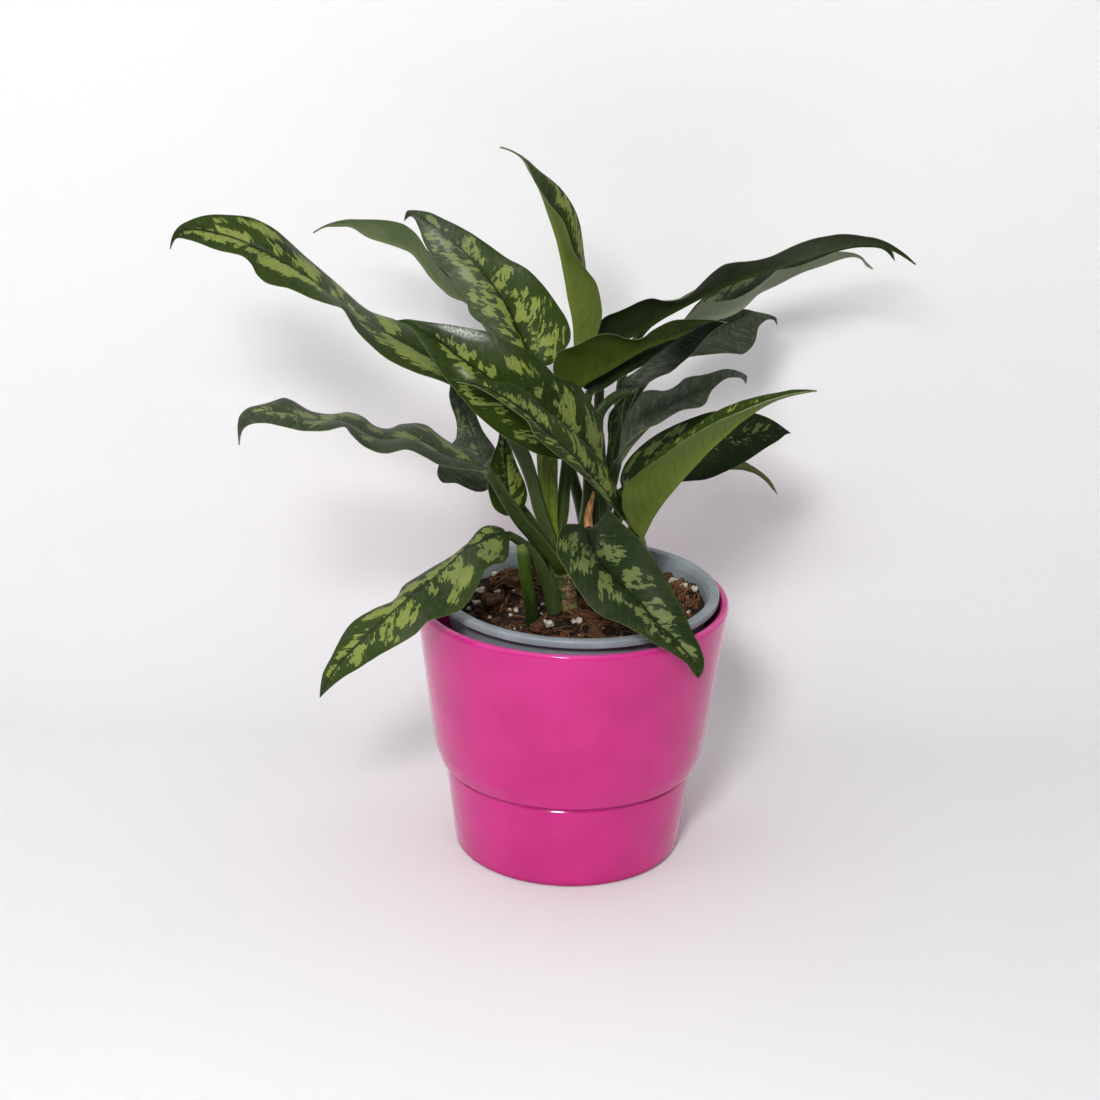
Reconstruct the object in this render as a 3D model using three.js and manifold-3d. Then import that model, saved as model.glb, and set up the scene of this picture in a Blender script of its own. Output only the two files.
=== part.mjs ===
import * as THREE from 'three';
import { mergeVertices } from 'three/addons/utils/BufferGeometryUtils.js';
import Module from 'manifold-3d';

// Potted Chinese evergreen: outer glazed pot, grower's pot, potting mix, canes and leaves.
// Millimetres, +Z up. The origin is the centre of the outer pot's flat underside.

// Driving dimensions
const POT_HEIGHT = 124.5;          // outer pot, table to lip
const POT_RIM_R = 73;              // outer pot, outside radius at the lip
const POT_STEP_Z = 42.3;           // height of the fine groove under the shoulder
const POT_STEP_R = 59.2;           // outside radius at the groove
const POT_FOOT_R = 53.6;           // outside radius just above the table
const POT_WALL = 4.6;              // outer pot wall
const POT_FLOOR = 6;               // outer pot floor
const GROWER_RIM_R = 66;           // grower's pot, outside radius of the rolled rim
const GROWER_RIM_Z = 128.5;        // grower's pot rim height above the table
const GROWER_X = 2.3, GROWER_Y = 1.0; // grower's pot sits a little off centre
const GROWER_LIP = 3.6;            // height of the rolled rim's outer lip
const GROWER_BASE_R = 44.5;        // outside radius of the grower's pot base
const GROWER_WALL = 1.2;
const DRAIN_HOLES = 6, DRAIN_R = 4, DRAIN_PCR = 28;
const SOIL_Z = 114;                // mean level of the potting mix
const LEAF_T = 0.5;                // half thickness of a leaf blade
const GAP = 0.35;                  // clearance between pieces that touch
const ROUND = 44;                  // segments round the pots

const wasm = await Module();
wasm.setup();

const plant = new THREE.Group();
const v3 = (a) => new THREE.Vector3(a[0], a[1], a[2]);

function material(hex, roughness) {
  return new THREE.MeshStandardMaterial({ color: hex, roughness, metalness: 0, side: THREE.FrontSide });
}
const GLAZE = material(0xd0307f, 0.12);
const GROWER = material(0x8b98a6, 0.45);
const MIX = material(0x3d2417, 0.95);
const BARK = material(0x6e3f24, 0.9);
const PERLITE = material(0xe6dccb, 0.9);
const CANE = material(0x5c6a24, 0.55);
const STUB = material(0x2f5a1a, 0.4);
const SHEATH = material(0xb0703a, 0.85);
const LEAF = material(0x33541c, 0.38);
const LEAF_PALE = material(0x6f8440, 0.42);

// Signed volume of an indexed mesh, used to turn every shell the right way out.
function signedVolume(pos, idx) {
  let v = 0;
  for (let i = 0; i < idx.length; i += 3) {
    const [a, b, c] = [idx[i] * 3, idx[i + 1] * 3, idx[i + 2] * 3];
    v += pos[a] * (pos[b + 1] * pos[c + 2] - pos[b + 2] * pos[c + 1])
       - pos[a + 1] * (pos[b] * pos[c + 2] - pos[b + 2] * pos[c])
       + pos[a + 2] * (pos[b] * pos[c + 1] - pos[b + 1] * pos[c]);
  }
  return v / 6;
}

function geometryOf(pos, idx) {
  if (signedVolume(pos, idx) < 0) {
    for (let i = 0; i < idx.length; i += 3) [idx[i + 1], idx[i + 2]] = [idx[i + 2], idx[i + 1]];
  }
  const g = new THREE.BufferGeometry();
  g.setAttribute('position', new THREE.Float32BufferAttribute(pos, 3));
  g.setIndex(idx);
  g.computeVertexNormals();
  return g;
}

// Closed loft through rings of equal point count, capped by a fan at each end.
function loft(rings) {
  const n = rings[0].length, pos = [], idx = [];
  for (const ring of rings) for (const p of ring) pos.push(p.x, p.y, p.z);
  for (let i = 0; i < rings.length - 1; i++) {
    for (let j = 0; j < n; j++) {
      const a = i * n + j, b = i * n + (j + 1) % n;
      idx.push(a, b, b + n, a, b + n, a + n);
    }
  }
  for (const end of [0, rings.length - 1]) {
    const c = new THREE.Vector3();
    for (const p of rings[end]) c.add(p);
    c.divideScalar(n);
    const k = pos.length / 3;
    pos.push(c.x, c.y, c.z);
    for (let j = 0; j < n; j++) {
      const a = end * n + j, b = end * n + (j + 1) % n;
      if (end === 0) idx.push(b, a, k); else idx.push(a, b, k);
    }
  }
  return geometryOf(pos, idx);
}

function toSolid(geometry) {
  let g = geometry.clone();
  g.deleteAttribute('normal');
  if (g.getAttribute('uv')) g.deleteAttribute('uv');
  g = mergeVertices(g, 1e-4);
  return new wasm.Manifold(new wasm.Mesh({
    numProp: 3,
    vertProperties: new Float32Array(g.getAttribute('position').array),
    triVerts: new Uint32Array(g.getIndex().array),
  }));
}

function fromSolid(solid) {
  // keep the main body if a cut leaves loose slivers
  const parts = solid.decompose();
  let best = parts[0];
  for (const p of parts) if (p.volume() > best.volume()) best = p;
  const m = best.getMesh();
  const pos = [];
  for (let i = 0; i < m.numVert; i++) {
    pos.push(m.vertProperties[i * m.numProp], m.vertProperties[i * m.numProp + 1], m.vertProperties[i * m.numProp + 2]);
  }
  return geometryOf(pos, Array.from(m.triVerts));
}

function add(name, geometry, mat) {
  const mesh = new THREE.Mesh(geometry, mat.clone());
  mesh.name = name;
  plant.add(mesh);
  return mesh;
}

// A lathe about +Z from [radius, height] pairs.
function turned(profile, segments = ROUND) {
  const g = new THREE.LatheGeometry(profile.map(([r, z]) => new THREE.Vector2(r, z)), segments);
  g.rotateX(Math.PI / 2);
  let h = g.clone();
  h.deleteAttribute('normal');
  h.deleteAttribute('uv');
  h = mergeVertices(h, 1e-4);
  // drop the zero-area triangles on the axis
  const pos = h.getAttribute('position'), src = h.getIndex().array, idx = [];
  for (let i = 0; i < src.length; i += 3) {
    if (src[i] !== src[i + 1] && src[i + 1] !== src[i + 2] && src[i] !== src[i + 2]) idx.push(src[i], src[i + 1], src[i + 2]);
  }
  return geometryOf(Array.from(pos.array), idx);
}

const PETIOLE_STEPS = 4;          // sections along a leaf stalk

// Canes: [x, y, z, diameter] stations from the buried end to the top.
const CANES = {
  cane_front: [[-4.2, 10.2, 88.0, 10.6], [-4.0, 10.2, 104.0, 11.6], [-3.6, 10.2, 113.0, 12.2], [-3.8, 10.3, 122.0, 10.6], [-4.4, 10.4, 129.0, 11.0], [-4.6, 10.4, 132.6, 11.4]],
  cane_right: [[25.0, 7.0, 88.0, 9.7], [25.3, 7.0, 104.0, 10.5], [24.8, 7.2, 111.0, 11.1], [25.0, 7.0, 120.6, 10.3]],
  cane_back_right: [[16.5, 31.0, 88.0, 10.6], [16.8, 31.0, 104.0, 11.5], [16.3, 31.2, 111.0, 12.2], [16.5, 31.0, 118.6, 11.3]],
  cane_back_left: [[-8.5, 36.0, 88.0, 10.6], [-8.2, 36.0, 104.0, 11.5], [-8.7, 36.2, 111.0, 12.2], [-8.5, 36.0, 118.6, 11.3]],
  cane_back: [[5.5, 47.0, 88.0, 10.6], [5.8, 47.0, 104.0, 11.5], [5.3, 47.2, 111.0, 12.2], [5.5, 47.0, 118.6, 11.3]],
};
const CUT_STALK = [[-16.5, -9.0, 100.1, 6.4], [-17.9, -8.5, 110.9, 6.3], [-19.7, -10.0, 125.5, 6.0], [-21.8, -12.0, 138.6, 5.8], [-23.3, -15.4, 150.7, 5.6], [-24.0, -16.0, 153.8, 4.6]];
const DRY_SHEATH = [[7.8, 14.0, 142.8, 4.6, 1.6], [6.8, 14.0, 152.8, 4.4, 1.4], [6.6, 14.0, 159.2, 3.6, 1.2], [7.6, 14.0, 165.2, 2.6, 1.0], [8.9, 14.0, 171.1, 1.0, 0.8]]; // x, y, z, width, thickness

// Banks of mix: x, y, height, reach.
const BANKS = [[56, 18, 9.5, 27], [-36, 46, 4.5, 24], [8, 50, 2.5, 22], [0, -40, -2.5, 26], [-45, -12, -3, 20], [-31, 34, 2.0, 9], [10, -14, 1.2, 10]];
// Loose crumbs on the mix: name, kind, x, y, length, width, height, yaw.
const CRUMBS = [
  ["perlite_1", "grain", -43.9, 21.4, 4.2, 3.2, 2.4, 0.3],
  ["perlite_2", "grain", -35.3, 22.2, 3.4, 2.6, 2.2, 1.1],
  ["perlite_3", "grain", -45.0, 12.4, 4.0, 3.0, 2.4, 0.7],
  ["perlite_4", "grain", -37.3, 38.4, 3.0, 2.6, 2.2, 0],
  ["perlite_5", "grain", -10.7, -11.2, 4.4, 3.6, 3.0, 0.5],
  ["perlite_6", "grain", 3.2, -6.8, 4.2, 2.8, 2.8, 1.3],
  ["perlite_7", "grain", 48.1, 25.5, 3.8, 3.0, 2.6, 0.2],
  ["perlite_8", "grain", 52.8, 16.2, 3.4, 3.0, 2.4, 0.9],
  ["perlite_9", "grain", 57.5, 14.2, 4.0, 3.0, 2.6, 1.5],
  ["bark_chip_1", "chip", -29.4, 30.6, 9.5, 6, 3.2, -0.35],
  ["bark_chip_2", "chip", -37.0, 13.0, 9, 8, 4.4, 0.5],
  ["bark_chip_3", "chip", -15.7, -15.2, 7, 4.6, 3.6, 0.9],
  ["bark_chip_4", "chip", 9.3, -1.9, 13, 5.4, 3.0, -0.5],
  ["bark_chip_5", "chip", 55.4, 0.8, 8, 4.5, 3.0, 0.9],
];

// Leaves. petiole: [x, y, z, diameter] from the cane to the blade.
// blade: left margin xyz, midrib xyz, right margin xyz, from base to tip.
const LEAVES = {
  leaf_01: {
    shoot: 'cane_front', pale: false,
    petiole: [[-8.1, 9.8, 133.6, 5.0], [-9.6, 8.0, 142.2, 7.4], [-10.6, 8.0, 148.6, 7.2], [-13.3, 7.0, 156.4, 7.2], [-16.0, 6.0, 164.5, 7.6], [-18.5, 4.0, 174.4, 6.9], [-21.4, 2.0, 184.7, 7.5], [-24.7, 0.0, 193.5, 8.0], [-29.3, -2.0, 201.6, 6.6], [-34.8, -5.0, 208.6, 5.2], [-41.9, -9.0, 220.0, 4.2]],
    blade: [
      [-42.0, -9.0, 220.0, -41.9, -9.0, 220.0, -42.0, -9.0, 220.0],
      [-50.2, -20.6, 228.2, -49.0, -12.0, 228.1, -46.7, -3.8, 228.6],
      [-63.4, -29.1, 236.3, -60.8, -14.8, 238.1, -58.2, -1.3, 239.7],
      [-81.0, -36.5, 245.3, -77.6, -18.3, 249.4, -75.7, -1.0, 252.0],
      [-96.0, -38.8, 259.9, -95.5, -20.0, 261.2, -96.8, -2.1, 260.9],
      [-111.3, -36.5, 271.4, -112.7, -19.6, 273.3, -113.9, -3.5, 276.7],
      [-131.4, -31.3, 276.4, -130.3, -18.0, 284.5, -130.4, -5.4, 292.4],
      [-145.5, -23.7, 287.3, -148.0, -15.0, 292.2, -148.8, -6.8, 301.3],
      [-162.1, -15.8, 289.4, -164.3, -11.3, 295.5, -166.3, -7.1, 300.5],
      [-175.3, -10.3, 291.6, -177.1, -9.0, 292.8, -178.1, -7.8, 293.2],
      [-179.7, -9.0, 286.5, -179.7, -9.0, 286.4, -179.7, -9.0, 286.5],
    ],
  },
  leaf_02: {
    shoot: 'cane_back', pale: true,
    petiole: [[1.6, 45.3, 119.6, 4.2], [7.4, 46.0, 129.8, 7.0], [5.1, 46.0, 144.2, 6.4], [1.9, 46.0, 157.9, 6.2], [-1.8, 47.0, 170.2, 5.8], [-9.4, 49.0, 189.4, 5.2], [-22.2, 50.0, 212.6, 4.4], [-36.8, 58.5, 228.1, 4.0]],
    blade: [
      [-36.9, 58.5, 228.1, -36.8, 58.5, 228.1, -36.8, 58.5, 228.1],
      [-39.4, 54.1, 236.1, -40.5, 59.6, 233.6, -37.7, 65.9, 233.6],
      [-44.5, 52.0, 246.0, -46.4, 61.0, 241.7, -41.6, 71.6, 241.3],
      [-54.3, 51.4, 256.3, -56.1, 62.9, 250.0, -52.5, 76.4, 249.7],
      [-65.4, 53.4, 266.2, -68.0, 65.3, 257.6, -63.4, 79.1, 259.8],
      [-74.3, 56.4, 278.1, -77.3, 67.1, 268.5, -75.1, 79.6, 269.1],
      [-86.5, 60.4, 285.7, -90.4, 68.8, 273.8, -89.0, 78.6, 274.8],
      [-101.0, 65.7, 285.5, -103.1, 71.2, 277.8, -102.2, 77.6, 279.4],
      [-113.1, 70.1, 283.7, -113.5, 72.9, 280.5, -113.4, 76.2, 280.4],
      [-122.3, 73.1, 279.6, -122.4, 74.0, 279.1, -122.3, 74.9, 278.5],
      [-126.5, 74.5, 276.5, -126.5, 74.5, 276.5, -126.5, 74.5, 276.5],
    ],
  },
  leaf_03: {
    shoot: 'cane_front', pale: false,
    petiole: [[-6.3, 13.6, 133.6, 5.0], [-9.7, 13.0, 146.8, 7.0], [-11.3, 13.0, 156.7, 7.6], [-12.0, 13.0, 166.6, 8.6], [-12.6, 14.0, 176.0, 9.2], [-13.1, 14.0, 186.8, 9.8], [-14.1, 16.0, 202.1, 8.0], [-15.6, 18.0, 217.3, 5.5], [-17.4, 19.0, 227.4, 4.4]],
    blade: [
      [-17.4, 19.0, 227.4, -17.4, 19.0, 227.4, -17.3, 19.0, 227.4],
      [-22.1, 14.7, 232.2, -20.7, 20.5, 232.1, -10.9, 20.1, 231.1],
      [-29.1, 14.5, 237.6, -25.2, 24.3, 239.0, -4.2, 23.5, 239.8],
      [-38.6, 18.7, 243.6, -30.4, 31.2, 248.3, -7.9, 30.3, 252.4],
      [-48.6, 25.6, 250.0, -37.0, 38.5, 257.9, -18.0, 37.5, 264.0],
      [-54.0, 33.7, 259.7, -45.2, 45.3, 266.6, -31.3, 44.4, 272.1],
      [-62.5, 42.4, 267.5, -54.5, 51.5, 274.7, -45.3, 50.8, 279.8],
      [-70.6, 50.5, 274.8, -63.9, 56.4, 281.4, -58.7, 56.0, 286.3],
      [-74.9, 57.9, 282.4, -72.2, 61.0, 286.3, -70.7, 60.8, 290.4],
      [-79.3, 62.1, 288.2, -79.4, 63.0, 288.7, -80.8, 62.9, 290.7],
      [-82.5, 63.0, 285.6, -82.6, 63.0, 285.6, -82.6, 63.0, 285.7],
    ],
  },
  leaf_04: {
    shoot: 'cane_front', pale: false,
    petiole: [[-2.1, 13.0, 133.6, 5.0], [-1.8, 13.3, 138.0, 5.6], [-6.2, 17.0, 149.4, 6.4], [-5.3, 19.0, 159.7, 6.8], [-4.8, 21.0, 168.9, 6.5], [-3.9, 23.0, 180.6, 6.0], [-1.6, 29.0, 203.2, 4.8], [1.5, 32.0, 226.6, 4.2]],
    blade: [
      [1.5, 32.0, 226.6, 1.5, 32.0, 226.6, 1.5, 32.0, 226.6],
      [5.0, 27.8, 234.1, 0.4, 32.8, 233.2, 3.3, 39.6, 231.7],
      [9.1, 24.7, 245.0, -0.6, 33.0, 243.5, 5.0, 44.3, 241.4],
      [9.3, 22.4, 260.0, -3.5, 33.0, 256.9, 4.4, 47.4, 255.3],
      [2.7, 20.9, 274.1, -6.6, 31.8, 271.5, 2.3, 46.7, 271.2],
      [-4.8, 19.9, 287.6, -10.4, 29.7, 286.1, -0.2, 43.1, 287.5],
      [-12.2, 18.6, 300.9, -15.4, 26.3, 300.3, -5.9, 36.7, 303.1],
      [-20.2, 17.7, 312.3, -20.7, 22.7, 312.9, -15.8, 29.6, 314.3],
      [-25.2, 15.1, 323.2, -26.0, 17.7, 323.2, -24.5, 21.2, 323.3],
      [-32.5, 12.6, 328.8, -32.7, 13.3, 328.9, -32.4, 14.3, 328.6],
      [-36.7, 11.0, 330.5, -36.7, 11.0, 330.5, -36.7, 11.0, 330.5],
    ],
  },
  leaf_05: {
    shoot: 'cane_right', pale: false,
    petiole: [[22.2, 9.3, 121.6, 4.2], [21.9, 9.6, 126.0, 4.3], [27.6, 10.0, 135.8, 8.0], [28.4, 6.0, 150.3, 7.0], [26.4, 1.0, 163.4, 5.0], [21.4, -5.0, 173.6, 4.4]],
    blade: [
      [21.3, -5.0, 173.6, 21.4, -5.0, 173.6, 21.3, -5.0, 173.7],
      [13.4, -17.0, 180.7, 15.3, -11.2, 181.5, 17.5, -5.3, 182.2],
      [4.4, -30.8, 194.1, 7.0, -21.0, 194.0, 12.9, -11.2, 197.3],
      [-9.5, -46.2, 206.4, -3.7, -33.7, 210.2, 9.3, -21.2, 218.2],
      [-25.0, -58.0, 215.8, -15.7, -45.1, 225.6, -2.1, -32.2, 237.1],
      [-38.6, -65.1, 227.3, -28.8, -53.5, 237.9, -17.2, -41.9, 249.2],
      [-49.8, -68.7, 240.3, -42.1, -59.6, 248.7, -32.6, -50.6, 260.4],
      [-59.2, -68.0, 251.9, -54.0, -62.0, 257.9, -48.0, -56.0, 266.5],
      [-66.2, -64.7, 261.5, -63.7, -61.6, 265.3, -61.3, -58.5, 268.9],
      [-72.8, -60.1, 267.9, -72.6, -59.2, 269.0, -72.1, -58.3, 270.0],
      [-77.5, -58.0, 269.2, -77.5, -58.0, 269.2, -77.5, -58.0, 269.2],
    ],
  },
  leaf_06: {
    shoot: 'cane_right', pale: false,
    petiole: [[24.4, 3.5, 121.6, 4.2], [24.3, 3.0, 126.0, 4.3], [31.5, 2.0, 138.9, 6.5], [30.9, -2.0, 150.8, 5.5], [26.1, -10.0, 163.9, 4.0]],
    blade: [
      [26.1, -10.0, 163.9, 26.1, -10.0, 163.9, 26.1, -10.0, 163.9],
      [20.6, -20.2, 171.5, 21.5, -16.6, 171.2, 23.7, -13.4, 171.9],
      [13.6, -32.3, 182.6, 15.0, -26.2, 182.0, 18.4, -21.0, 183.6],
      [4.6, -46.3, 196.5, 6.6, -38.6, 196.1, 12.2, -31.9, 199.6],
      [-5.3, -59.0, 209.7, -2.7, -51.1, 210.1, 2.0, -44.2, 214.0],
      [-15.6, -68.6, 220.7, -12.3, -61.5, 222.5, -8.7, -55.2, 226.7],
      [-22.8, -75.2, 233.1, -22.1, -69.6, 233.5, -18.9, -64.7, 238.7],
      [-32.2, -78.7, 241.2, -31.5, -75.0, 242.0, -29.2, -71.8, 247.4],
      [-40.4, -79.8, 246.5, -40.1, -77.9, 247.1, -39.3, -76.2, 249.6],
      [-47.5, -78.5, 248.6, -47.5, -78.0, 248.7, -47.3, -77.5, 249.8],
      [-51.3, -78.0, 249.0, -51.3, -78.0, 249.0, -51.3, -78.0, 249.1],
    ],
  },
  leaf_07: {
    shoot: 'cane_front', pale: false,
    petiole: [[-5.1, 6.8, 133.6, 5.0], [-7.6, 2.0, 140.0, 7.4], [-13.3, 0.0, 148.1, 8.4], [-19.0, -2.0, 155.6, 8.6], [-24.6, -5.0, 162.9, 8.0], [-29.2, -8.0, 170.6, 7.0], [-33.8, -11.0, 179.2, 6.0], [-37.4, -14.0, 185.9, 5.0], [-40.1, -15.0, 189.5, 4.2]],
    blade: [
      [-40.1, -15.0, 189.5, -40.1, -15.0, 189.5, -40.1, -15.0, 189.5],
      [-47.1, -24.8, 193.1, -46.8, -17.2, 193.7, -44.8, -8.6, 194.6],
      [-57.7, -33.5, 197.2, -57.5, -20.7, 198.1, -55.9, -6.4, 199.5],
      [-70.5, -40.1, 205.7, -70.7, -23.7, 206.0, -70.0, -5.5, 207.9],
      [-85.3, -44.2, 206.6, -86.5, -27.4, 207.2, -87.4, -8.5, 206.4],
      [-98.2, -46.4, 215.4, -100.6, -31.2, 215.4, -102.7, -14.2, 215.5],
      [-111.8, -48.3, 217.1, -116.0, -36.4, 218.6, -119.1, -23.1, 218.8],
      [-125.8, -49.8, 219.0, -129.5, -42.0, 223.5, -132.4, -33.3, 225.9],
      [-137.4, -50.8, 220.8, -140.9, -46.8, 223.0, -143.9, -42.3, 223.8],
      [-144.9, -50.7, 215.8, -145.6, -49.5, 215.7, -146.6, -48.2, 215.7],
      [-146.1, -50.0, 210.6, -146.1, -50.0, 210.6, -146.1, -50.0, 210.6],
    ],
  },
  leaf_08: {
    shoot: 'cane_back_left', pale: false,
    petiole: [[-10.6, 39.6, 119.6, 4.2], [-11.4, 33.0, 131.2, 6.0], [-18.4, 34.0, 144.9, 5.5], [-28.1, 35.0, 157.5, 4.8], [-37.3, 36.0, 166.0, 4.0]],
    blade: [
      [-37.3, 36.0, 166.0, -37.3, 36.0, 166.0, -37.3, 36.0, 166.0],
      [-42.1, 34.1, 163.2, -39.8, 38.0, 168.8, -37.5, 40.0, 169.1],
      [-51.0, 34.8, 163.9, -42.9, 41.3, 173.6, -37.7, 44.6, 174.6],
      [-62.9, 38.0, 165.6, -46.4, 46.0, 180.5, -40.0, 50.0, 181.7],
      [-62.5, 44.2, 177.6, -50.2, 51.6, 188.4, -45.9, 55.3, 188.9],
      [-56.7, 51.0, 188.3, -54.2, 56.5, 196.5, -50.2, 59.2, 197.5],
      [-60.2, 57.4, 199.0, -57.9, 60.4, 203.6, -55.2, 61.9, 204.6],
      [-60.6, 61.2, 207.5, -60.6, 62.2, 209.2, -59.4, 62.8, 209.7],
      [-62.2, 63.0, 212.9, -62.2, 63.0, 212.9, -62.2, 63.0, 212.9],
    ],
  },
  leaf_09: {
    shoot: 'cane_back_left', pale: false,
    petiole: [[-10.6, 32.4, 119.6, 4.2], [-11.3, 17.0, 130.2, 6.0], [-15.7, 18.0, 139.8, 5.5], [-21.1, 19.0, 148.3, 4.8], [-26.8, 20.0, 155.3, 4.0]],
    blade: [
      [-26.8, 20.0, 155.3, -26.8, 20.0, 155.3, -26.8, 20.0, 155.3],
      [-31.2, 16.7, 157.0, -28.7, 21.1, 158.7, -24.3, 23.1, 157.8],
      [-37.3, 15.4, 160.9, -30.5, 22.8, 164.3, -22.4, 26.1, 163.3],
      [-40.4, 16.5, 170.0, -32.0, 25.5, 172.2, -24.6, 29.5, 171.2],
      [-40.2, 20.6, 180.0, -32.9, 28.9, 181.2, -28.8, 32.6, 179.9],
      [-36.9, 26.5, 188.9, -34.0, 32.6, 190.0, -31.8, 35.3, 189.1],
      [-36.5, 32.3, 197.0, -36.0, 35.6, 197.6, -34.4, 37.1, 197.5],
      [-37.9, 36.1, 203.0, -37.8, 37.2, 203.3, -36.8, 37.8, 203.5],
      [-39.3, 38.0, 206.9, -39.3, 38.0, 206.9, -39.3, 38.0, 206.9],
    ],
  },
  leaf_10: {
    shoot: 'cane_front', pale: false,
    petiole: [[-8.3, -0.6, 116.6, 8.2], [-10.3, -1.6, 126.9, 7.8], [-12.9, -2.4, 134.1, 7.4], [-16.2, -3.8, 141.3, 7.0], [-20.2, -5.4, 148.2, 5.6], [-24.8, -8.6, 153.7, 4.4], [-29.8, -14.0, 158.2, 3.8]],
    blade: [
      [-29.8, -14.0, 159.7, -29.8, -14.0, 158.7, -29.8, -14.0, 159.7],
      [-29.3, -25.1, 156.0, -36.4, -21.0, 160.8, -36.6, -16.0, 163.5],
      [-35.3, -38.2, 153.4, -45.5, -31.4, 159.7, -45.8, -23.1, 161.3],
      [-43.0, -50.0, 146.4, -55.9, -41.4, 154.4, -56.4, -30.8, 153.3],
      [-52.7, -59.2, 138.3, -66.5, -50.3, 147.2, -69.7, -39.4, 147.3],
      [-66.0, -64.8, 133.8, -77.4, -56.7, 139.5, -80.1, -46.9, 138.4],
      [-78.0, -67.8, 125.1, -88.1, -61.5, 130.7, -94.3, -53.8, 133.5],
      [-90.2, -67.7, 117.1, -97.6, -63.5, 120.9, -103.2, -58.5, 123.4],
      [-100.5, -66.1, 109.6, -104.8, -64.0, 111.5, -108.7, -61.4, 112.6],
      [-108.0, -64.3, 102.1, -109.5, -63.7, 102.6, -111.3, -62.9, 103.2],
      [-111.6, -63.0, 97.8, -111.6, -63.0, 97.7, -111.6, -63.0, 97.8],
    ],
  },
  leaf_11: {
    shoot: 'cane_front', pale: false,
    petiole: [[-1.4, 8.8, 133.6, 4.2], [1.5, -4.0, 144.5, 5.5], [3.5, -12.0, 155.8, 4.2], [6.0, -20.0, 164.6, 3.6]],
    blade: [
      [6.0, -20.0, 165.6, 6.0, -20.0, 164.6, 5.9, -20.0, 165.6],
      [11.0, -24.3, 170.3, 6.8, -27.5, 162.0, -0.8, -30.2, 170.5],
      [16.6, -32.3, 176.5, 9.8, -37.6, 158.4, -7.6, -42.1, 168.8],
      [25.4, -41.5, 171.1, 16.0, -48.2, 154.2, -5.2, -54.0, 160.1],
      [33.6, -49.7, 163.6, 23.6, -56.6, 149.4, 2.5, -62.6, 150.7],
      [40.5, -56.4, 154.5, 31.0, -62.7, 143.6, 12.2, -68.0, 142.3],
      [46.7, -63.1, 145.0, 38.0, -67.9, 137.0, 25.0, -72.1, 138.2],
      [51.9, -67.7, 135.3, 45.3, -70.9, 131.1, 36.0, -73.6, 131.5],
      [56.2, -71.3, 127.2, 51.0, -73.0, 125.6, 45.5, -74.4, 126.2],
      [56.9, -72.3, 119.1, 54.4, -72.8, 119.4, 51.8, -73.2, 119.3],
      [55.0, -71.0, 115.0, 55.0, -71.0, 114.9, 55.0, -71.0, 115.0],
    ],
  },
  leaf_12: {
    shoot: 'cane_right', pale: false,
    petiole: [[28.4, 8.2, 121.6, 4.2], [28.9, 8.4, 126.0, 4.3], [30.9, 0.0, 140.2, 6.0], [30.8, -6.0, 150.8, 4.6], [30.5, -9.0, 156.3, 4.0]],
    blade: [
      [30.0, -9.0, 156.4, 29.8, -9.0, 156.6, 30.0, -9.0, 156.4],
      [28.2, -5.6, 162.8, 32.0, -11.5, 164.0, 25.1, -16.9, 165.7],
      [25.4, -6.4, 174.6, 36.5, -16.2, 174.6, 20.7, -25.2, 179.6],
      [29.7, -9.9, 190.3, 44.0, -22.4, 187.5, 26.7, -34.0, 195.4],
      [40.7, -15.3, 203.8, 52.6, -28.2, 200.3, 38.6, -40.1, 207.7],
      [52.9, -21.3, 215.3, 61.8, -33.0, 211.9, 50.9, -43.7, 218.2],
      [65.1, -28.2, 226.3, 71.3, -37.3, 222.7, 64.1, -45.7, 226.7],
      [77.8, -34.4, 232.9, 81.2, -40.3, 230.9, 77.1, -45.8, 232.3],
      [88.7, -39.6, 236.8, 90.3, -42.7, 235.8, 88.1, -45.5, 236.5],
      [97.5, -43.4, 238.8, 98.0, -44.3, 238.2, 97.3, -45.1, 238.4],
      [102.0, -45.0, 239.0, 102.0, -45.0, 239.0, 102.0, -45.0, 238.9],
    ],
  },
  leaf_13: {
    shoot: 'cane_back_right', pale: false,
    petiole: [[21.0, 30.0, 119.6, 4.2], [21.5, 29.9, 124.0, 4.3], [18.1, 23.0, 133.6, 6.5], [19.0, 24.0, 148.4, 5.5], [21.1, 25.0, 159.2, 4.6], [21.8, 26.0, 166.8, 4.0]],
    blade: [
      [21.8, 26.0, 166.8, 21.8, 26.0, 166.8, 21.8, 26.0, 166.8],
      [21.7, 34.1, 170.5, 25.6, 28.2, 169.9, 26.7, 23.2, 165.9],
      [24.9, 41.6, 177.2, 31.6, 31.8, 174.2, 34.3, 23.5, 167.4],
      [33.6, 49.3, 184.1, 40.7, 36.8, 177.9, 44.2, 26.2, 170.4],
      [45.0, 55.4, 190.0, 51.6, 42.5, 180.3, 55.5, 31.6, 171.2],
      [57.5, 58.9, 194.7, 62.5, 47.3, 183.2, 66.9, 37.5, 171.9],
      [70.7, 61.0, 197.3, 73.7, 51.9, 185.2, 77.6, 44.3, 175.0],
      [83.2, 61.8, 196.7, 84.3, 55.9, 186.6, 87.0, 50.8, 178.8],
      [93.3, 61.7, 193.7, 93.2, 58.6, 187.6, 94.7, 56.0, 182.4],
      [100.5, 61.3, 189.2, 100.4, 60.4, 187.7, 100.6, 59.6, 185.8],
      [104.0, 61.0, 186.8, 104.0, 61.0, 186.7, 104.0, 61.0, 186.7],
    ],
  },
  leaf_14: {
    shoot: 'cane_back_right', pale: false,
    petiole: [[19.6, 34.4, 119.6, 4.2], [16.5, 38.0, 130.0, 5.5], [20.5, 44.0, 143.8, 4.6], [30.0, 52.0, 156.5, 4.0], [40.7, 60.0, 163.2, 3.4]],
    blade: [
      [40.7, 60.0, 163.2, 40.7, 60.0, 163.2, 40.7, 60.0, 163.2],
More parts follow.
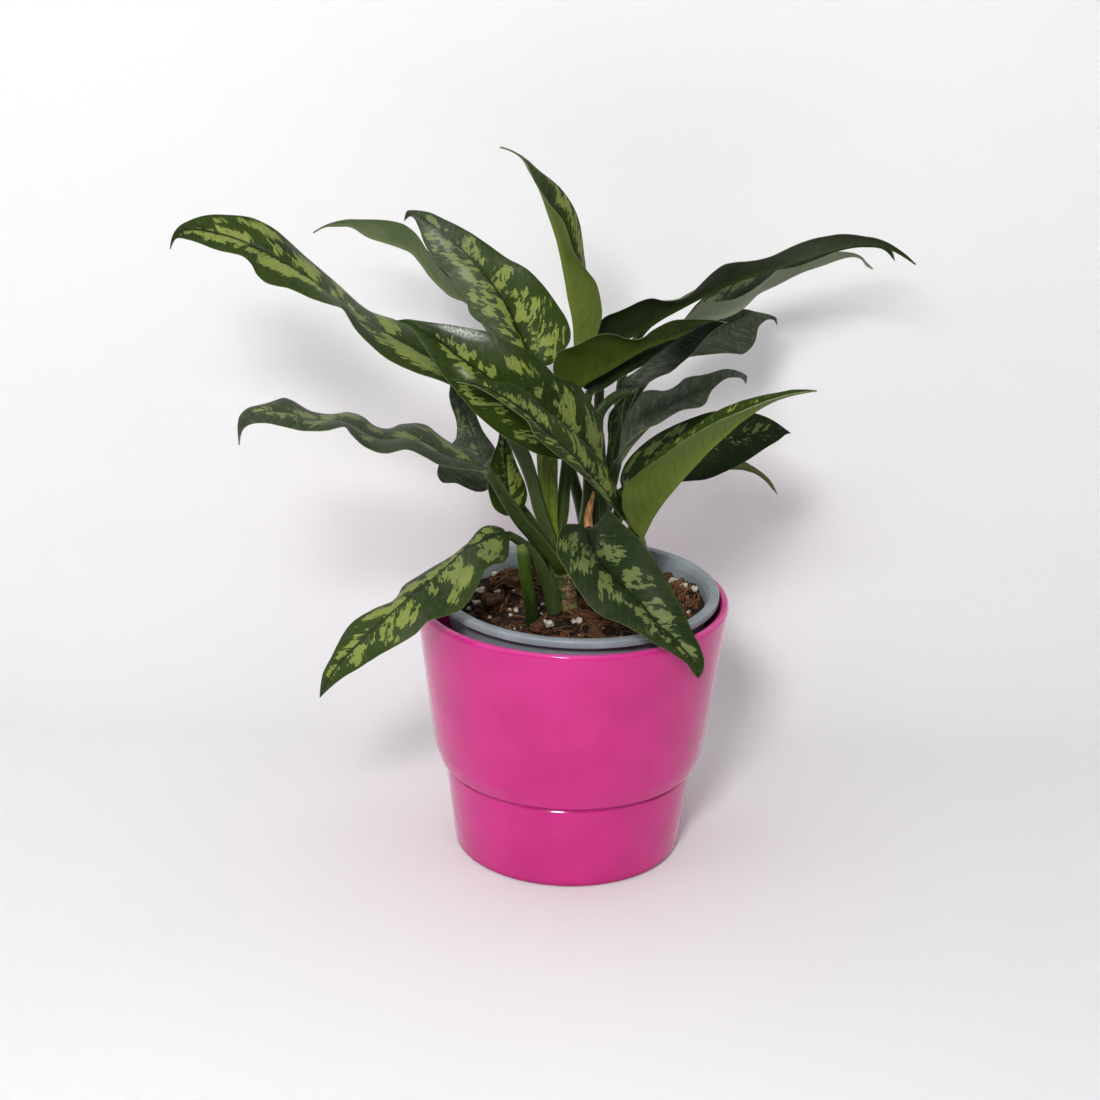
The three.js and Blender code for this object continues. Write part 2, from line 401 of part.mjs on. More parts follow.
      [45.4, 65.8, 161.6, 44.9, 62.8, 164.5, 44.0, 60.4, 167.2],
      [52.6, 72.0, 160.0, 51.7, 67.1, 165.8, 50.0, 62.9, 171.1],
      [62.5, 78.5, 158.5, 61.6, 72.5, 166.2, 59.9, 67.5, 173.3],
      [73.2, 82.6, 160.0, 73.1, 77.1, 165.0, 72.1, 72.5, 171.6],
      [84.2, 84.6, 159.8, 84.5, 80.5, 163.6, 84.0, 77.1, 166.6],
      [93.2, 85.5, 155.7, 93.7, 83.3, 157.9, 93.5, 81.4, 159.3],
      [98.3, 84.8, 150.7, 98.8, 84.0, 151.7, 99.0, 83.4, 152.6],
      [101.5, 84.0, 147.6, 101.5, 84.0, 147.6, 101.5, 84.0, 147.6],
    ],
  },
  leaf_15: {
    shoot: 'cane_back', pale: false,
    petiole: [[5.9, 42.7, 119.6, 4.2], [9.2, 38.0, 131.8, 7.0], [9.6, 41.0, 154.8, 6.0], [10.3, 44.0, 181.5, 5.4], [10.6, 45.0, 206.0, 4.8], [10.5, 46.0, 225.2, 4.2]],
    blade: [
      [10.5, 46.0, 225.3, 10.5, 46.0, 225.2, 10.5, 46.0, 225.3],
      [9.7, 55.2, 233.3, 16.4, 48.4, 232.6, 8.8, 42.5, 237.3],
      [22.5, 63.6, 239.9, 29.3, 52.3, 239.3, 17.5, 42.5, 249.2],
      [42.7, 72.5, 244.8, 46.3, 58.1, 248.3, 37.4, 45.6, 254.8],
      [62.3, 79.0, 254.9, 65.6, 64.1, 256.8, 57.6, 51.2, 263.0],
      [83.0, 82.7, 263.7, 85.9, 69.3, 263.2, 78.5, 57.7, 271.1],
      [104.6, 83.8, 270.9, 106.3, 73.3, 269.9, 100.8, 64.2, 277.9],
      [124.7, 82.8, 276.7, 125.5, 75.9, 275.0, 122.1, 70.0, 282.4],
      [141.7, 79.3, 276.9, 141.8, 75.8, 276.3, 140.7, 72.7, 280.0],
      [154.1, 75.0, 271.7, 154.1, 74.0, 271.4, 153.9, 73.1, 272.8],
      [159.5, 72.0, 268.2, 159.5, 72.0, 268.2, 159.5, 72.0, 268.2],
    ],
  },
  leaf_16: {
    shoot: 'cane_back', pale: false,
    petiole: [[7.6, 50.7, 119.6, 4.2], [5.0, 40.0, 128.9, 6.5], [11.7, 50.0, 151.7, 6.0], [16.7, 60.0, 168.8, 5.4], [20.8, 70.0, 183.5, 4.8], [27.3, 79.0, 199.8, 4.4], [40.5, 86.0, 219.8, 4.0]],
    blade: [
      [40.5, 86.0, 219.8, 40.5, 86.0, 219.8, 40.5, 86.0, 219.8],
      [43.8, 93.9, 224.7, 45.1, 88.5, 225.0, 43.5, 83.9, 227.0],
      [51.9, 101.5, 230.7, 53.7, 92.4, 230.3, 51.4, 84.9, 234.7],
      [61.9, 108.8, 240.4, 67.4, 97.3, 234.0, 62.5, 87.7, 243.6],
      [75.7, 112.9, 247.9, 81.5, 101.0, 239.4, 78.3, 91.1, 245.6],
      [90.7, 115.2, 253.6, 93.8, 104.4, 247.9, 91.5, 95.5, 254.0],
      [106.3, 114.3, 257.3, 107.6, 105.9, 254.7, 104.7, 98.9, 261.6],
      [120.4, 112.5, 261.2, 121.0, 107.0, 259.5, 119.2, 102.4, 265.3],
      [132.2, 109.4, 263.9, 132.0, 106.5, 263.5, 131.6, 104.2, 266.1],
      [140.4, 105.2, 261.3, 140.1, 104.4, 260.7, 140.1, 103.7, 261.6],
      [143.8, 103.0, 258.4, 143.9, 103.0, 258.4, 143.8, 103.0, 258.4],
    ],
  },
  leaf_17: {
    shoot: 'cane_back_left', pale: true,
    petiole: [[-4.3, 36.0, 119.6, 4.2], [-3.8, 36.0, 124.0, 4.3], [0.5, 24.0, 134.9, 6.5], [4.7, 23.0, 153.5, 5.6], [6.0, 21.0, 174.1, 5.0], [3.6, 18.0, 194.6, 4.6], [-1.4, 15.0, 210.8, 4.2]],
    blade: [
      [-4.2, 14.0, 214.0, -4.2, 14.0, 213.9, -4.2, 14.0, 214.0],
      [-3.5, 19.0, 218.1, -2.5, 14.0, 218.8, -8.0, 8.6, 221.0],
      [-1.0, 22.3, 224.9, 2.9, 14.0, 224.3, -11.3, 5.0, 231.3],
      [6.1, 25.6, 232.1, 11.6, 15.0, 229.1, -5.6, 3.5, 241.8],
      [16.7, 28.3, 236.2, 20.9, 17.4, 234.1, 6.7, 5.5, 247.4],
      [27.9, 29.5, 239.0, 30.4, 19.7, 238.8, 20.0, 9.0, 246.2],
      [38.5, 30.8, 243.3, 40.7, 23.1, 241.9, 32.5, 14.7, 247.9],
      [48.8, 31.3, 245.8, 50.3, 26.3, 244.4, 44.0, 20.8, 252.1],
      [57.6, 31.4, 247.4, 58.2, 28.8, 246.8, 54.9, 25.9, 251.2],
      [64.5, 31.1, 248.6, 64.7, 30.4, 248.3, 63.7, 29.6, 249.8],
      [68.0, 31.0, 248.8, 68.1, 31.0, 248.8, 68.0, 31.0, 248.8],
    ],
  },
  leaf_18: {
    shoot: 'cane_back', pale: false,
    petiole: [[2.6, 50.2, 119.6, 4.2], [10.5, 50.0, 127.4, 5.6], [14.8, 56.0, 149.6, 5.2], [17.8, 63.0, 165.3, 4.8], [21.5, 71.0, 178.1, 4.6], [26.7, 80.0, 190.8, 4.4], [32.0, 87.0, 200.6, 4.0], [43.2, 95.0, 211.3, 3.6]],
    blade: [
      [43.2, 95.0, 211.3, 43.2, 95.0, 211.3, 43.2, 95.0, 211.3],
      [43.4, 103.3, 214.6, 46.2, 97.8, 214.1, 47.6, 91.9, 213.0],
      [45.5, 110.6, 220.0, 51.8, 101.6, 217.4, 54.8, 91.7, 214.7],
      [55.0, 116.2, 225.6, 60.8, 105.2, 220.3, 64.8, 93.3, 215.9],
      [67.0, 118.6, 229.4, 71.4, 108.4, 223.0, 76.4, 97.3, 215.9],
      [79.2, 118.1, 232.7, 81.6, 110.6, 226.5, 86.8, 102.4, 218.1],
      [90.1, 116.0, 232.3, 90.6, 111.9, 229.9, 89.9, 107.5, 226.7],
      [98.2, 114.4, 230.8, 97.7, 113.0, 230.5, 96.0, 111.5, 229.9],
      [99.5, 112.0, 226.9, 99.5, 112.0, 226.9, 99.5, 112.0, 226.9],
    ],
  },
  leaf_19: {
    shoot: 'cane_back_right', pale: false,
    petiole: [[15.1, 35.4, 119.6, 4.2], [12.1, 33.0, 129.7, 6.0], [14.6, 36.0, 146.5, 5.2], [17.5, 40.0, 162.9, 4.6], [20.5, 44.0, 175.7, 4.0]],
    blade: [
      [20.5, 44.0, 175.7, 20.5, 44.0, 175.7, 20.5, 44.0, 175.7],
      [21.1, 51.8, 180.0, 23.2, 45.9, 180.3, 22.3, 41.4, 182.0],
      [23.1, 58.7, 188.4, 28.6, 48.8, 186.6, 27.8, 41.4, 188.8],
      [28.8, 64.8, 199.9, 37.0, 52.8, 194.4, 37.6, 43.8, 194.7],
      [42.3, 67.9, 204.4, 48.0, 56.8, 201.6, 49.2, 48.4, 200.5],
      [55.9, 68.7, 211.8, 59.9, 60.5, 207.5, 61.9, 54.4, 203.0],
      [69.4, 67.7, 215.5, 70.5, 63.3, 212.8, 68.7, 60.0, 211.3],
      [79.6, 67.5, 214.2, 79.2, 65.9, 214.1, 77.1, 64.8, 212.8],
      [81.4, 65.0, 209.6, 81.4, 65.0, 209.6, 81.4, 65.0, 209.6],
    ],
  },
  leaf_20: {
    shoot: 'cane_back_right', pale: false,
    petiole: [[17.9, 26.6, 119.6, 4.2], [18.1, 26.1, 124.0, 4.3], [15.4, 18.0, 141.5, 5.4], [13.3, 17.0, 163.3, 5.2], [10.8, 15.0, 183.6, 5.0], [9.4, 13.0, 201.1, 5.0], [10.9, 11.0, 210.9, 5.0], [14.9, 10.0, 216.5, 4.8], [19.7, 9.0, 220.0, 4.4], [25.1, 7.0, 222.4, 4.0]],
    blade: [
      [25.0, 7.0, 222.4, 25.1, 7.0, 222.4, 25.1, 7.0, 222.4],
      [20.4, 9.1, 222.7, 26.2, 5.7, 226.5, 28.2, 1.2, 225.5],
      [22.3, 9.6, 227.8, 29.2, 3.9, 232.2, 32.9, -3.5, 229.8],
      [30.4, 8.6, 233.2, 34.5, 1.6, 239.0, 39.6, -7.4, 234.4],
      [38.6, 6.7, 240.8, 41.1, 0.2, 245.6, 46.1, -8.1, 240.4],
      [46.7, 3.8, 248.4, 48.3, -1.0, 251.4, 52.3, -7.1, 246.2],
      [54.1, 1.7, 254.7, 55.3, -0.8, 255.3, 57.2, -4.2, 251.6],
      [60.5, 1.2, 256.8, 61.0, 0.3, 256.2, 61.6, -0.9, 254.4],
      [64.8, 1.0, 255.9, 64.8, 1.0, 255.9, 64.8, 1.0, 255.9],
    ],
  },
  leaf_21: {
    shoot: 'cane_back_right', pale: false,
    petiole: [[13.4, 27.6, 119.6, 4.2], [13.1, 27.2, 124.0, 4.3], [13.9, 27.0, 147.2, 4.5], [14.9, 28.0, 164.5, 4.0], [15.9, 29.0, 179.1, 3.6], [16.5, 30.0, 188.6, 3.2]],
    blade: [
      [16.5, 30.0, 188.6, 16.5, 30.0, 188.6, 16.5, 30.0, 188.6],
      [15.8, 27.5, 191.3, 16.5, 30.0, 190.5, 17.3, 32.5, 189.5],
      [15.0, 25.9, 194.7, 16.4, 30.0, 193.4, 18.3, 34.1, 191.6],
      [14.5, 25.8, 198.9, 16.6, 30.8, 197.1, 19.5, 35.7, 194.8],
      [14.9, 26.9, 203.3, 17.1, 31.6, 201.3, 20.2, 36.2, 198.9],
      [16.8, 29.4, 206.7, 18.3, 32.8, 205.2, 20.9, 36.2, 203.2],
      [19.4, 32.5, 209.0, 20.2, 34.3, 208.1, 21.8, 36.2, 206.9],
      [21.5, 34.7, 210.5, 21.8, 35.3, 210.2, 22.5, 36.0, 209.7],
      [23.0, 36.0, 211.4, 23.0, 36.0, 211.4, 23.0, 36.0, 211.4],
    ],
  },
  leaf_22: {
    shoot: 'cane_back', pale: true,
    petiole: [[9.7, 46.1, 119.6, 4.2], [13.3, 52.0, 130.3, 6.0], [15.7, 56.0, 149.6, 5.4], [18.2, 60.0, 166.3, 5.0], [20.2, 63.0, 181.7, 4.6], [20.8, 67.0, 198.6, 4.4], [23.3, 75.0, 214.4, 4.2], [30.4, 83.0, 228.4, 4.0], [40.9, 88.0, 237.6, 3.8], [50.5, 90.0, 243.5, 3.6], [59.0, 91.0, 248.4, 3.6]],
    blade: [
      [59.1, 91.0, 248.4, 59.0, 91.0, 248.4, 59.1, 91.0, 248.4],
      [63.8, 94.6, 252.0, 64.2, 91.0, 251.7, 64.7, 88.7, 250.5],
      [71.7, 97.0, 256.7, 72.4, 91.0, 255.6, 72.8, 87.2, 254.3],
      [83.7, 98.5, 260.3, 83.9, 90.8, 259.3, 83.8, 86.0, 258.8],
      [96.7, 97.6, 263.9, 96.5, 89.7, 262.6, 96.2, 84.7, 261.7],
      [109.4, 95.3, 268.3, 108.9, 88.1, 266.3, 108.6, 83.6, 264.6],
      [121.9, 91.9, 272.7, 120.9, 86.3, 271.0, 120.1, 82.9, 270.0],
      [133.6, 87.8, 275.9, 132.2, 84.1, 274.2, 131.3, 81.9, 273.2],
      [143.5, 84.8, 275.6, 142.1, 82.9, 274.4, 141.1, 81.7, 273.7],
      [149.7, 81.5, 271.6, 148.8, 80.9, 271.2, 148.0, 80.6, 270.7],
      [150.7, 80.0, 267.9, 150.7, 80.0, 267.8, 150.7, 80.0, 267.8],
    ],
  },
  leaf_23: {
    shoot: 'cane_back_right', pale: false,
    petiole: [[12.0, 32.0, 119.6, 4.2], [11.5, 32.1, 124.0, 4.3], [12.8, 28.0, 137.7, 5.6], [8.8, 26.0, 160.0, 5.0], [6.5, 25.0, 177.7, 4.8], [4.5, 24.0, 197.6, 4.6], [4.2, 23.0, 210.0, 4.2], [5.4, 22.0, 215.6, 4.0]],
    blade: [
      [5.4, 22.0, 215.6, 5.4, 22.0, 215.6, 5.4, 22.0, 215.6],
      [2.4, 25.5, 217.8, 8.3, 22.6, 218.6, 9.4, 20.6, 217.1],
      [6.7, 29.3, 222.2, 13.1, 24.4, 222.7, 15.1, 21.1, 220.3],
      [15.1, 32.8, 226.7, 20.2, 26.8, 227.7, 22.3, 22.8, 225.2],
      [25.0, 35.2, 231.8, 29.2, 29.7, 231.9, 31.3, 26.0, 229.4],
      [35.8, 36.8, 235.2, 38.5, 32.7, 235.6, 40.3, 30.0, 233.4],
      [45.1, 37.7, 239.0, 46.6, 35.5, 238.9, 48.0, 34.0, 237.2],
      [51.9, 38.4, 241.6, 52.6, 37.6, 241.4, 53.3, 37.1, 240.6],
      [56.3, 39.0, 243.1, 56.4, 39.0, 243.1, 56.3, 39.0, 243.1],
    ],
  },
};

// ---------------------------------------------------------------- outer pot
{
  const w = POT_WALL, s = POT_STEP_R, z = POT_STEP_Z, h = POT_HEIGHT, r = POT_RIM_R;
  add('cachepot', turned([
    [0, 0], [POT_FOOT_R - 2.6, 0], [POT_FOOT_R - 0.7, 0.9], [POT_FOOT_R, 2.8],
    [s - 0.6, z - 1.5], [s - 1.3, z - 0.5], [s - 0.4, z + 0.4],
    [s + 1.3, z + 1.2], [s + 2.7, z + 3.4], [s + 3.8, z + 6.6], [s + 4.9, z + 11.5], [s + 6.2, z + 20.5],
    [r - 0.35, h - 3.2], [r, h - 1.9], [r - 0.7, h - 0.6], [r - 2.1, h], [r - 3.6, h - 0.6], [r - w, h - 2.2],
    [s + 6.2 - w, z + 20.5], [s + 2.4 - w, z + 9], [s - w - 0.4, z - 2],
    [POT_FOOT_R - w, POT_FLOOR + 1.6], [POT_FOOT_R - w - 1.4, POT_FLOOR], [0, POT_FLOOR],
  ]), GLAZE);
}

// ---------------------------------------------------------------- grower's pot
const growerWall = (z) => GROWER_BASE_R + (GROWER_RIM_R - 4.2 - GROWER_BASE_R) * (z - POT_FLOOR) / (GROWER_RIM_Z - POT_FLOOR);
{
  const t = GROWER_WALL, z0 = POT_FLOOR + GAP, z1 = GROWER_RIM_Z, lip = GROWER_LIP;
  const shell = turned([
    [0, z0], [GROWER_BASE_R, z0], [growerWall(z1 - lip), z1 - lip + 0.6],
    [GROWER_RIM_R - 1.1, z1 - lip + 0.2], [GROWER_RIM_R - 0.2, z1 - lip], [GROWER_RIM_R, z1 - 0.9], [GROWER_RIM_R - 0.9, z1],
    [GROWER_RIM_R - 4.6, z1 - 0.2], [growerWall(z1 - lip) - t, z1 - 2.2],
    [growerWall(z0 + t) - t, z0 + t], [0, z0 + t],
  ]);
  let solid = toSolid(shell);
  for (let i = 0; i < DRAIN_HOLES; i++) {
    const a = (i + 0.5) * 2 * Math.PI / DRAIN_HOLES;
    const c = new THREE.CylinderGeometry(DRAIN_R, DRAIN_R, 8, 10);
    c.rotateX(Math.PI / 2);
    c.translate(DRAIN_PCR * Math.cos(a), DRAIN_PCR * Math.sin(a), z0);
    solid = solid.subtract(toSolid(c));
  }
  const g = fromSolid(solid);
  g.translate(GROWER_X, GROWER_Y, 0);
  add('nursery_pot', g, GROWER);
}

// ---------------------------------------------------------------- stems and leaves
const UP = new THREE.Vector3(0, 0, 1);
const catmull = (points) => new THREE.CatmullRomCurve3(points, false, 'centripetal');

// A round stalk through [x, y, z, diameter] stations; grow widens it for clearance cuts.
function stalkRings(stations, side, steps, grow = 0, sides = 10) {
  const curve = catmull(stations.map(v3));
  const rings = [];
  for (let i = 0; i <= steps; i++) {
    const u = i / steps, p = curve.getPoint(u), t = curve.getTangent(u).normalize();
    if (i === 0) p.addScaledVector(t, -grow);
    if (i === steps) p.addScaledVector(t, grow);
    const f = u * (stations.length - 1), k = Math.min(Math.floor(f), stations.length - 2);
    const rad = THREE.MathUtils.lerp(stations[k][3], stations[k + 1][3], f - k) / 2 + grow;
    const w = side.clone().addScaledVector(t, -side.dot(t)).normalize();
    const n = new THREE.Vector3().crossVectors(w, t).normalize();
    const ring = [];
    for (let j = 0; j < sides; j++) {
      const a = Math.PI * (0.9 - 2 * j / sides);
      ring.push(p.clone().addScaledVector(w, rad * Math.cos(a)).addScaledVector(n, rad * Math.sin(a)));
    }
    rings.push(ring);
  }
  return rings;
}

// Blade rings from stations of left margin, midrib and right margin.
function bladeRings(stations, ribStart) {
  const L = stations.map((s) => v3(s.slice(0, 3)));
  const M = stations.map((s) => v3(s.slice(3, 6)));
  const R = stations.map((s) => v3(s.slice(6, 9)));
  const rings = [], last = stations.length - 1;
  for (let i = 1; i <= last; i++) {
    const t = M[Math.min(i + 1, last)].clone().sub(M[i - 1]).normalize();
    if (i === last) {
      const w = R[last - 1].clone().sub(L[last - 1]).normalize(), n = new THREE.Vector3().crossVectors(w, t).normalize();
      const ring = [];
      for (let j = 0; j < 10; j++) {
        const a = Math.PI * (0.9 - 2 * j / 10);
        ring.push(M[last].clone().addScaledVector(w, 0.35 * Math.cos(a)).addScaledVector(n, 0.35 * Math.sin(a)));
      }
      rings.push(ring);
      continue;
    }
    const hl = M[i].clone().sub(L[i]), hr = R[i].clone().sub(M[i]);
    const nl = new THREE.Vector3().crossVectors(hl, t).normalize();
    const nr = new THREE.Vector3().crossVectors(hr, t).normalize();
    const nm = nl.clone().add(nr).normalize();
    const l = L[i].clone().add(M[i]).multiplyScalar(0.5).addScaledVector(nl, 0.07 * hl.length());
    const r = R[i].clone().add(M[i]).multiplyScalar(0.5).addScaledVector(nr, 0.07 * hr.length());
    const e = LEAF_T, rib = THREE.MathUtils.lerp(ribStart, 0.2, Math.min(1, i / last));
    rings.push([
      L[i].clone().addScaledVector(nl, e), l.clone().addScaledVector(nl, e), M[i].clone().addScaledVector(nm, e),
      r.clone().addScaledVector(nr, e), R[i].clone().addScaledVector(nr, e),
      R[i].clone().addScaledVector(nr, -e), r.clone().addScaledVector(nr, -e), M[i].clone().addScaledVector(nm, -e - rib),
      l.clone().addScaledVector(nl, -e), L[i].clone().addScaledVector(nl, -e),
    ]);
  }
  return rings;
}

// Canes: short upright stems with a swollen node, each going down into the mix.
const caneStalk = (c, grow) => loft(stalkRings(c, new THREE.Vector3(1, 0, 0), 5, grow, 12));
const cutters = [];                 // widened stalks, so that later pieces keep clear of earlier ones
const stalkCutters = [];           // the same for canes and leaf stalks among each other
for (const [name, stations] of Object.entries(CANES)) {
  add(name, caneStalk(stations, 0), CANE);
  cutters.push(toSolid(caneStalk(stations, GAP)));
  stalkCutters.push(toSolid(caneStalk(stations, GAP)));
}

for (const [name, leaf] of Object.entries(LEAVES)) {
  const b = leaf.blade, k = Math.floor(b.length / 3);
  const side = v3(b[k].slice(6, 9)).sub(v3(b[k].slice(0, 3))).normalize();
  const stalk = stalkRings(leaf.petiole, side, PETIOLE_STEPS, 0);
  const rib = leaf.petiole[leaf.petiole.length - 1][3] / 2 - 0.3;
  const geometry = loft([...stalk, ...bladeRings(b, rib)]);
  let cut = null;
  let solid = toSolid(geometry);
  const touching = stalkCutters.filter((c) => solid.intersect(c).volume() > 1e-6);
  if (touching.length) {
    for (const c of touching) solid = solid.subtract(c);
    cut = fromSolid(solid);
  }
  add(name, cut ?? geometry, leaf.pale ? LEAF_PALE : LEAF);
  stalkCutters.push(toSolid(loft(stalkRings(leaf.petiole, side, PETIOLE_STEPS, 1.4 * GAP))));
}

// A cut-off leaf stalk standing alone, and a papery dried sheath.
add('cut_stalk', loft(stalkRings(CUT_STALK, new THREE.Vector3(1, 0, 0), 8, 0)), STUB);
cutters.push(toSolid(loft(stalkRings(CUT_STALK, new THREE.Vector3(1, 0, 0), 8, GAP))));
{
  const rings = DRY_SHEATH.map(([x, y, z, w, t]) => {
    const ring = [];
    for (let j = 0; j < 8; j++) {
      const a = j * Math.PI / 4 + Math.PI / 8;
      ring.push(new THREE.Vector3(x + w * Math.cos(a) / 2, y + t * Math.sin(a) / 2, z));
    }
    return ring;
  });
  add('dry_sheath', loft(rings), SHEATH);
}

// ---------------------------------------------------------------- potting mix
// level of the surface: nearly flat with low swells, banked up against the wall on one side
function level(x, y) {
  let z = SOIL_Z + 0.2 + 0.7 * Math.sin(x * 0.21 + 1.3) * Math.cos(y * 0.19 - 0.4) + 0.45 * Math.sin(x * 0.43 + y * 0.39);
  for (const [bx, by, h, r] of BANKS) z += h * Math.exp(-((x - bx) ** 2 + (y - by) ** 2) / (r * r));
  return z;
}

// small deterministic spread of values for the crumbs
let seed = 20;
const spread = () => {
  seed = (seed * 16807) % 2147483647;
  return seed / 2147483647 - 0.5;
};

// a crumb: an eight-cornered or icosahedral lump, squashed and knocked out of true
function crumb(kind, x, y, l, w, h, yaw, grow) {
  const g0 = kind === 'chip' ? new THREE.BoxGeometry(1, 1, 1, 2, 1, 1) : new THREE.IcosahedronGeometry(0.56, 0);
  const g = mergeVertices((() => { g0.deleteAttribute('normal'); g0.deleteAttribute('uv'); return g0; })(), 1e-4);
  const p = g.getAttribute('position'), pos = [];
  for (let i = 0; i < p.count; i++) {
    const k = kind === 'chip' ? 0.16 : 0.2;
    const q = new THREE.Vector3(p.getX(i) + k * spread(), p.getY(i) + k * spread(), p.getZ(i) + k * spread());
    q.set(q.x * (l + 2 * grow), q.y * (w + 2 * grow), q.z * (h + 2 * grow));
    q.applyAxisAngle(UP, yaw);
    pos.push(q.x + x, q.y + y, q.z + level(x, y) + 0.22 * h);
  }
  return geometryOf(pos, Array.from(g.getIndex().array));
}
for (const [name, kind, x, y, l, w, h, yaw] of CRUMBS) {
  const s0 = seed;
  add(name, crumb(kind, x, y, l, w, h, yaw, 0), kind === 'chip' ? BARK : PERLITE);
  seed = s0;
  cutters.push(toSolid(crumb(kind, x, y, l, w, h, yaw, 1.3 * GAP)));
}

{
  const rings = 8, seg = 40, pos = [], idx = [];
  const wallR = (z) => growerWall(z) - GROWER_WALL - 2.8 * GAP;
  const z0 = POT_FLOOR + GAP + GROWER_WALL + GAP;
  const top = (x, y) => level(x + GROWER_X, y + GROWER_Y);
  // top surface, centre out
  pos.push(0, 0, top(0, 0));
  for (let i = 1; i <= rings; i++) {
    for (let j = 0; j < seg; j++) {
      const a = 2 * Math.PI * j / seg, c = Math.cos(a), s = Math.sin(a);
      const edge = wallR(top(c * 59, s * 59)), r = edge * i / rings;
      pos.push(r * c, r * s, top(r * c, r * s));
    }
  }
  const at = (i, j) => (i === 0 ? 0 : 1 + (i - 1) * seg + (j % seg));
  for (let j = 0; j < seg; j++) idx.push(0, at(1, j), at(1, j + 1));
  for (let i = 1; i < rings; i++) {
    for (let j = 0; j < seg; j++) idx.push(at(i, j), at(i + 1, j), at(i + 1, j + 1), at(i, j), at(i + 1, j + 1), at(i, j + 1));
  }
  // side wall and base
  const base = pos.length / 3;
  for (let j = 0; j < seg; j++) {
    const a = 2 * Math.PI * j / seg, r = wallR(z0);
    pos.push(r * Math.cos(a), r * Math.sin(a), z0);
  }
  for (let j = 0; j < seg; j++) {
    const p = at(rings, j), q = at(rings, j + 1), s = base + j, t = base + (j + 1) % seg;
    idx.push(p, s, t, p, t, q);
  }
  const c = pos.length / 3;
  pos.push(0, 0, z0);
  for (let j = 0; j < seg; j++) idx.push(base + j, c, base + (j + 1) % seg);
  const block = geometryOf(pos, idx);
  block.translate(GROWER_X, GROWER_Y, 0);
  let solid = toSolid(block);
  for (const k of cutters) solid = solid.subtract(k);
  add('potting_mix', fromSolid(solid), MIX);
}

export default plant;
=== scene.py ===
import math

import bpy
import numpy as np
from mathutils import Matrix, Vector


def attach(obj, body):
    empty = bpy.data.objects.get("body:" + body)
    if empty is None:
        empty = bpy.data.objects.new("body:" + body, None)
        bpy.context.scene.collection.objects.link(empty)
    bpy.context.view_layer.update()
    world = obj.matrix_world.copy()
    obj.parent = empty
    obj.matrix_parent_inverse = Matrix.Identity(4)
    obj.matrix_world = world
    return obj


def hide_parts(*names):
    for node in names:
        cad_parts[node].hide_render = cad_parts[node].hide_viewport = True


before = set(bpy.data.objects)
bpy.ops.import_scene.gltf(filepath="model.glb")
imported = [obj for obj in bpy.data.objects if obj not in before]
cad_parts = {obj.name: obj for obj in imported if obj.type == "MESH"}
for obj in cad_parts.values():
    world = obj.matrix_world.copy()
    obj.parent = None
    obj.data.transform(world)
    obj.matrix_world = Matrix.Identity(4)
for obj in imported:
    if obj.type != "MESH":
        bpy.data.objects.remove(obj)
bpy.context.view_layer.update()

MM = 0.001

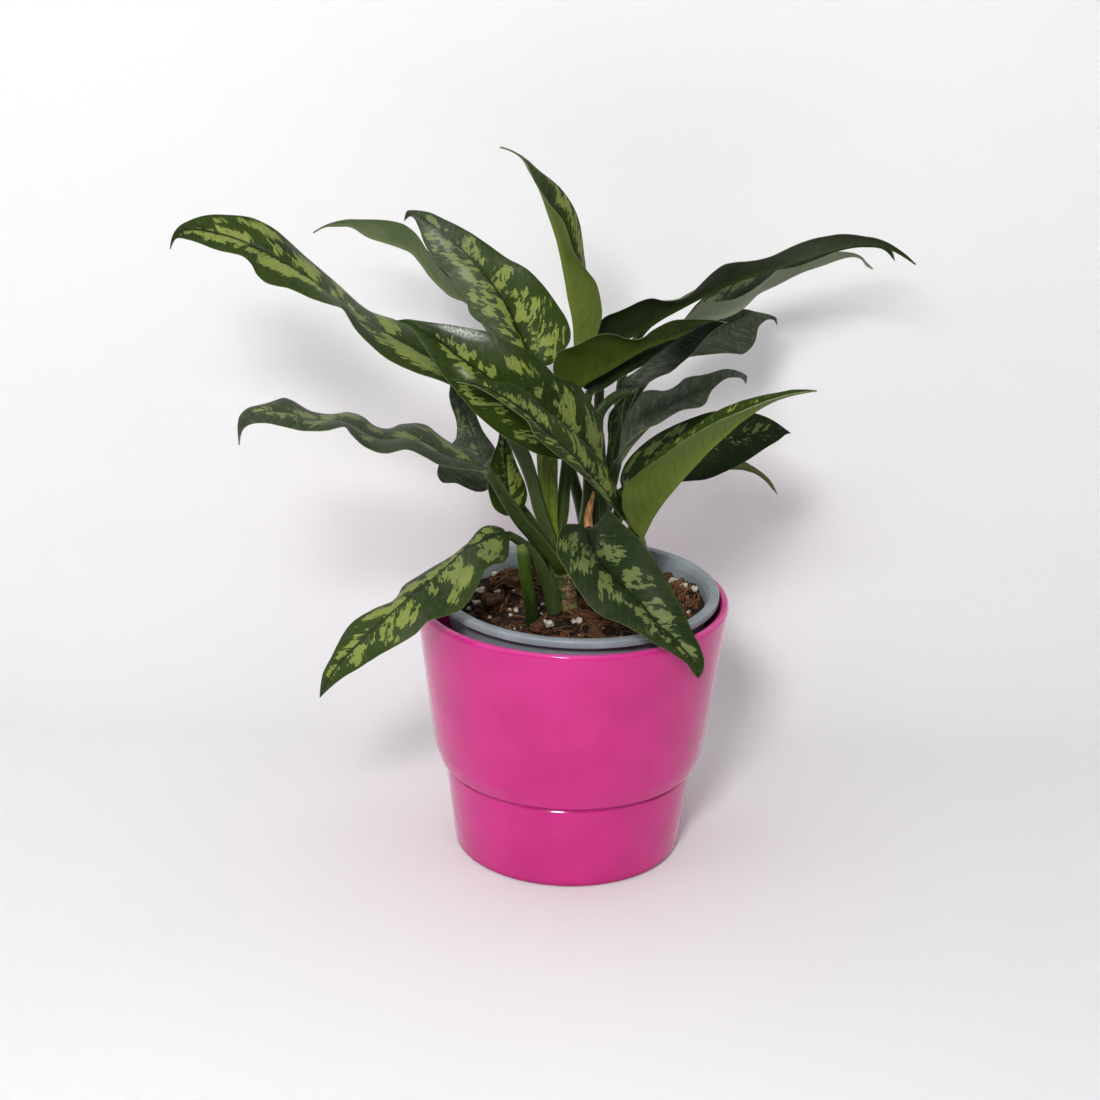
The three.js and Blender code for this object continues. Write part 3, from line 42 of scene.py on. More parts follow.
# ------------------------------------------------------------------ measured data, millimetres
# Leaves: petiole stations [x, y, z, diameter] and blade rows [left margin, midrib, right margin].
LEAVES = {
    "leaf_01": {
        "pet": [[-8.1, 9.8, 133.6, 5.0], [-9.6, 8.0, 142.2, 7.4], [-10.6, 8.0, 148.6, 7.2], [-13.3, 7.0, 156.4, 7.2], [-16.0, 6.0, 164.5, 7.6], [-18.5, 4.0, 174.4, 6.9], [-21.4, 2.0, 184.7, 7.5], [-24.7, 0.0, 193.5, 8.0], [-29.3, -2.0, 201.6, 6.6], [-34.8, -5.0, 208.6, 5.2], [-41.9, -9.0, 220.0, 4.2]],
        "blade": [
            [-42.0, -9.0, 220.0, -41.9, -9.0, 220.0, -42.0, -9.0, 220.0],
            [-46.2, -16.5, 224.8, -45.5, -10.7, 224.4, -44.2, -5.2, 224.4],
            [-50.6, -20.9, 228.5, -49.3, -12.1, 228.4, -47.0, -3.7, 228.9],
            [-55.1, -24.2, 231.7, -53.3, -13.1, 232.0, -50.7, -2.6, 232.9],
            [-59.7, -27.0, 234.4, -57.5, -14.0, 235.5, -54.9, -1.7, 236.6],
            [-64.3, -29.7, 236.8, -61.7, -15.0, 238.8, -59.0, -1.2, 240.4],
            [-69.0, -32.0, 239.0, -66.0, -16.1, 241.9, -63.2, -1.0, 244.2],
            [-73.6, -34.1, 241.4, -70.3, -17.1, 244.8, -67.7, -0.9, 247.5],
            [-78.2, -35.8, 243.7, -74.8, -17.9, 247.7, -72.5, -1.0, 250.4],
            [-82.6, -36.9, 246.2, -79.2, -18.5, 250.4, -77.5, -1.0, 252.9],
            [-86.5, -37.7, 249.3, -83.6, -18.9, 253.1, -82.7, -1.0, 255.0],
            [-90.1, -38.3, 253.0, -87.9, -19.3, 255.9, -88.1, -1.3, 256.6],
            [-93.5, -38.8, 256.8, -92.1, -19.8, 258.9, -93.2, -1.8, 258.5],
            [-96.6, -38.8, 260.7, -96.3, -20.0, 261.7, -97.7, -2.2, 261.6],
            [-99.2, -38.5, 265.1, -100.5, -20.0, 264.6, -101.9, -2.5, 265.4],
            [-102.0, -38.1, 269.0, -104.7, -20.0, 267.4, -105.9, -2.8, 269.3],
            [-106.7, -37.5, 270.3, -108.8, -19.9, 270.4, -110.0, -3.3, 273.1],
            [-111.5, -36.5, 271.4, -112.9, -19.5, 273.4, -114.1, -3.5, 276.8],
            [-116.3, -35.3, 272.7, -116.9, -19.1, 276.4, -118.1, -3.7, 280.6],
            [-121.0, -34.1, 274.5, -121.1, -18.7, 279.1, -122.0, -4.2, 284.4],
            [-125.7, -32.9, 276.0, -125.4, -18.4, 281.8, -125.9, -4.8, 288.3],
            [-130.8, -31.5, 276.4, -129.8, -18.1, 284.3, -129.9, -5.4, 292.0],
            [-135.6, -29.9, 277.4, -134.2, -17.5, 286.6, -134.1, -5.9, 295.5],
            [-139.5, -28.0, 280.4, -138.8, -16.8, 288.7, -138.7, -6.3, 298.2],
            [-142.0, -25.9, 284.4, -143.4, -16.0, 290.6, -143.8, -6.6, 300.4],
            [-145.7, -23.6, 287.3, -148.2, -15.0, 292.3, -149.0, -6.8, 301.3],
            [-150.7, -21.2, 288.1, -153.2, -13.9, 293.7, -154.5, -6.9, 301.5],
            [-156.1, -18.8, 288.4, -158.2, -12.7, 294.6, -160.0, -7.0, 301.5],
            [-161.3, -16.2, 289.2, -163.4, -11.5, 295.4, -165.5, -7.1, 300.7],
            [-166.3, -13.8, 290.4, -168.6, -10.4, 295.7, -170.8, -7.1, 298.9],
            [-171.6, -11.5, 291.3, -174.0, -9.4, 294.7, -175.7, -7.3, 296.2],
            [-176.5, -10.0, 291.3, -177.9, -9.0, 291.8, -178.6, -8.1, 291.9],
            [-179.7, -9.0, 286.5, -179.7, -9.0, 286.4, -179.7, -9.0, 286.5],
        ],
    },
    "leaf_02": {
        "pet": [[1.6, 45.3, 119.6, 4.2], [7.4, 46.0, 129.8, 7.0], [5.1, 46.0, 144.2, 6.4], [1.9, 46.0, 157.9, 6.2], [-1.8, 47.0, 170.2, 5.8], [-9.4, 49.0, 189.4, 5.2], [-22.2, 50.0, 212.6, 4.4], [-36.8, 58.5, 228.1, 4.0]],
        "blade": [
            [-36.9, 58.5, 228.1, -36.8, 58.5, 228.1, -36.8, 58.5, 228.1],
            [-38.0, 55.4, 232.6, -38.7, 59.1, 231.0, -37.2, 63.4, 230.8],
            [-39.5, 54.0, 236.4, -40.6, 59.6, 233.8, -37.7, 66.1, 233.8],
            [-41.1, 53.1, 240.0, -42.6, 60.1, 236.6, -38.5, 68.3, 236.7],
            [-42.9, 52.4, 243.4, -44.7, 60.6, 239.4, -39.7, 70.2, 239.3],
            [-44.9, 51.9, 246.6, -46.8, 61.1, 242.3, -42.2, 71.9, 241.8],
            [-47.2, 51.6, 249.7, -49.0, 61.6, 245.2, -45.1, 73.4, 244.1],
            [-49.7, 51.4, 252.5, -51.3, 62.1, 247.7, -47.8, 74.7, 246.3],
            [-52.4, 51.3, 254.9, -54.0, 62.6, 249.3, -50.7, 75.8, 248.4],
            [-55.4, 51.4, 257.0, -57.4, 63.1, 250.3, -53.5, 76.7, 250.5],
            [-58.4, 51.7, 259.1, -60.6, 63.6, 251.5, -56.2, 77.5, 252.8],
            [-61.0, 52.2, 261.5, -63.3, 64.2, 253.6, -58.8, 78.2, 255.2],
            [-63.5, 52.8, 264.1, -66.0, 64.8, 255.8, -61.4, 78.7, 257.7],
            [-65.9, 53.5, 266.8, -68.5, 65.4, 258.1, -63.8, 79.2, 260.4],
            [-68.0, 54.1, 269.6, -70.8, 65.8, 260.6, -66.3, 79.5, 263.0],
            [-70.1, 54.8, 272.5, -72.9, 66.2, 263.4, -69.1, 79.6, 265.3],
            [-72.3, 55.5, 275.3, -75.1, 66.6, 266.0, -72.1, 79.6, 267.4],
            [-74.4, 56.4, 278.2, -77.4, 67.1, 268.6, -75.2, 79.6, 269.2],
            [-76.7, 57.3, 280.9, -80.1, 67.6, 270.6, -78.5, 79.5, 270.8],
            [-79.4, 58.2, 283.1, -83.2, 67.9, 271.8, -81.9, 79.2, 272.1],
            [-82.6, 59.1, 284.9, -86.6, 68.3, 272.8, -85.3, 78.9, 273.4],
            [-86.0, 60.2, 285.6, -90.0, 68.7, 273.7, -88.6, 78.6, 274.6],
            [-89.8, 61.5, 285.9, -93.4, 69.3, 274.5, -92.0, 78.4, 275.8],
            [-93.6, 62.9, 285.9, -96.8, 70.0, 275.2, -95.5, 78.2, 277.0],
            [-97.3, 64.3, 285.7, -100.1, 70.6, 276.2, -98.9, 77.9, 278.2],
            [-101.1, 65.8, 285.4, -103.3, 71.2, 277.9, -102.3, 77.6, 279.5],
            [-105.0, 67.2, 285.1, -106.3, 71.8, 279.7, -105.8, 77.3, 280.4],
            [-108.7, 68.6, 284.8, -109.5, 72.4, 280.6, -109.3, 76.8, 280.6],
            [-112.5, 69.9, 283.9, -113.0, 72.9, 280.5, -112.9, 76.3, 280.4],
            [-116.3, 71.1, 282.6, -116.6, 73.2, 280.3, -116.4, 75.8, 280.0],
            [-119.8, 72.3, 281.0, -120.0, 73.7, 280.0, -119.9, 75.2, 279.4],
            [-123.2, 73.5, 278.9, -123.3, 74.1, 278.6, -123.2, 74.8, 278.1],
            [-126.5, 74.5, 276.5, -126.5, 74.5, 276.5, -126.5, 74.5, 276.5],
        ],
    },
    "leaf_03": {
        "pet": [[-6.3, 13.6, 133.6, 5.0], [-9.7, 13.0, 146.8, 7.0], [-11.3, 13.0, 156.7, 7.6], [-12.0, 13.0, 166.6, 8.6], [-12.6, 14.0, 176.0, 9.2], [-13.1, 14.0, 186.8, 9.8], [-14.1, 16.0, 202.1, 8.0], [-15.6, 18.0, 217.3, 5.5], [-17.4, 19.0, 227.4, 4.4]],
        "blade": [
            [-17.4, 19.0, 227.4, -17.4, 19.0, 227.4, -17.3, 19.0, 227.4],
            [-19.8, 15.7, 230.2, -19.2, 19.7, 229.9, -13.7, 19.4, 229.1],
            [-22.3, 14.6, 232.3, -20.9, 20.6, 232.3, -10.7, 20.2, 231.3],
            [-24.8, 14.2, 234.3, -22.5, 21.8, 234.7, -8.0, 21.2, 234.1],
            [-27.2, 14.1, 236.2, -24.0, 23.0, 237.1, -5.8, 22.4, 237.2],
            [-29.6, 14.7, 237.9, -25.5, 24.7, 239.5, -3.9, 23.9, 240.5],
            [-32.1, 15.7, 239.5, -26.9, 26.6, 241.9, -3.7, 25.7, 243.9],
            [-34.6, 16.8, 241.1, -28.2, 28.4, 244.3, -4.8, 27.5, 247.4],
            [-37.0, 17.9, 242.6, -29.5, 30.2, 246.7, -6.5, 29.2, 250.5],
            [-39.4, 19.2, 244.2, -30.8, 31.9, 249.2, -8.8, 30.9, 253.5],
            [-41.7, 20.7, 246.0, -32.3, 33.6, 251.6, -11.1, 32.6, 256.4],
            [-44.1, 22.3, 247.5, -33.9, 35.3, 253.9, -13.4, 34.3, 259.2],
            [-46.7, 24.1, 248.7, -35.6, 37.1, 256.1, -15.8, 36.1, 261.9],
            [-49.1, 25.9, 250.4, -37.4, 38.8, 258.3, -18.5, 37.8, 264.5],
            [-50.7, 27.8, 252.5, -39.2, 40.5, 260.5, -21.3, 39.5, 267.0],
            [-51.3, 29.7, 255.1, -41.2, 42.1, 262.6, -24.4, 41.2, 269.2],
            [-52.4, 31.7, 257.5, -43.2, 43.8, 264.7, -27.8, 42.8, 270.8],
            [-54.0, 33.7, 259.8, -45.3, 45.3, 266.7, -31.5, 44.4, 272.1],
            [-55.8, 35.8, 261.8, -47.5, 46.9, 268.7, -34.9, 46.0, 273.7],
            [-57.9, 37.9, 263.8, -49.6, 48.4, 270.7, -38.3, 47.6, 275.7],
            [-60.0, 40.0, 265.6, -51.9, 49.9, 272.6, -41.5, 49.1, 277.7],
            [-62.3, 42.1, 267.3, -54.2, 51.3, 274.5, -44.9, 50.6, 279.6],
            [-64.6, 44.2, 269.0, -56.5, 52.7, 276.3, -48.2, 52.0, 281.5],
            [-66.8, 46.3, 270.8, -59.0, 53.9, 278.1, -51.7, 53.4, 283.3],
            [-68.8, 48.4, 272.8, -61.4, 55.2, 279.8, -55.2, 54.7, 284.9],
            [-70.7, 50.6, 274.9, -64.0, 56.5, 281.5, -58.9, 56.0, 286.4],
            [-72.3, 52.9, 277.1, -66.5, 57.9, 283.1, -62.6, 57.5, 287.7],
            [-73.6, 55.3, 279.4, -69.1, 59.5, 284.6, -66.3, 59.1, 289.0],
            [-74.7, 57.6, 282.0, -71.8, 60.8, 286.1, -70.1, 60.6, 290.3],
            [-76.0, 59.7, 284.4, -74.6, 62.0, 287.7, -74.1, 61.9, 290.8],
            [-77.7, 61.4, 287.2, -77.5, 62.9, 288.9, -78.6, 62.8, 290.9],
            [-79.9, 62.3, 288.0, -80.1, 63.0, 288.3, -81.4, 62.9, 290.2],
            [-82.5, 63.0, 285.6, -82.6, 63.0, 285.6, -82.6, 63.0, 285.7],
        ],
    },
    "leaf_04": {
        "pet": [[-2.1, 13.0, 133.6, 5.0], [-1.8, 13.3, 138.0, 5.6], [-6.2, 17.0, 149.4, 6.4], [-5.3, 19.0, 159.7, 6.8], [-4.8, 21.0, 168.9, 6.5], [-3.9, 23.0, 180.6, 6.0], [-1.6, 29.0, 203.2, 4.8], [1.5, 32.0, 226.6, 4.2]],
        "blade": [
            [1.5, 32.0, 226.6, 1.5, 32.0, 226.6, 1.5, 32.0, 226.6],
            [3.4, 29.1, 230.7, 0.9, 32.5, 230.0, 2.5, 37.1, 228.9],
            [5.1, 27.7, 234.4, 0.3, 32.8, 233.5, 3.3, 39.8, 231.9],
            [6.8, 26.6, 238.2, -0.1, 33.0, 237.0, 4.1, 41.8, 235.2],
            [8.3, 25.5, 242.0, -0.4, 33.0, 240.6, 4.6, 43.3, 238.6],
            [9.3, 24.5, 245.8, -0.7, 33.0, 244.2, 5.0, 44.5, 242.1],
            [10.1, 23.8, 249.8, -1.2, 33.0, 247.7, 5.3, 45.6, 245.7],
            [10.3, 23.2, 253.7, -2.0, 33.0, 251.2, 5.1, 46.4, 249.3],
            [9.8, 22.7, 257.5, -2.9, 33.0, 254.7, 4.7, 47.1, 253.0],
            [9.0, 22.3, 261.3, -3.8, 33.0, 258.1, 4.3, 47.6, 256.7],
            [8.0, 21.9, 265.1, -4.5, 32.8, 261.6, 3.8, 47.7, 260.4],
            [6.7, 21.5, 268.6, -5.2, 32.5, 265.2, 3.3, 47.5, 264.3],
            [4.6, 21.1, 271.7, -6.0, 32.1, 268.7, 2.7, 47.1, 268.1],
            [2.3, 20.9, 274.7, -6.8, 31.7, 272.3, 2.2, 46.6, 272.0],
            [0.0, 20.6, 277.7, -7.6, 31.3, 275.8, 1.6, 45.9, 275.9],
            [-2.1, 20.4, 280.8, -8.5, 30.9, 279.3, 1.1, 45.2, 279.8],
            [-3.6, 20.1, 284.2, -9.4, 30.3, 282.7, 0.5, 44.2, 283.7],
            [-4.8, 19.9, 287.7, -10.4, 29.7, 286.2, -0.2, 43.1, 287.7],
            [-6.1, 19.5, 291.2, -11.6, 28.9, 289.6, -1.1, 41.7, 291.6],
            [-7.6, 19.1, 294.7, -12.8, 28.0, 293.1, -2.3, 40.2, 295.4],
            [-9.5, 18.8, 297.8, -14.1, 27.2, 296.5, -3.9, 38.5, 299.2],
            [-11.9, 18.6, 300.5, -15.3, 26.4, 299.8, -5.7, 36.9, 302.7],
            [-14.4, 18.5, 303.3, -16.5, 25.6, 303.2, -7.8, 35.3, 306.0],
            [-16.5, 18.3, 306.2, -17.8, 24.8, 306.5, -10.2, 33.6, 309.1],
            [-18.5, 18.1, 309.3, -19.2, 23.8, 309.8, -13.0, 31.7, 311.8],
            [-20.3, 17.7, 312.5, -20.8, 22.7, 313.0, -15.9, 29.5, 314.4],
            [-21.9, 17.1, 315.8, -22.5, 21.3, 316.2, -18.8, 27.1, 317.0],
            [-23.3, 16.3, 319.4, -24.2, 19.8, 319.4, -21.5, 24.5, 319.9],
            [-24.8, 15.2, 322.7, -25.7, 18.0, 322.7, -24.1, 21.7, 322.9],
            [-27.2, 14.2, 325.4, -27.8, 16.2, 325.5, -26.9, 18.9, 325.3],
            [-30.2, 13.3, 327.5, -30.6, 14.6, 327.7, -30.0, 16.3, 327.3],
            [-33.4, 12.3, 329.2, -33.5, 12.8, 329.3, -33.3, 13.6, 329.1],
            [-36.7, 11.0, 330.5, -36.7, 11.0, 330.5, -36.7, 11.0, 330.5],
        ],
    },
    "leaf_05": {
        "pet": [[22.2, 9.3, 121.6, 4.2], [21.9, 9.6, 126.0, 4.3], [27.6, 10.0, 135.8, 8.0], [28.4, 6.0, 150.3, 7.0], [26.4, 1.0, 163.4, 5.0], [21.4, -5.0, 173.6, 4.4]],
        "blade": [
            [21.3, -5.0, 173.6, 21.4, -5.0, 173.6, 21.3, -5.0, 173.7],
            [16.9, -12.2, 177.3, 18.2, -8.2, 177.7, 19.4, -4.2, 177.8],
            [13.1, -17.4, 181.0, 15.1, -11.4, 181.9, 17.3, -5.4, 182.6],
            [9.9, -22.4, 185.5, 12.1, -14.8, 186.1, 15.2, -7.2, 187.6],
            [6.9, -27.1, 190.5, 9.2, -18.2, 190.5, 13.7, -9.3, 192.8],
            [3.7, -31.7, 194.9, 6.4, -21.7, 194.8, 12.8, -11.7, 198.4],
            [0.3, -36.0, 199.1, 3.6, -25.1, 199.1, 12.2, -14.2, 203.9],
            [-3.2, -40.0, 202.7, 0.8, -28.4, 203.3, 11.5, -16.8, 209.4],
            [-6.9, -43.9, 205.2, -1.9, -31.7, 207.5, 10.2, -19.5, 214.9],
            [-11.0, -47.4, 207.0, -4.7, -34.8, 211.6, 8.6, -22.2, 220.0],
            [-14.9, -50.6, 208.9, -7.5, -37.8, 215.5, 6.2, -24.9, 224.9],
            [-18.7, -53.5, 211.0, -10.4, -40.5, 219.2, 3.5, -27.5, 229.4],
            [-22.3, -56.1, 213.6, -13.3, -43.1, 222.8, 0.5, -30.2, 234.1],
            [-25.7, -58.5, 216.4, -16.3, -45.6, 226.3, -2.9, -32.8, 237.6],
            [-29.2, -60.6, 219.0, -19.4, -47.9, 229.5, -7.1, -35.2, 239.2],
            [-32.5, -62.4, 221.7, -22.5, -50.0, 232.6, -10.9, -37.6, 241.7],
            [-35.7, -63.9, 224.5, -25.7, -51.8, 235.4, -14.1, -39.8, 245.6],
            [-38.7, -65.2, 227.4, -28.9, -53.6, 238.0, -17.3, -42.0, 249.4],
            [-41.7, -66.4, 230.4, -32.2, -55.3, 240.7, -20.6, -44.3, 252.9],
            [-44.5, -67.7, 233.5, -35.5, -57.2, 243.2, -24.4, -46.7, 255.6],
            [-47.0, -68.5, 236.8, -38.7, -58.6, 245.8, -28.3, -48.7, 257.9],
            [-49.5, -68.7, 239.9, -41.7, -59.5, 248.4, -32.2, -50.4, 260.1],
            [-52.1, -68.9, 242.9, -44.8, -60.5, 250.9, -35.9, -52.0, 262.7],
            [-54.6, -69.1, 246.0, -48.0, -61.5, 253.3, -39.8, -53.8, 264.5],
            [-57.1, -68.8, 249.0, -51.1, -62.0, 255.6, -44.0, -55.2, 265.6],
            [-59.3, -67.9, 252.0, -54.1, -62.0, 258.1, -48.2, -56.1, 266.5],
            [-61.4, -67.0, 255.1, -57.0, -62.0, 260.6, -52.3, -57.0, 267.4],
            [-63.5, -66.1, 258.2, -60.0, -62.0, 262.9, -56.5, -57.8, 268.2],
            [-65.8, -64.9, 261.1, -63.2, -61.7, 265.0, -60.6, -58.4, 268.8],
            [-68.1, -63.5, 264.0, -66.5, -61.1, 266.8, -64.8, -58.8, 269.4],
            [-70.4, -61.6, 266.7, -70.0, -60.2, 268.3, -69.1, -58.7, 269.8],
            [-73.8, -59.6, 268.2, -73.6, -58.9, 269.1, -73.3, -58.2, 270.0],
            [-77.5, -58.0, 269.2, -77.5, -58.0, 269.2, -77.5, -58.0, 269.2],
        ],
    },
    "leaf_06": {
        "pet": [[24.4, 3.5, 121.6, 4.2], [24.3, 3.0, 126.0, 4.3], [31.5, 2.0, 138.9, 6.5], [30.9, -2.0, 150.8, 5.5], [26.1, -10.0, 163.9, 4.0]],
        "blade": [
            [26.1, -10.0, 163.9, 26.1, -10.0, 163.9, 26.1, -10.0, 163.9],
            [23.2, -15.9, 168.0, 23.7, -13.4, 167.7, 25.0, -11.3, 168.0],
            [20.4, -20.5, 171.8, 21.3, -16.8, 171.5, 23.6, -13.6, 172.2],
            [17.8, -24.9, 175.6, 19.0, -20.2, 175.2, 22.0, -16.1, 176.4],
            [15.4, -29.1, 179.5, 16.8, -23.6, 179.0, 19.9, -18.8, 180.4],
            [13.2, -33.1, 183.4, 14.6, -26.9, 182.8, 18.0, -21.5, 184.4],
            [10.9, -36.9, 187.2, 12.4, -30.2, 186.5, 16.6, -24.3, 188.8],
            [8.6, -40.6, 190.9, 10.2, -33.4, 190.2, 15.2, -27.2, 193.1],
            [6.2, -44.1, 194.3, 8.0, -36.6, 193.8, 13.6, -30.0, 197.2],
            [3.8, -47.5, 197.7, 5.8, -39.7, 197.3, 11.4, -32.9, 201.0],
            [1.3, -50.7, 200.9, 3.6, -42.8, 200.8, 9.0, -35.9, 204.5],
            [-1.0, -53.8, 204.1, 1.4, -45.8, 204.2, 6.5, -38.8, 208.0],
            [-3.4, -56.7, 207.3, -0.9, -48.7, 207.5, 4.1, -41.8, 211.4],
            [-5.8, -59.6, 210.3, -3.2, -51.7, 210.8, 1.5, -44.7, 214.7],
            [-8.3, -62.3, 213.1, -5.5, -54.5, 213.9, -1.1, -47.7, 217.9],
            [-10.8, -64.7, 215.6, -7.8, -57.0, 216.9, -3.6, -50.4, 221.0],
            [-13.3, -66.8, 218.2, -10.1, -59.4, 219.9, -6.2, -52.9, 224.0],
            [-15.7, -68.7, 220.8, -12.4, -61.6, 222.7, -8.8, -55.3, 226.8],
            [-18.0, -70.5, 223.5, -14.7, -63.6, 225.4, -11.4, -57.7, 229.6],
            [-19.6, -72.1, 226.6, -17.1, -65.6, 228.0, -14.1, -59.9, 232.2],
            [-20.9, -73.6, 230.0, -19.4, -67.5, 230.6, -16.5, -62.2, 235.2],
            [-22.6, -75.0, 232.8, -21.8, -69.4, 233.2, -18.6, -64.4, 238.3],
            [-25.0, -76.2, 235.1, -24.2, -71.1, 235.6, -21.0, -66.5, 241.2],
            [-27.4, -77.2, 237.3, -26.6, -72.5, 237.9, -23.6, -68.4, 243.7],
            [-29.8, -78.1, 239.3, -29.1, -73.9, 240.0, -26.4, -70.2, 245.9],
            [-32.3, -78.7, 241.3, -31.6, -75.1, 242.1, -29.3, -71.9, 247.4],
            [-34.8, -79.2, 243.0, -34.2, -76.1, 243.8, -32.5, -73.4, 248.1],
            [-37.3, -79.6, 244.7, -36.9, -77.1, 245.5, -35.6, -74.8, 248.8],
            [-39.9, -79.8, 246.2, -39.6, -77.8, 246.9, -38.8, -76.1, 249.6],
            [-42.6, -79.4, 247.5, -42.5, -78.0, 247.8, -41.9, -76.7, 249.8],
            [-45.4, -78.9, 248.2, -45.4, -78.0, 248.4, -45.1, -77.2, 249.8],
            [-48.3, -78.4, 248.8, -48.4, -78.0, 248.8, -48.2, -77.6, 249.7],
            [-51.3, -78.0, 249.0, -51.3, -78.0, 249.0, -51.3, -78.0, 249.1],
        ],
    },
    "leaf_07": {
        "pet": [[-5.1, 6.8, 133.6, 5.0], [-7.6, 2.0, 140.0, 7.4], [-13.3, 0.0, 148.1, 8.4], [-19.0, -2.0, 155.6, 8.6], [-24.6, -5.0, 162.9, 8.0], [-29.2, -8.0, 170.6, 7.0], [-33.8, -11.0, 179.2, 6.0], [-37.4, -14.0, 185.9, 5.0], [-40.1, -15.0, 189.5, 4.2]],
        "blade": [
            [-40.1, -15.0, 189.5, -40.1, -15.0, 189.5, -40.1, -15.0, 189.5],
            [-43.7, -21.3, 191.7, -43.6, -16.1, 191.8, -42.2, -10.3, 192.0],
            [-47.4, -25.1, 193.2, -47.1, -17.3, 193.8, -45.0, -8.5, 194.8],
            [-51.1, -28.4, 194.5, -50.8, -18.4, 195.6, -48.5, -7.3, 197.2],
            [-54.8, -31.4, 195.9, -54.6, -19.7, 197.0, -52.5, -6.7, 198.5],
            [-58.4, -33.9, 197.5, -58.3, -20.9, 198.4, -56.7, -6.3, 199.8],
            [-61.9, -36.0, 199.3, -61.7, -21.7, 200.6, -60.4, -5.8, 201.8],
            [-65.1, -37.7, 201.8, -64.9, -22.4, 203.1, -64.0, -5.4, 204.3],
            [-68.3, -39.2, 204.1, -68.3, -23.2, 205.0, -67.6, -5.4, 207.0],
            [-71.7, -40.6, 206.5, -72.0, -24.0, 206.5, -71.5, -5.6, 208.0],
            [-75.1, -41.8, 207.7, -75.8, -24.9, 207.3, -75.8, -6.1, 208.0],
            [-78.7, -42.8, 207.2, -79.7, -25.8, 207.2, -80.0, -6.8, 207.7],
            [-82.4, -43.6, 206.5, -83.5, -26.7, 206.9, -84.1, -7.7, 206.2],
            [-86.0, -44.4, 206.8, -87.2, -27.6, 207.4, -88.2, -8.8, 206.6],
            [-89.6, -45.1, 208.2, -90.8, -28.5, 209.1, -92.0, -10.0, 208.5],
            [-92.8, -45.6, 209.9, -94.2, -29.4, 211.2, -95.1, -11.3, 211.9],
            [-95.7, -46.0, 212.5, -97.4, -30.3, 213.7, -98.8, -12.7, 214.2],
            [-98.3, -46.4, 215.5, -100.7, -31.3, 215.4, -102.8, -14.3, 215.5],
            [-100.6, -46.9, 218.6, -104.4, -32.4, 216.3, -106.9, -16.2, 215.5],
            [-103.9, -47.4, 218.3, -108.2, -33.6, 217.1, -110.9, -18.3, 215.7],
            [-107.7, -47.8, 217.3, -111.9, -34.9, 217.8, -114.9, -20.5, 216.8],
            [-111.4, -48.2, 217.1, -115.6, -36.2, 218.5, -118.6, -22.8, 218.5],
            [-115.1, -48.6, 217.2, -119.1, -37.6, 219.5, -122.0, -25.3, 221.3],
            [-118.7, -48.9, 217.3, -122.6, -39.0, 221.4, -125.4, -27.8, 224.2],
            [-122.3, -49.3, 218.1, -126.0, -40.4, 222.7, -128.9, -30.5, 226.2],
            [-125.9, -49.8, 219.1, -129.6, -42.1, 223.6, -132.5, -33.4, 225.8],
            [-129.5, -50.2, 220.0, -133.2, -43.7, 224.2, -136.2, -36.3, 225.2],
            [-133.1, -50.5, 220.8, -136.9, -45.2, 224.2, -140.2, -39.1, 224.8],
            [-136.8, -50.8, 220.9, -140.4, -46.6, 223.2, -143.5, -41.8, 224.1],
            [-140.5, -51.0, 220.3, -143.3, -47.9, 221.4, -146.0, -44.5, 221.7],
            [-143.5, -51.0, 218.4, -145.1, -49.0, 218.2, -146.7, -46.9, 218.3],
            [-145.2, -50.5, 214.7, -145.8, -49.7, 214.7, -146.5, -48.7, 214.7],
            [-146.1, -50.0, 210.6, -146.1, -50.0, 210.6, -146.1, -50.0, 210.6],
        ],
    },
    "leaf_08": {
        "pet": [[-10.6, 39.6, 119.6, 4.2], [-11.4, 33.0, 131.2, 6.0], [-18.4, 34.0, 144.9, 5.5], [-28.1, 35.0, 157.5, 4.8], [-37.3, 36.0, 166.0, 4.0]],
        "blade": [
            [-37.3, 36.0, 166.0, -37.3, 36.0, 166.0, -37.3, 36.0, 166.0],
            [-40.0, 34.3, 164.1, -38.8, 37.2, 167.7, -37.4, 38.7, 167.8],
            [-43.2, 34.1, 162.8, -40.2, 38.4, 169.4, -37.5, 40.6, 169.7],
            [-46.6, 34.2, 162.6, -41.5, 39.7, 171.1, -37.6, 42.4, 171.8],
            [-50.0, 34.6, 163.6, -42.6, 40.9, 173.0, -37.7, 44.1, 173.9],
            [-53.2, 35.2, 164.9, -43.6, 42.2, 174.9, -37.9, 45.7, 176.1],
            [-56.4, 36.0, 166.1, -44.6, 43.5, 176.8, -38.1, 47.2, 178.2],
            [-60.1, 37.0, 165.7, -45.5, 44.8, 178.8, -38.6, 48.7, 180.1],
            [-63.2, 38.1, 165.7, -46.5, 46.1, 180.7, -40.1, 50.1, 181.8],
            [-65.4, 39.5, 168.7, -47.4, 47.5, 182.6, -41.8, 51.5, 183.5],
            [-65.2, 41.0, 171.8, -48.3, 48.9, 184.5, -43.4, 52.8, 185.2],
            [-64.1, 42.6, 174.8, -49.3, 50.3, 186.5, -44.8, 54.1, 186.9],
            [-62.5, 44.2, 177.6, -50.2, 51.6, 188.4, -45.9, 55.3, 188.9],
            [-60.4, 45.8, 180.0, -51.2, 52.9, 190.4, -46.9, 56.4, 191.0],
            [-57.9, 47.5, 182.1, -52.1, 54.1, 192.4, -47.8, 57.4, 193.2],
            [-56.9, 49.2, 184.9, -53.1, 55.3, 194.4, -48.9, 58.3, 195.3],
            [-56.7, 50.9, 188.1, -54.1, 56.4, 196.3, -50.1, 59.1, 197.3],
            [-57.1, 52.7, 191.2, -55.1, 57.5, 198.3, -51.4, 59.9, 199.4],
            [-58.1, 54.5, 194.1, -56.1, 58.7, 200.3, -52.7, 60.7, 201.4],
            [-59.5, 56.3, 197.0, -57.2, 59.7, 202.3, -54.2, 61.5, 203.3],
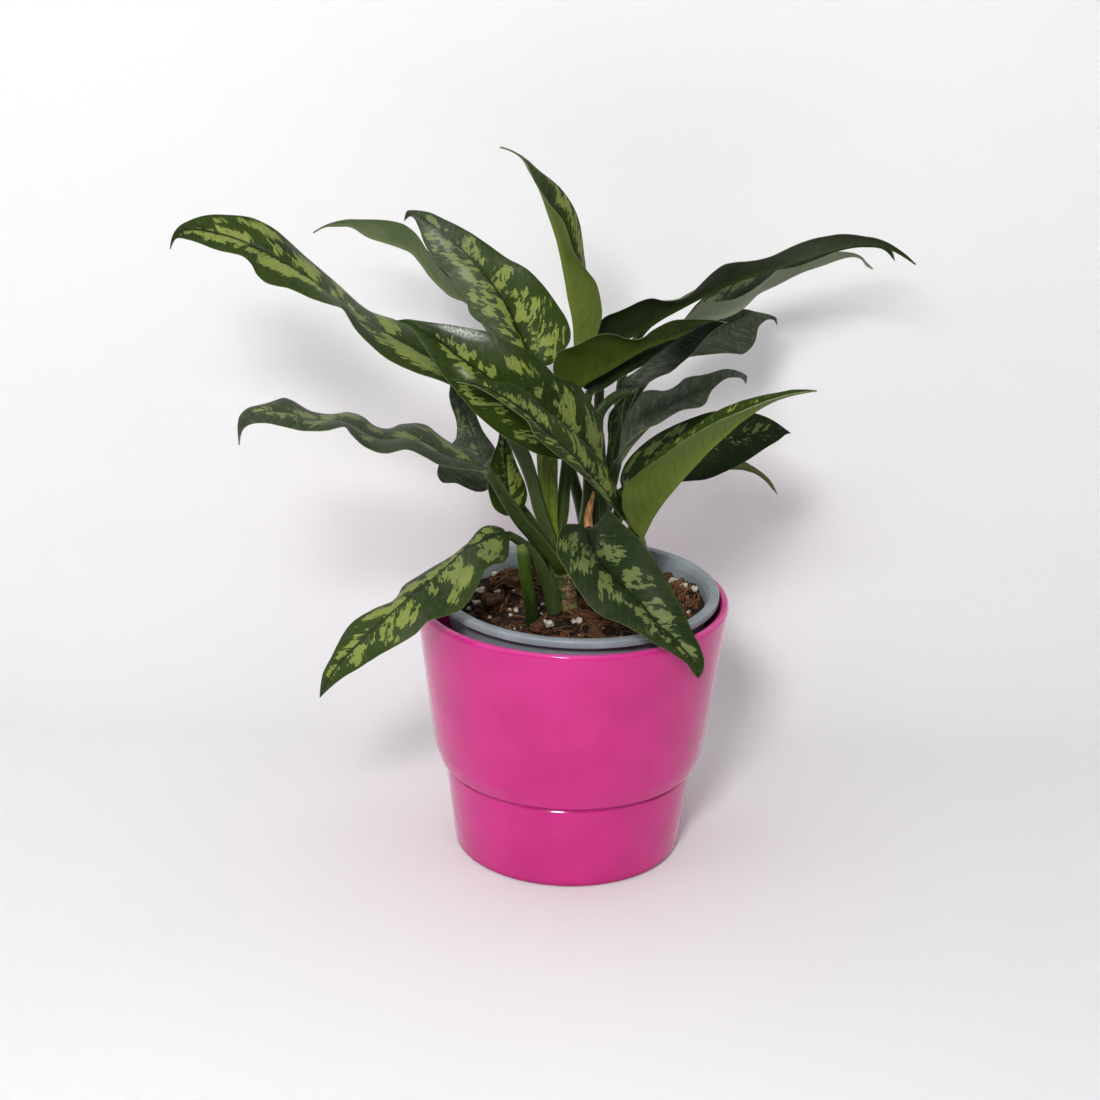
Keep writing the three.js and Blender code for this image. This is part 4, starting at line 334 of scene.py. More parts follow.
            [-60.5, 58.0, 200.0, -58.3, 60.7, 204.3, -55.7, 62.0, 205.2],
            [-61.0, 59.4, 203.2, -59.3, 61.4, 206.4, -57.3, 62.4, 207.2],
            [-60.6, 60.8, 206.4, -60.3, 62.1, 208.5, -58.9, 62.7, 209.1],
            [-61.0, 62.0, 209.7, -61.2, 62.6, 210.7, -60.5, 62.9, 211.0],
            [-62.2, 63.0, 212.9, -62.2, 63.0, 212.9, -62.2, 63.0, 212.9],
        ],
    },
    "leaf_09": {
        "pet": [[-10.6, 32.4, 119.6, 4.2], [-11.3, 17.0, 130.2, 6.0], [-15.7, 18.0, 139.8, 5.5], [-21.1, 19.0, 148.3, 4.8], [-26.8, 20.0, 155.3, 4.0]],
        "blade": [
            [-26.8, 20.0, 155.3, -26.8, 20.0, 155.3, -26.8, 20.0, 155.3],
            [-29.5, 17.4, 156.4, -28.0, 20.7, 157.3, -25.2, 22.1, 156.7],
            [-32.1, 16.4, 157.3, -29.0, 21.3, 159.4, -24.0, 23.5, 158.4],
            [-34.5, 15.8, 158.5, -29.8, 22.0, 161.5, -23.1, 24.7, 160.4],
            [-36.8, 15.5, 160.3, -30.4, 22.6, 163.6, -22.5, 25.8, 162.6],
            [-38.2, 15.4, 162.4, -30.9, 23.3, 165.8, -22.4, 26.8, 164.9],
            [-39.2, 15.5, 165.1, -31.3, 23.9, 168.1, -22.9, 27.7, 167.1],
            [-39.9, 15.9, 167.7, -31.7, 24.7, 170.2, -23.6, 28.6, 169.3],
            [-40.4, 16.6, 170.2, -32.0, 25.5, 172.4, -24.7, 29.5, 171.4],
            [-40.5, 17.4, 172.7, -32.3, 26.4, 174.6, -25.8, 30.4, 173.4],
            [-40.5, 18.4, 175.2, -32.5, 27.2, 176.8, -26.8, 31.2, 175.5],
            [-40.4, 19.4, 177.6, -32.7, 28.1, 179.0, -27.9, 31.9, 177.7],
            [-40.2, 20.6, 180.0, -32.9, 28.9, 181.2, -28.8, 32.6, 179.9],
            [-39.6, 21.8, 182.3, -33.1, 29.7, 183.4, -29.6, 33.2, 182.1],
            [-38.9, 23.2, 184.6, -33.3, 30.6, 185.5, -30.3, 33.9, 184.4],
            [-37.9, 24.7, 186.7, -33.6, 31.6, 187.7, -31.1, 34.6, 186.6],
            [-36.9, 26.3, 188.7, -34.0, 32.5, 189.8, -31.8, 35.3, 188.9],
            [-36.3, 27.9, 190.9, -34.4, 33.4, 191.9, -32.5, 35.8, 191.2],
            [-36.0, 29.6, 193.2, -34.9, 34.3, 194.1, -33.2, 36.4, 193.5],
            [-36.2, 31.2, 195.4, -35.5, 35.1, 196.2, -33.9, 36.9, 195.8],
            [-36.7, 32.8, 197.7, -36.2, 35.9, 198.3, -34.6, 37.2, 198.2],
            [-37.2, 34.3, 200.0, -36.8, 36.5, 200.5, -35.4, 37.5, 200.6],
            [-37.7, 35.7, 202.3, -37.6, 37.1, 202.6, -36.4, 37.7, 202.8],
            [-38.4, 36.9, 204.6, -38.4, 37.6, 204.8, -37.7, 37.9, 204.9],
            [-39.3, 38.0, 206.9, -39.3, 38.0, 206.9, -39.3, 38.0, 206.9],
        ],
    },
    "leaf_10": {
        "pet": [[-8.3, -0.6, 116.6, 8.2], [-10.3, -1.6, 126.9, 7.8], [-12.9, -2.4, 134.1, 7.4], [-16.2, -3.8, 141.3, 7.0], [-20.2, -5.4, 148.2, 5.6], [-24.8, -8.6, 153.7, 4.4], [-29.8, -14.0, 158.2, 3.8]],
        "blade": [
            [-29.8, -14.0, 159.7, -29.8, -14.0, 158.7, -29.8, -14.0, 159.7],
            [-29.4, -20.3, 158.0, -33.3, -17.5, 160.4, -33.1, -14.2, 161.8],
            [-29.4, -25.5, 155.8, -36.7, -21.3, 160.8, -36.8, -16.2, 163.6],
            [-29.9, -30.3, 153.8, -39.9, -25.0, 160.5, -40.6, -18.6, 164.3],
            [-32.4, -34.8, 152.8, -43.0, -28.7, 160.1, -43.8, -21.1, 163.0],
            [-36.0, -39.0, 153.6, -46.1, -32.1, 159.6, -46.2, -23.6, 160.8],
            [-39.0, -42.7, 153.0, -49.1, -35.2, 158.8, -48.5, -25.9, 158.3],
            [-40.7, -45.7, 150.6, -51.7, -37.6, 157.3, -51.3, -27.8, 156.1],
            [-42.0, -48.3, 148.0, -54.3, -39.9, 155.5, -54.4, -29.5, 154.3],
            [-43.6, -51.0, 145.5, -56.7, -42.3, 153.7, -57.5, -31.6, 152.8],
            [-45.3, -53.5, 143.0, -59.2, -44.6, 152.0, -60.8, -33.7, 151.4],
            [-47.5, -55.8, 140.7, -61.7, -46.8, 150.2, -63.9, -35.8, 150.0],
            [-50.1, -57.8, 139.0, -64.4, -48.8, 148.5, -67.1, -37.8, 148.5],
            [-53.4, -59.6, 138.1, -67.0, -50.7, 146.8, -70.3, -39.8, 147.0],
            [-56.9, -61.2, 137.5, -69.7, -52.4, 145.1, -73.6, -41.7, 145.5],
            [-60.5, -62.7, 137.0, -72.3, -54.1, 143.4, -76.3, -43.6, 143.6],
            [-63.7, -63.9, 136.1, -74.9, -55.6, 141.4, -78.0, -45.4, 140.5],
            [-66.1, -64.8, 133.7, -77.5, -56.8, 139.4, -80.2, -47.0, 138.3],
            [-68.5, -65.6, 131.0, -80.1, -57.9, 137.3, -83.5, -48.5, 137.2],
            [-71.4, -66.5, 129.0, -82.7, -59.2, 135.3, -87.2, -50.3, 136.3],
            [-74.5, -67.3, 127.2, -85.3, -60.5, 133.2, -90.6, -52.1, 135.1],
            [-77.7, -67.7, 125.3, -87.8, -61.4, 131.0, -93.9, -53.6, 133.7],
            [-80.9, -67.9, 123.4, -90.3, -62.1, 128.5, -97.0, -55.0, 131.9],
            [-84.1, -67.9, 121.5, -92.7, -62.7, 126.0, -99.5, -56.2, 129.5],
            [-87.2, -67.8, 119.3, -95.2, -63.1, 123.4, -101.6, -57.4, 126.5],
            [-90.4, -67.7, 117.1, -97.7, -63.6, 120.8, -103.3, -58.6, 123.3],
            [-93.5, -67.4, 114.7, -100.1, -63.9, 118.1, -104.9, -59.6, 120.0],
            [-96.7, -66.9, 112.4, -102.4, -64.0, 115.2, -106.5, -60.5, 116.5],
            [-100.0, -66.2, 110.0, -104.5, -64.0, 112.0, -108.4, -61.3, 113.1],
            [-103.1, -65.6, 107.3, -106.4, -64.0, 108.7, -110.1, -62.0, 109.6],
            [-106.0, -65.0, 104.4, -108.3, -63.9, 105.2, -110.9, -62.7, 106.0],
            [-108.8, -64.0, 101.2, -110.0, -63.6, 101.6, -111.4, -63.0, 102.0],
            [-111.6, -63.0, 97.8, -111.6, -63.0, 97.7, -111.6, -63.0, 97.8],
        ],
    },
    "leaf_11": {
        "pet": [[-1.4, 8.8, 133.6, 4.2], [1.5, -4.0, 144.5, 5.5], [3.5, -12.0, 155.8, 4.2], [6.0, -20.0, 164.6, 3.6]],
        "blade": [
            [6.0, -20.0, 165.6, 6.0, -20.0, 164.6, 5.9, -20.0, 165.6],
            [8.9, -21.8, 167.3, 6.3, -24.0, 163.3, 2.4, -25.8, 168.8],
            [11.2, -24.6, 170.6, 6.8, -27.8, 161.9, -1.1, -30.6, 170.7],
            [13.0, -27.3, 174.6, 7.6, -31.4, 160.6, -4.5, -34.9, 171.7],
            [14.8, -30.1, 177.6, 8.8, -34.9, 159.3, -6.7, -39.0, 170.6],
            [17.1, -32.8, 176.2, 10.0, -38.2, 158.2, -7.7, -42.8, 168.4],
            [19.3, -35.5, 174.8, 11.5, -41.3, 157.1, -7.9, -46.4, 166.0],
            [21.5, -37.9, 173.4, 13.2, -44.2, 156.0, -7.8, -49.6, 163.7],
            [23.9, -40.1, 172.0, 14.9, -46.7, 154.9, -6.4, -52.4, 161.5],
            [26.2, -42.2, 170.6, 16.7, -49.0, 153.8, -4.4, -54.9, 159.3],
            [28.3, -44.3, 168.9, 18.5, -51.2, 152.7, -2.6, -57.1, 157.1],
            [30.3, -46.3, 167.1, 20.3, -53.3, 151.6, -0.8, -59.3, 154.8],
            [32.2, -48.2, 165.2, 22.1, -55.2, 150.4, 1.0, -61.2, 152.5],
            [33.9, -50.0, 163.2, 24.0, -57.0, 149.2, 2.9, -62.9, 150.2],
            [35.6, -51.7, 161.0, 25.8, -58.5, 147.8, 4.9, -64.4, 147.8],
            [37.3, -53.3, 158.8, 27.6, -60.0, 146.5, 7.0, -65.7, 145.6],
            [38.9, -54.9, 156.6, 29.4, -61.4, 145.0, 9.5, -66.9, 143.7],
            [40.6, -56.5, 154.4, 31.1, -62.7, 143.6, 12.3, -68.1, 142.2],
            [42.2, -58.1, 152.2, 32.8, -64.1, 142.0, 15.4, -69.2, 141.4],
            [43.7, -59.8, 150.0, 34.4, -65.4, 140.4, 18.6, -70.3, 140.6],
            [45.2, -61.4, 147.7, 36.1, -66.7, 138.8, 21.6, -71.3, 139.6],
            [46.6, -62.9, 145.3, 37.8, -67.8, 137.2, 24.6, -72.1, 138.3],
            [47.9, -64.2, 142.9, 39.6, -68.7, 135.7, 27.5, -72.6, 136.8],
            [49.3, -65.4, 140.4, 41.5, -69.5, 134.2, 30.4, -73.0, 135.0],
            [50.6, -66.6, 137.8, 43.5, -70.2, 132.6, 33.2, -73.4, 133.1],
            [51.9, -67.7, 135.2, 45.4, -70.9, 131.0, 36.1, -73.7, 131.5],
            [53.4, -69.0, 132.8, 47.2, -71.7, 129.4, 39.1, -74.1, 129.9],
            [54.9, -70.3, 130.4, 49.0, -72.6, 127.8, 42.0, -74.5, 128.4],
            [56.0, -71.2, 127.7, 50.8, -73.0, 125.9, 45.0, -74.5, 126.5],
            [57.0, -71.7, 124.7, 52.5, -73.0, 123.7, 47.9, -74.1, 124.4],
            [57.2, -72.2, 121.5, 53.9, -73.0, 121.3, 50.4, -73.7, 121.8],
            [56.7, -72.2, 118.2, 54.6, -72.5, 118.5, 52.4, -72.8, 118.3],
            [55.0, -71.0, 115.0, 55.0, -71.0, 114.9, 55.0, -71.0, 115.0],
        ],
    },
    "leaf_12": {
        "pet": [[28.4, 8.2, 121.6, 4.2], [28.9, 8.4, 126.0, 4.3], [30.9, 0.0, 140.2, 6.0], [30.8, -6.0, 150.8, 4.6], [30.5, -9.0, 156.3, 4.0]],
        "blade": [
            [30.0, -9.0, 156.4, 29.8, -9.0, 156.6, 30.0, -9.0, 156.4],
            [29.1, -6.3, 159.3, 30.9, -10.3, 160.5, 27.3, -13.9, 161.4],
            [28.1, -5.6, 163.1, 32.1, -11.6, 164.3, 24.9, -17.2, 166.0],
            [27.1, -5.5, 167.1, 33.5, -13.1, 168.1, 22.9, -20.1, 170.7],
            [26.0, -5.9, 171.2, 35.1, -14.8, 171.7, 21.1, -23.0, 175.6],
            [25.4, -6.5, 175.4, 36.9, -16.5, 175.3, 20.7, -25.8, 180.6],
            [25.8, -7.3, 179.7, 38.7, -18.2, 178.8, 20.7, -28.3, 185.6],
            [27.0, -8.2, 184.0, 40.7, -19.9, 182.2, 21.8, -30.6, 189.8],
            [28.4, -9.2, 188.0, 42.7, -21.4, 185.4, 24.8, -32.7, 193.3],
            [30.5, -10.3, 191.6, 44.7, -23.0, 188.6, 27.7, -34.6, 196.6],
            [33.1, -11.5, 194.9, 46.8, -24.4, 191.8, 30.5, -36.3, 199.6],
            [35.8, -12.7, 198.2, 48.9, -25.7, 194.8, 33.4, -37.7, 202.6],
            [38.5, -14.1, 201.3, 51.0, -27.1, 197.8, 36.3, -39.0, 205.4],
            [41.3, -15.7, 204.4, 53.1, -28.5, 200.9, 39.1, -40.4, 208.3],
            [44.1, -17.3, 207.3, 55.1, -30.0, 203.9, 41.9, -41.6, 211.2],
            [47.1, -18.8, 210.1, 57.3, -31.2, 206.8, 44.8, -42.6, 213.9],
            [50.1, -20.1, 212.7, 59.6, -32.1, 209.5, 47.8, -43.2, 216.2],
            [53.0, -21.4, 215.4, 61.9, -33.0, 212.0, 51.0, -43.7, 218.3],
            [55.8, -22.8, 218.2, 64.2, -33.9, 214.6, 54.1, -44.1, 220.4],
            [58.6, -24.5, 221.1, 66.5, -35.0, 217.3, 57.2, -44.7, 222.7],
            [61.6, -26.3, 223.7, 68.7, -36.2, 220.0, 60.4, -45.3, 224.8],
            [64.7, -28.0, 226.0, 71.0, -37.2, 222.5, 63.6, -45.7, 226.5],
            [67.9, -29.6, 228.0, 73.5, -38.0, 224.7, 67.1, -45.8, 227.9],
            [71.2, -31.1, 229.9, 76.0, -38.7, 226.9, 70.5, -45.8, 229.3],
            [74.5, -32.8, 231.5, 78.6, -39.5, 229.0, 73.9, -45.8, 230.8],
            [77.9, -34.5, 233.0, 81.3, -40.4, 231.0, 77.2, -45.8, 232.4],
            [81.3, -36.1, 234.3, 84.0, -41.2, 232.8, 80.6, -45.8, 234.0],
            [84.8, -37.8, 235.4, 86.8, -41.9, 234.3, 84.0, -45.7, 235.2],
            [88.2, -39.4, 236.6, 89.8, -42.6, 235.6, 87.5, -45.6, 236.4],
            [91.6, -40.9, 237.8, 92.8, -43.2, 236.7, 91.1, -45.4, 237.3],
            [95.0, -42.4, 238.5, 95.8, -43.9, 237.6, 94.7, -45.2, 237.9],
            [98.5, -43.8, 238.9, 98.9, -44.4, 238.4, 98.3, -45.1, 238.5],
            [102.0, -45.0, 239.0, 102.0, -45.0, 239.0, 102.0, -45.0, 238.9],
        ],
    },
    "leaf_13": {
        "pet": [[21.0, 30.0, 119.6, 4.2], [21.5, 29.9, 124.0, 4.3], [18.1, 23.0, 133.6, 6.5], [19.0, 24.0, 148.4, 5.5], [21.1, 25.0, 159.2, 4.6], [21.8, 26.0, 166.8, 4.0]],
        "blade": [
            [21.8, 26.0, 166.8, 21.8, 26.0, 166.8, 21.8, 26.0, 166.8],
            [21.7, 31.1, 168.4, 23.8, 27.1, 168.4, 24.3, 23.8, 166.3],
            [21.7, 34.3, 170.7, 25.8, 28.3, 170.0, 26.9, 23.2, 165.9],
            [22.5, 37.1, 173.1, 27.8, 29.5, 171.5, 29.5, 23.1, 166.2],
            [23.6, 39.7, 175.4, 29.9, 30.8, 173.1, 32.2, 23.2, 166.9],
            [25.3, 42.0, 177.6, 32.0, 32.0, 174.5, 34.8, 23.6, 167.6],
            [27.3, 44.2, 179.6, 34.2, 33.3, 175.8, 37.5, 24.1, 168.3],
            [29.6, 46.2, 181.4, 36.5, 34.6, 176.8, 40.1, 24.8, 169.0],
            [32.0, 48.1, 183.1, 39.0, 35.9, 177.5, 42.6, 25.6, 169.8],
            [34.5, 49.9, 184.7, 41.6, 37.3, 178.2, 45.2, 26.6, 170.7],
            [37.2, 51.5, 186.2, 44.3, 38.6, 178.8, 47.8, 27.7, 171.3],
            [39.9, 53.0, 187.7, 46.9, 40.0, 179.3, 50.4, 29.0, 171.5],
            [42.7, 54.4, 189.0, 49.5, 41.4, 179.9, 53.2, 30.4, 171.3],
            [45.6, 55.6, 190.2, 52.1, 42.8, 180.4, 56.1, 31.9, 171.1],
            [48.5, 56.7, 191.5, 54.8, 44.1, 181.0, 58.9, 33.3, 170.9],
            [51.5, 57.6, 192.6, 57.4, 45.2, 181.7, 61.6, 34.7, 170.9],
            [54.5, 58.3, 193.7, 60.0, 46.3, 182.5, 64.3, 36.1, 171.3],
            [57.6, 58.9, 194.7, 62.6, 47.3, 183.2, 67.0, 37.5, 171.9],
            [60.7, 59.5, 195.7, 65.2, 48.4, 183.9, 69.6, 39.0, 172.7],
            [63.9, 60.0, 196.5, 67.9, 49.5, 184.4, 72.2, 40.6, 173.4],
            [67.1, 60.5, 197.0, 70.6, 50.6, 184.8, 74.7, 42.3, 174.1],
            [70.3, 61.0, 197.2, 73.4, 51.8, 185.2, 77.3, 44.0, 174.9],
            [73.6, 61.4, 197.4, 76.1, 52.9, 185.5, 79.8, 45.8, 175.8],
            [76.9, 61.6, 197.5, 78.9, 54.0, 185.9, 82.3, 47.5, 176.7],
            [80.1, 61.7, 197.4, 81.6, 55.0, 186.2, 84.7, 49.2, 177.8],
            [83.4, 61.8, 196.7, 84.4, 55.9, 186.6, 87.1, 50.9, 178.9],
            [86.6, 61.8, 195.9, 87.2, 56.8, 187.0, 89.4, 52.5, 180.1],
            [89.8, 61.8, 195.0, 89.9, 57.6, 187.3, 91.8, 54.1, 181.2],
            [92.8, 61.7, 193.9, 92.7, 58.5, 187.6, 94.3, 55.7, 182.3],
            [95.8, 61.6, 192.4, 95.5, 59.3, 187.9, 96.8, 57.3, 183.3],
            [98.6, 61.4, 190.6, 98.4, 60.0, 187.9, 99.1, 58.7, 184.6],
            [101.3, 61.2, 188.7, 101.2, 60.5, 187.6, 101.3, 60.0, 186.1],
            [104.0, 61.0, 186.8, 104.0, 61.0, 186.7, 104.0, 61.0, 186.7],
        ],
    },
    "leaf_14": {
        "pet": [[19.6, 34.4, 119.6, 4.2], [16.5, 38.0, 130.0, 5.5], [20.5, 44.0, 143.8, 4.6], [30.0, 52.0, 156.5, 4.0], [40.7, 60.0, 163.2, 3.4]],
        "blade": [
            [40.7, 60.0, 163.2, 40.7, 60.0, 163.2, 40.7, 60.0, 163.2],
            [43.5, 63.9, 162.1, 43.1, 61.7, 164.0, 42.6, 59.9, 165.8],
            [46.2, 66.6, 161.4, 45.7, 63.4, 164.7, 44.6, 60.6, 167.8],
            [49.0, 69.1, 160.7, 48.2, 65.0, 165.3, 46.9, 61.6, 169.4],
            [51.7, 71.3, 160.2, 50.9, 66.6, 165.7, 49.2, 62.6, 170.8],
            [54.5, 73.4, 159.7, 53.5, 68.1, 165.9, 51.7, 63.7, 171.7],
            [57.3, 75.3, 159.2, 56.3, 69.7, 166.2, 54.4, 65.0, 172.4],
            [60.0, 77.1, 158.8, 59.0, 71.2, 166.3, 57.2, 66.3, 173.0],
            [62.8, 78.6, 158.5, 61.8, 72.6, 166.2, 60.2, 67.6, 173.3],
            [65.4, 79.8, 158.5, 64.6, 73.9, 165.8, 63.1, 68.9, 173.1],
            [68.0, 80.9, 159.0, 67.4, 75.0, 165.5, 66.1, 70.1, 172.7],
            [70.6, 81.9, 159.6, 70.2, 76.1, 165.2, 69.1, 71.3, 172.2],
            [73.2, 82.6, 160.0, 73.1, 77.1, 165.0, 72.1, 72.5, 171.6],
            [75.9, 83.3, 160.1, 75.9, 78.0, 164.7, 75.0, 73.6, 170.8],
            [78.6, 83.7, 160.2, 78.7, 78.8, 164.5, 78.0, 74.7, 169.7],
            [81.3, 84.1, 160.2, 81.5, 79.6, 164.1, 80.9, 75.8, 168.3],
            [84.0, 84.6, 159.9, 84.3, 80.4, 163.7, 83.7, 77.0, 166.8],
            [86.7, 85.0, 159.1, 87.1, 81.4, 162.5, 86.5, 78.4, 164.9],
            [89.3, 85.4, 158.2, 89.8, 82.3, 160.8, 89.2, 79.7, 162.9],
            [91.7, 85.6, 156.8, 92.2, 83.0, 159.1, 91.8, 80.8, 160.8],
            [93.9, 85.5, 155.2, 94.4, 83.4, 157.2, 94.3, 81.7, 158.5],
            [95.9, 85.3, 153.4, 96.4, 83.8, 154.9, 96.6, 82.5, 156.1],
            [97.7, 84.9, 151.3, 98.2, 84.0, 152.5, 98.4, 83.2, 153.5],
            [99.5, 84.4, 149.4, 99.9, 84.0, 150.1, 100.1, 83.6, 150.6],
            [101.5, 84.0, 147.6, 101.5, 84.0, 147.6, 101.5, 84.0, 147.6],
        ],
    },
    "leaf_15": {
        "pet": [[5.9, 42.7, 119.6, 4.2], [9.2, 38.0, 131.8, 7.0], [9.6, 41.0, 154.8, 6.0], [10.3, 44.0, 181.5, 5.4], [10.6, 45.0, 206.0, 4.8], [10.5, 46.0, 225.2, 4.2]],
        "blade": [
            [10.5, 46.0, 225.3, 10.5, 46.0, 225.2, 10.5, 46.0, 225.3],
            [9.2, 51.9, 229.2, 13.2, 47.3, 229.5, 9.1, 43.3, 231.8],
            [9.8, 55.5, 233.7, 16.7, 48.5, 232.9, 8.9, 42.5, 237.8],
            [13.2, 58.5, 237.0, 21.1, 49.7, 235.5, 9.8, 42.1, 243.9],
            [18.4, 61.4, 238.6, 25.6, 51.1, 237.7, 13.2, 42.2, 247.4],
            [23.5, 64.1, 240.2, 30.2, 52.6, 239.7, 18.5, 42.6, 249.6],
            [28.7, 66.7, 241.7, 34.6, 54.1, 242.1, 23.5, 43.2, 252.0],
            [33.9, 69.1, 243.2, 38.9, 55.7, 244.6, 28.5, 44.0, 254.5],
            [39.2, 71.3, 244.3, 43.4, 57.2, 246.8, 33.9, 45.0, 255.7],
            [44.7, 73.1, 245.1, 48.0, 58.6, 249.0, 39.4, 45.9, 254.4],
            [49.9, 74.6, 246.6, 52.5, 59.8, 251.2, 45.0, 46.9, 254.7],
            [54.9, 76.3, 248.8, 57.2, 61.3, 253.3, 50.2, 48.3, 256.7],
            [59.1, 77.9, 252.0, 61.8, 62.9, 255.3, 54.5, 50.0, 260.0],
            [63.2, 79.3, 255.6, 66.5, 64.4, 257.2, 58.5, 51.6, 263.7],
            [67.6, 80.4, 258.9, 71.3, 65.7, 259.0, 62.7, 53.1, 267.1],
            [72.4, 81.2, 261.3, 76.2, 66.9, 260.7, 67.5, 54.5, 269.9],
            [77.7, 82.0, 262.6, 81.1, 68.1, 262.1, 73.0, 56.0, 270.8],
            [83.2, 82.8, 263.7, 86.1, 69.4, 263.3, 78.8, 57.8, 271.1],
            [88.6, 83.5, 264.9, 91.2, 70.7, 264.4, 84.4, 59.6, 271.8],
            [93.9, 83.8, 266.2, 96.1, 71.6, 266.0, 89.9, 61.1, 273.2],
            [99.0, 83.8, 268.3, 100.8, 72.4, 268.0, 95.1, 62.5, 275.4],
            [103.9, 83.8, 270.7, 105.7, 73.2, 269.7, 100.2, 64.0, 277.7],
            [109.1, 83.8, 272.6, 110.7, 74.1, 271.1, 105.4, 65.7, 279.6],
            [114.3, 83.7, 274.3, 115.7, 74.9, 272.4, 110.9, 67.3, 281.1],
            [119.6, 83.3, 275.6, 120.7, 75.5, 273.7, 116.6, 68.7, 281.9],
            [124.9, 82.7, 276.8, 125.7, 75.9, 275.0, 122.4, 70.0, 282.4],
            [130.2, 81.8, 277.4, 130.8, 76.0, 275.9, 128.2, 71.0, 282.0],
            [135.6, 80.8, 277.4, 135.9, 76.0, 276.5, 134.0, 71.9, 281.1],
            [140.9, 79.6, 277.1, 141.0, 75.9, 276.5, 139.8, 72.6, 280.2],
            [145.9, 77.9, 275.5, 146.0, 75.2, 275.1, 145.2, 72.8, 278.3],
            [150.8, 76.3, 273.4, 150.8, 74.6, 273.1, 150.4, 73.1, 275.2],
            [155.3, 74.5, 271.0, 155.3, 73.7, 270.7, 155.2, 73.1, 271.8],
            [159.5, 72.0, 268.2, 159.5, 72.0, 268.2, 159.5, 72.0, 268.2],
        ],
    },
    "leaf_16": {
        "pet": [[7.6, 50.7, 119.6, 4.2], [5.0, 40.0, 128.9, 6.5], [11.7, 50.0, 151.7, 6.0], [16.7, 60.0, 168.8, 5.4], [20.8, 70.0, 183.5, 4.8], [27.3, 79.0, 199.8, 4.4], [40.5, 86.0, 219.8, 4.0]],
        "blade": [
            [40.5, 86.0, 219.8, 40.5, 86.0, 219.8, 40.5, 86.0, 219.8],
            [42.1, 90.9, 222.3, 42.8, 87.3, 222.6, 41.6, 84.2, 224.2],
            [44.0, 94.1, 224.9, 45.3, 88.6, 225.2, 43.7, 83.9, 227.2],
            [46.4, 96.9, 227.1, 48.0, 89.9, 227.3, 46.8, 84.1, 229.7],
            [49.5, 99.5, 229.0, 51.1, 91.3, 229.1, 49.5, 84.5, 232.4],
            [52.5, 102.0, 231.2, 54.4, 92.7, 230.6, 51.9, 85.0, 235.3],
            [55.0, 104.2, 233.7, 57.8, 94.1, 231.8, 54.4, 85.7, 238.1],
            [57.4, 106.2, 236.3, 61.4, 95.5, 232.9, 56.9, 86.5, 240.8],
            [60.0, 107.9, 238.8, 65.0, 96.6, 233.6, 60.2, 87.2, 242.8],
            [63.0, 109.3, 241.2, 68.7, 97.7, 234.2, 63.8, 87.9, 243.8],
            [66.1, 110.5, 243.2, 72.4, 98.6, 234.9, 67.7, 88.7, 244.1],
            [69.5, 111.5, 245.0, 75.8, 99.5, 236.0, 71.6, 89.5, 244.3],
            [72.9, 112.3, 246.7, 79.1, 100.3, 237.8, 75.4, 90.3, 244.7],
            [76.5, 113.0, 248.2, 82.1, 101.1, 239.8, 79.1, 91.3, 245.9],
            [80.0, 113.7, 249.7, 84.7, 102.0, 242.3, 82.6, 92.3, 247.5],
            [83.6, 114.3, 251.1, 87.4, 102.9, 244.8, 85.7, 93.3, 249.4],
            [87.2, 114.8, 252.4, 90.5, 103.7, 246.5, 88.7, 94.4, 251.7],
            [90.9, 115.2, 253.6, 94.0, 104.5, 248.0, 91.6, 95.5, 254.1],
            [94.6, 115.3, 254.6, 97.4, 105.0, 249.5, 94.3, 96.5, 256.7],
            [98.4, 115.1, 255.6, 100.7, 105.4, 251.2, 97.1, 97.3, 259.2],
            [102.1, 114.7, 256.4, 103.9, 105.6, 252.9, 100.4, 98.0, 260.6],
            [105.9, 114.3, 257.2, 107.2, 105.9, 254.5, 104.3, 98.8, 261.5],
            [109.6, 113.9, 258.0, 110.6, 106.1, 256.0, 108.1, 99.7, 262.5],
            [113.3, 113.6, 259.0, 114.1, 106.5, 257.2, 111.8, 100.7, 263.5],
            [116.9, 113.1, 260.2, 117.6, 106.9, 258.3, 115.5, 101.6, 264.5],
            [120.6, 112.5, 261.3, 121.1, 107.0, 259.5, 119.3, 102.4, 265.4],
            [124.2, 111.6, 262.3, 124.5, 107.0, 260.9, 123.1, 103.1, 266.2],
            [127.9, 110.8, 263.3, 128.0, 107.0, 262.2, 127.0, 103.8, 266.5],
            [131.6, 109.6, 263.8, 131.5, 106.7, 263.3, 130.9, 104.2, 266.1],
            [135.2, 108.0, 264.2, 135.0, 105.8, 263.8, 134.7, 104.0, 265.4],
            [138.3, 106.3, 263.1, 138.4, 105.0, 262.7, 138.2, 103.9, 263.7],
            [141.2, 104.7, 260.7, 140.7, 104.1, 259.9, 140.8, 103.6, 260.7],
            [143.8, 103.0, 258.4, 143.9, 103.0, 258.4, 143.8, 103.0, 258.4],
        ],
    },
    "leaf_17": {
        "pet": [[-4.3, 36.0, 119.6, 4.2], [-3.8, 36.0, 124.0, 4.3], [0.5, 24.0, 134.9, 6.5], [4.7, 23.0, 153.5, 5.6], [6.0, 21.0, 174.1, 5.0], [3.6, 18.0, 194.6, 4.6], [-1.4, 15.0, 210.8, 4.2]],
        "blade": [
            [-4.2, 14.0, 214.0, -4.2, 14.0, 213.9, -4.2, 14.0, 214.0],
            [-4.0, 17.4, 215.9, -3.5, 14.0, 216.6, -6.4, 10.3, 217.8],
            [-3.5, 19.1, 218.2, -2.4, 14.0, 219.0, -8.1, 8.4, 221.3],
            [-2.8, 20.4, 220.6, -0.8, 14.0, 221.1, -9.5, 7.0, 224.8],
            [-2.0, 21.5, 223.0, 1.2, 14.0, 222.9, -10.7, 5.8, 228.4],
            [-0.7, 22.5, 225.4, 3.3, 14.0, 224.6, -11.4, 4.8, 232.0],
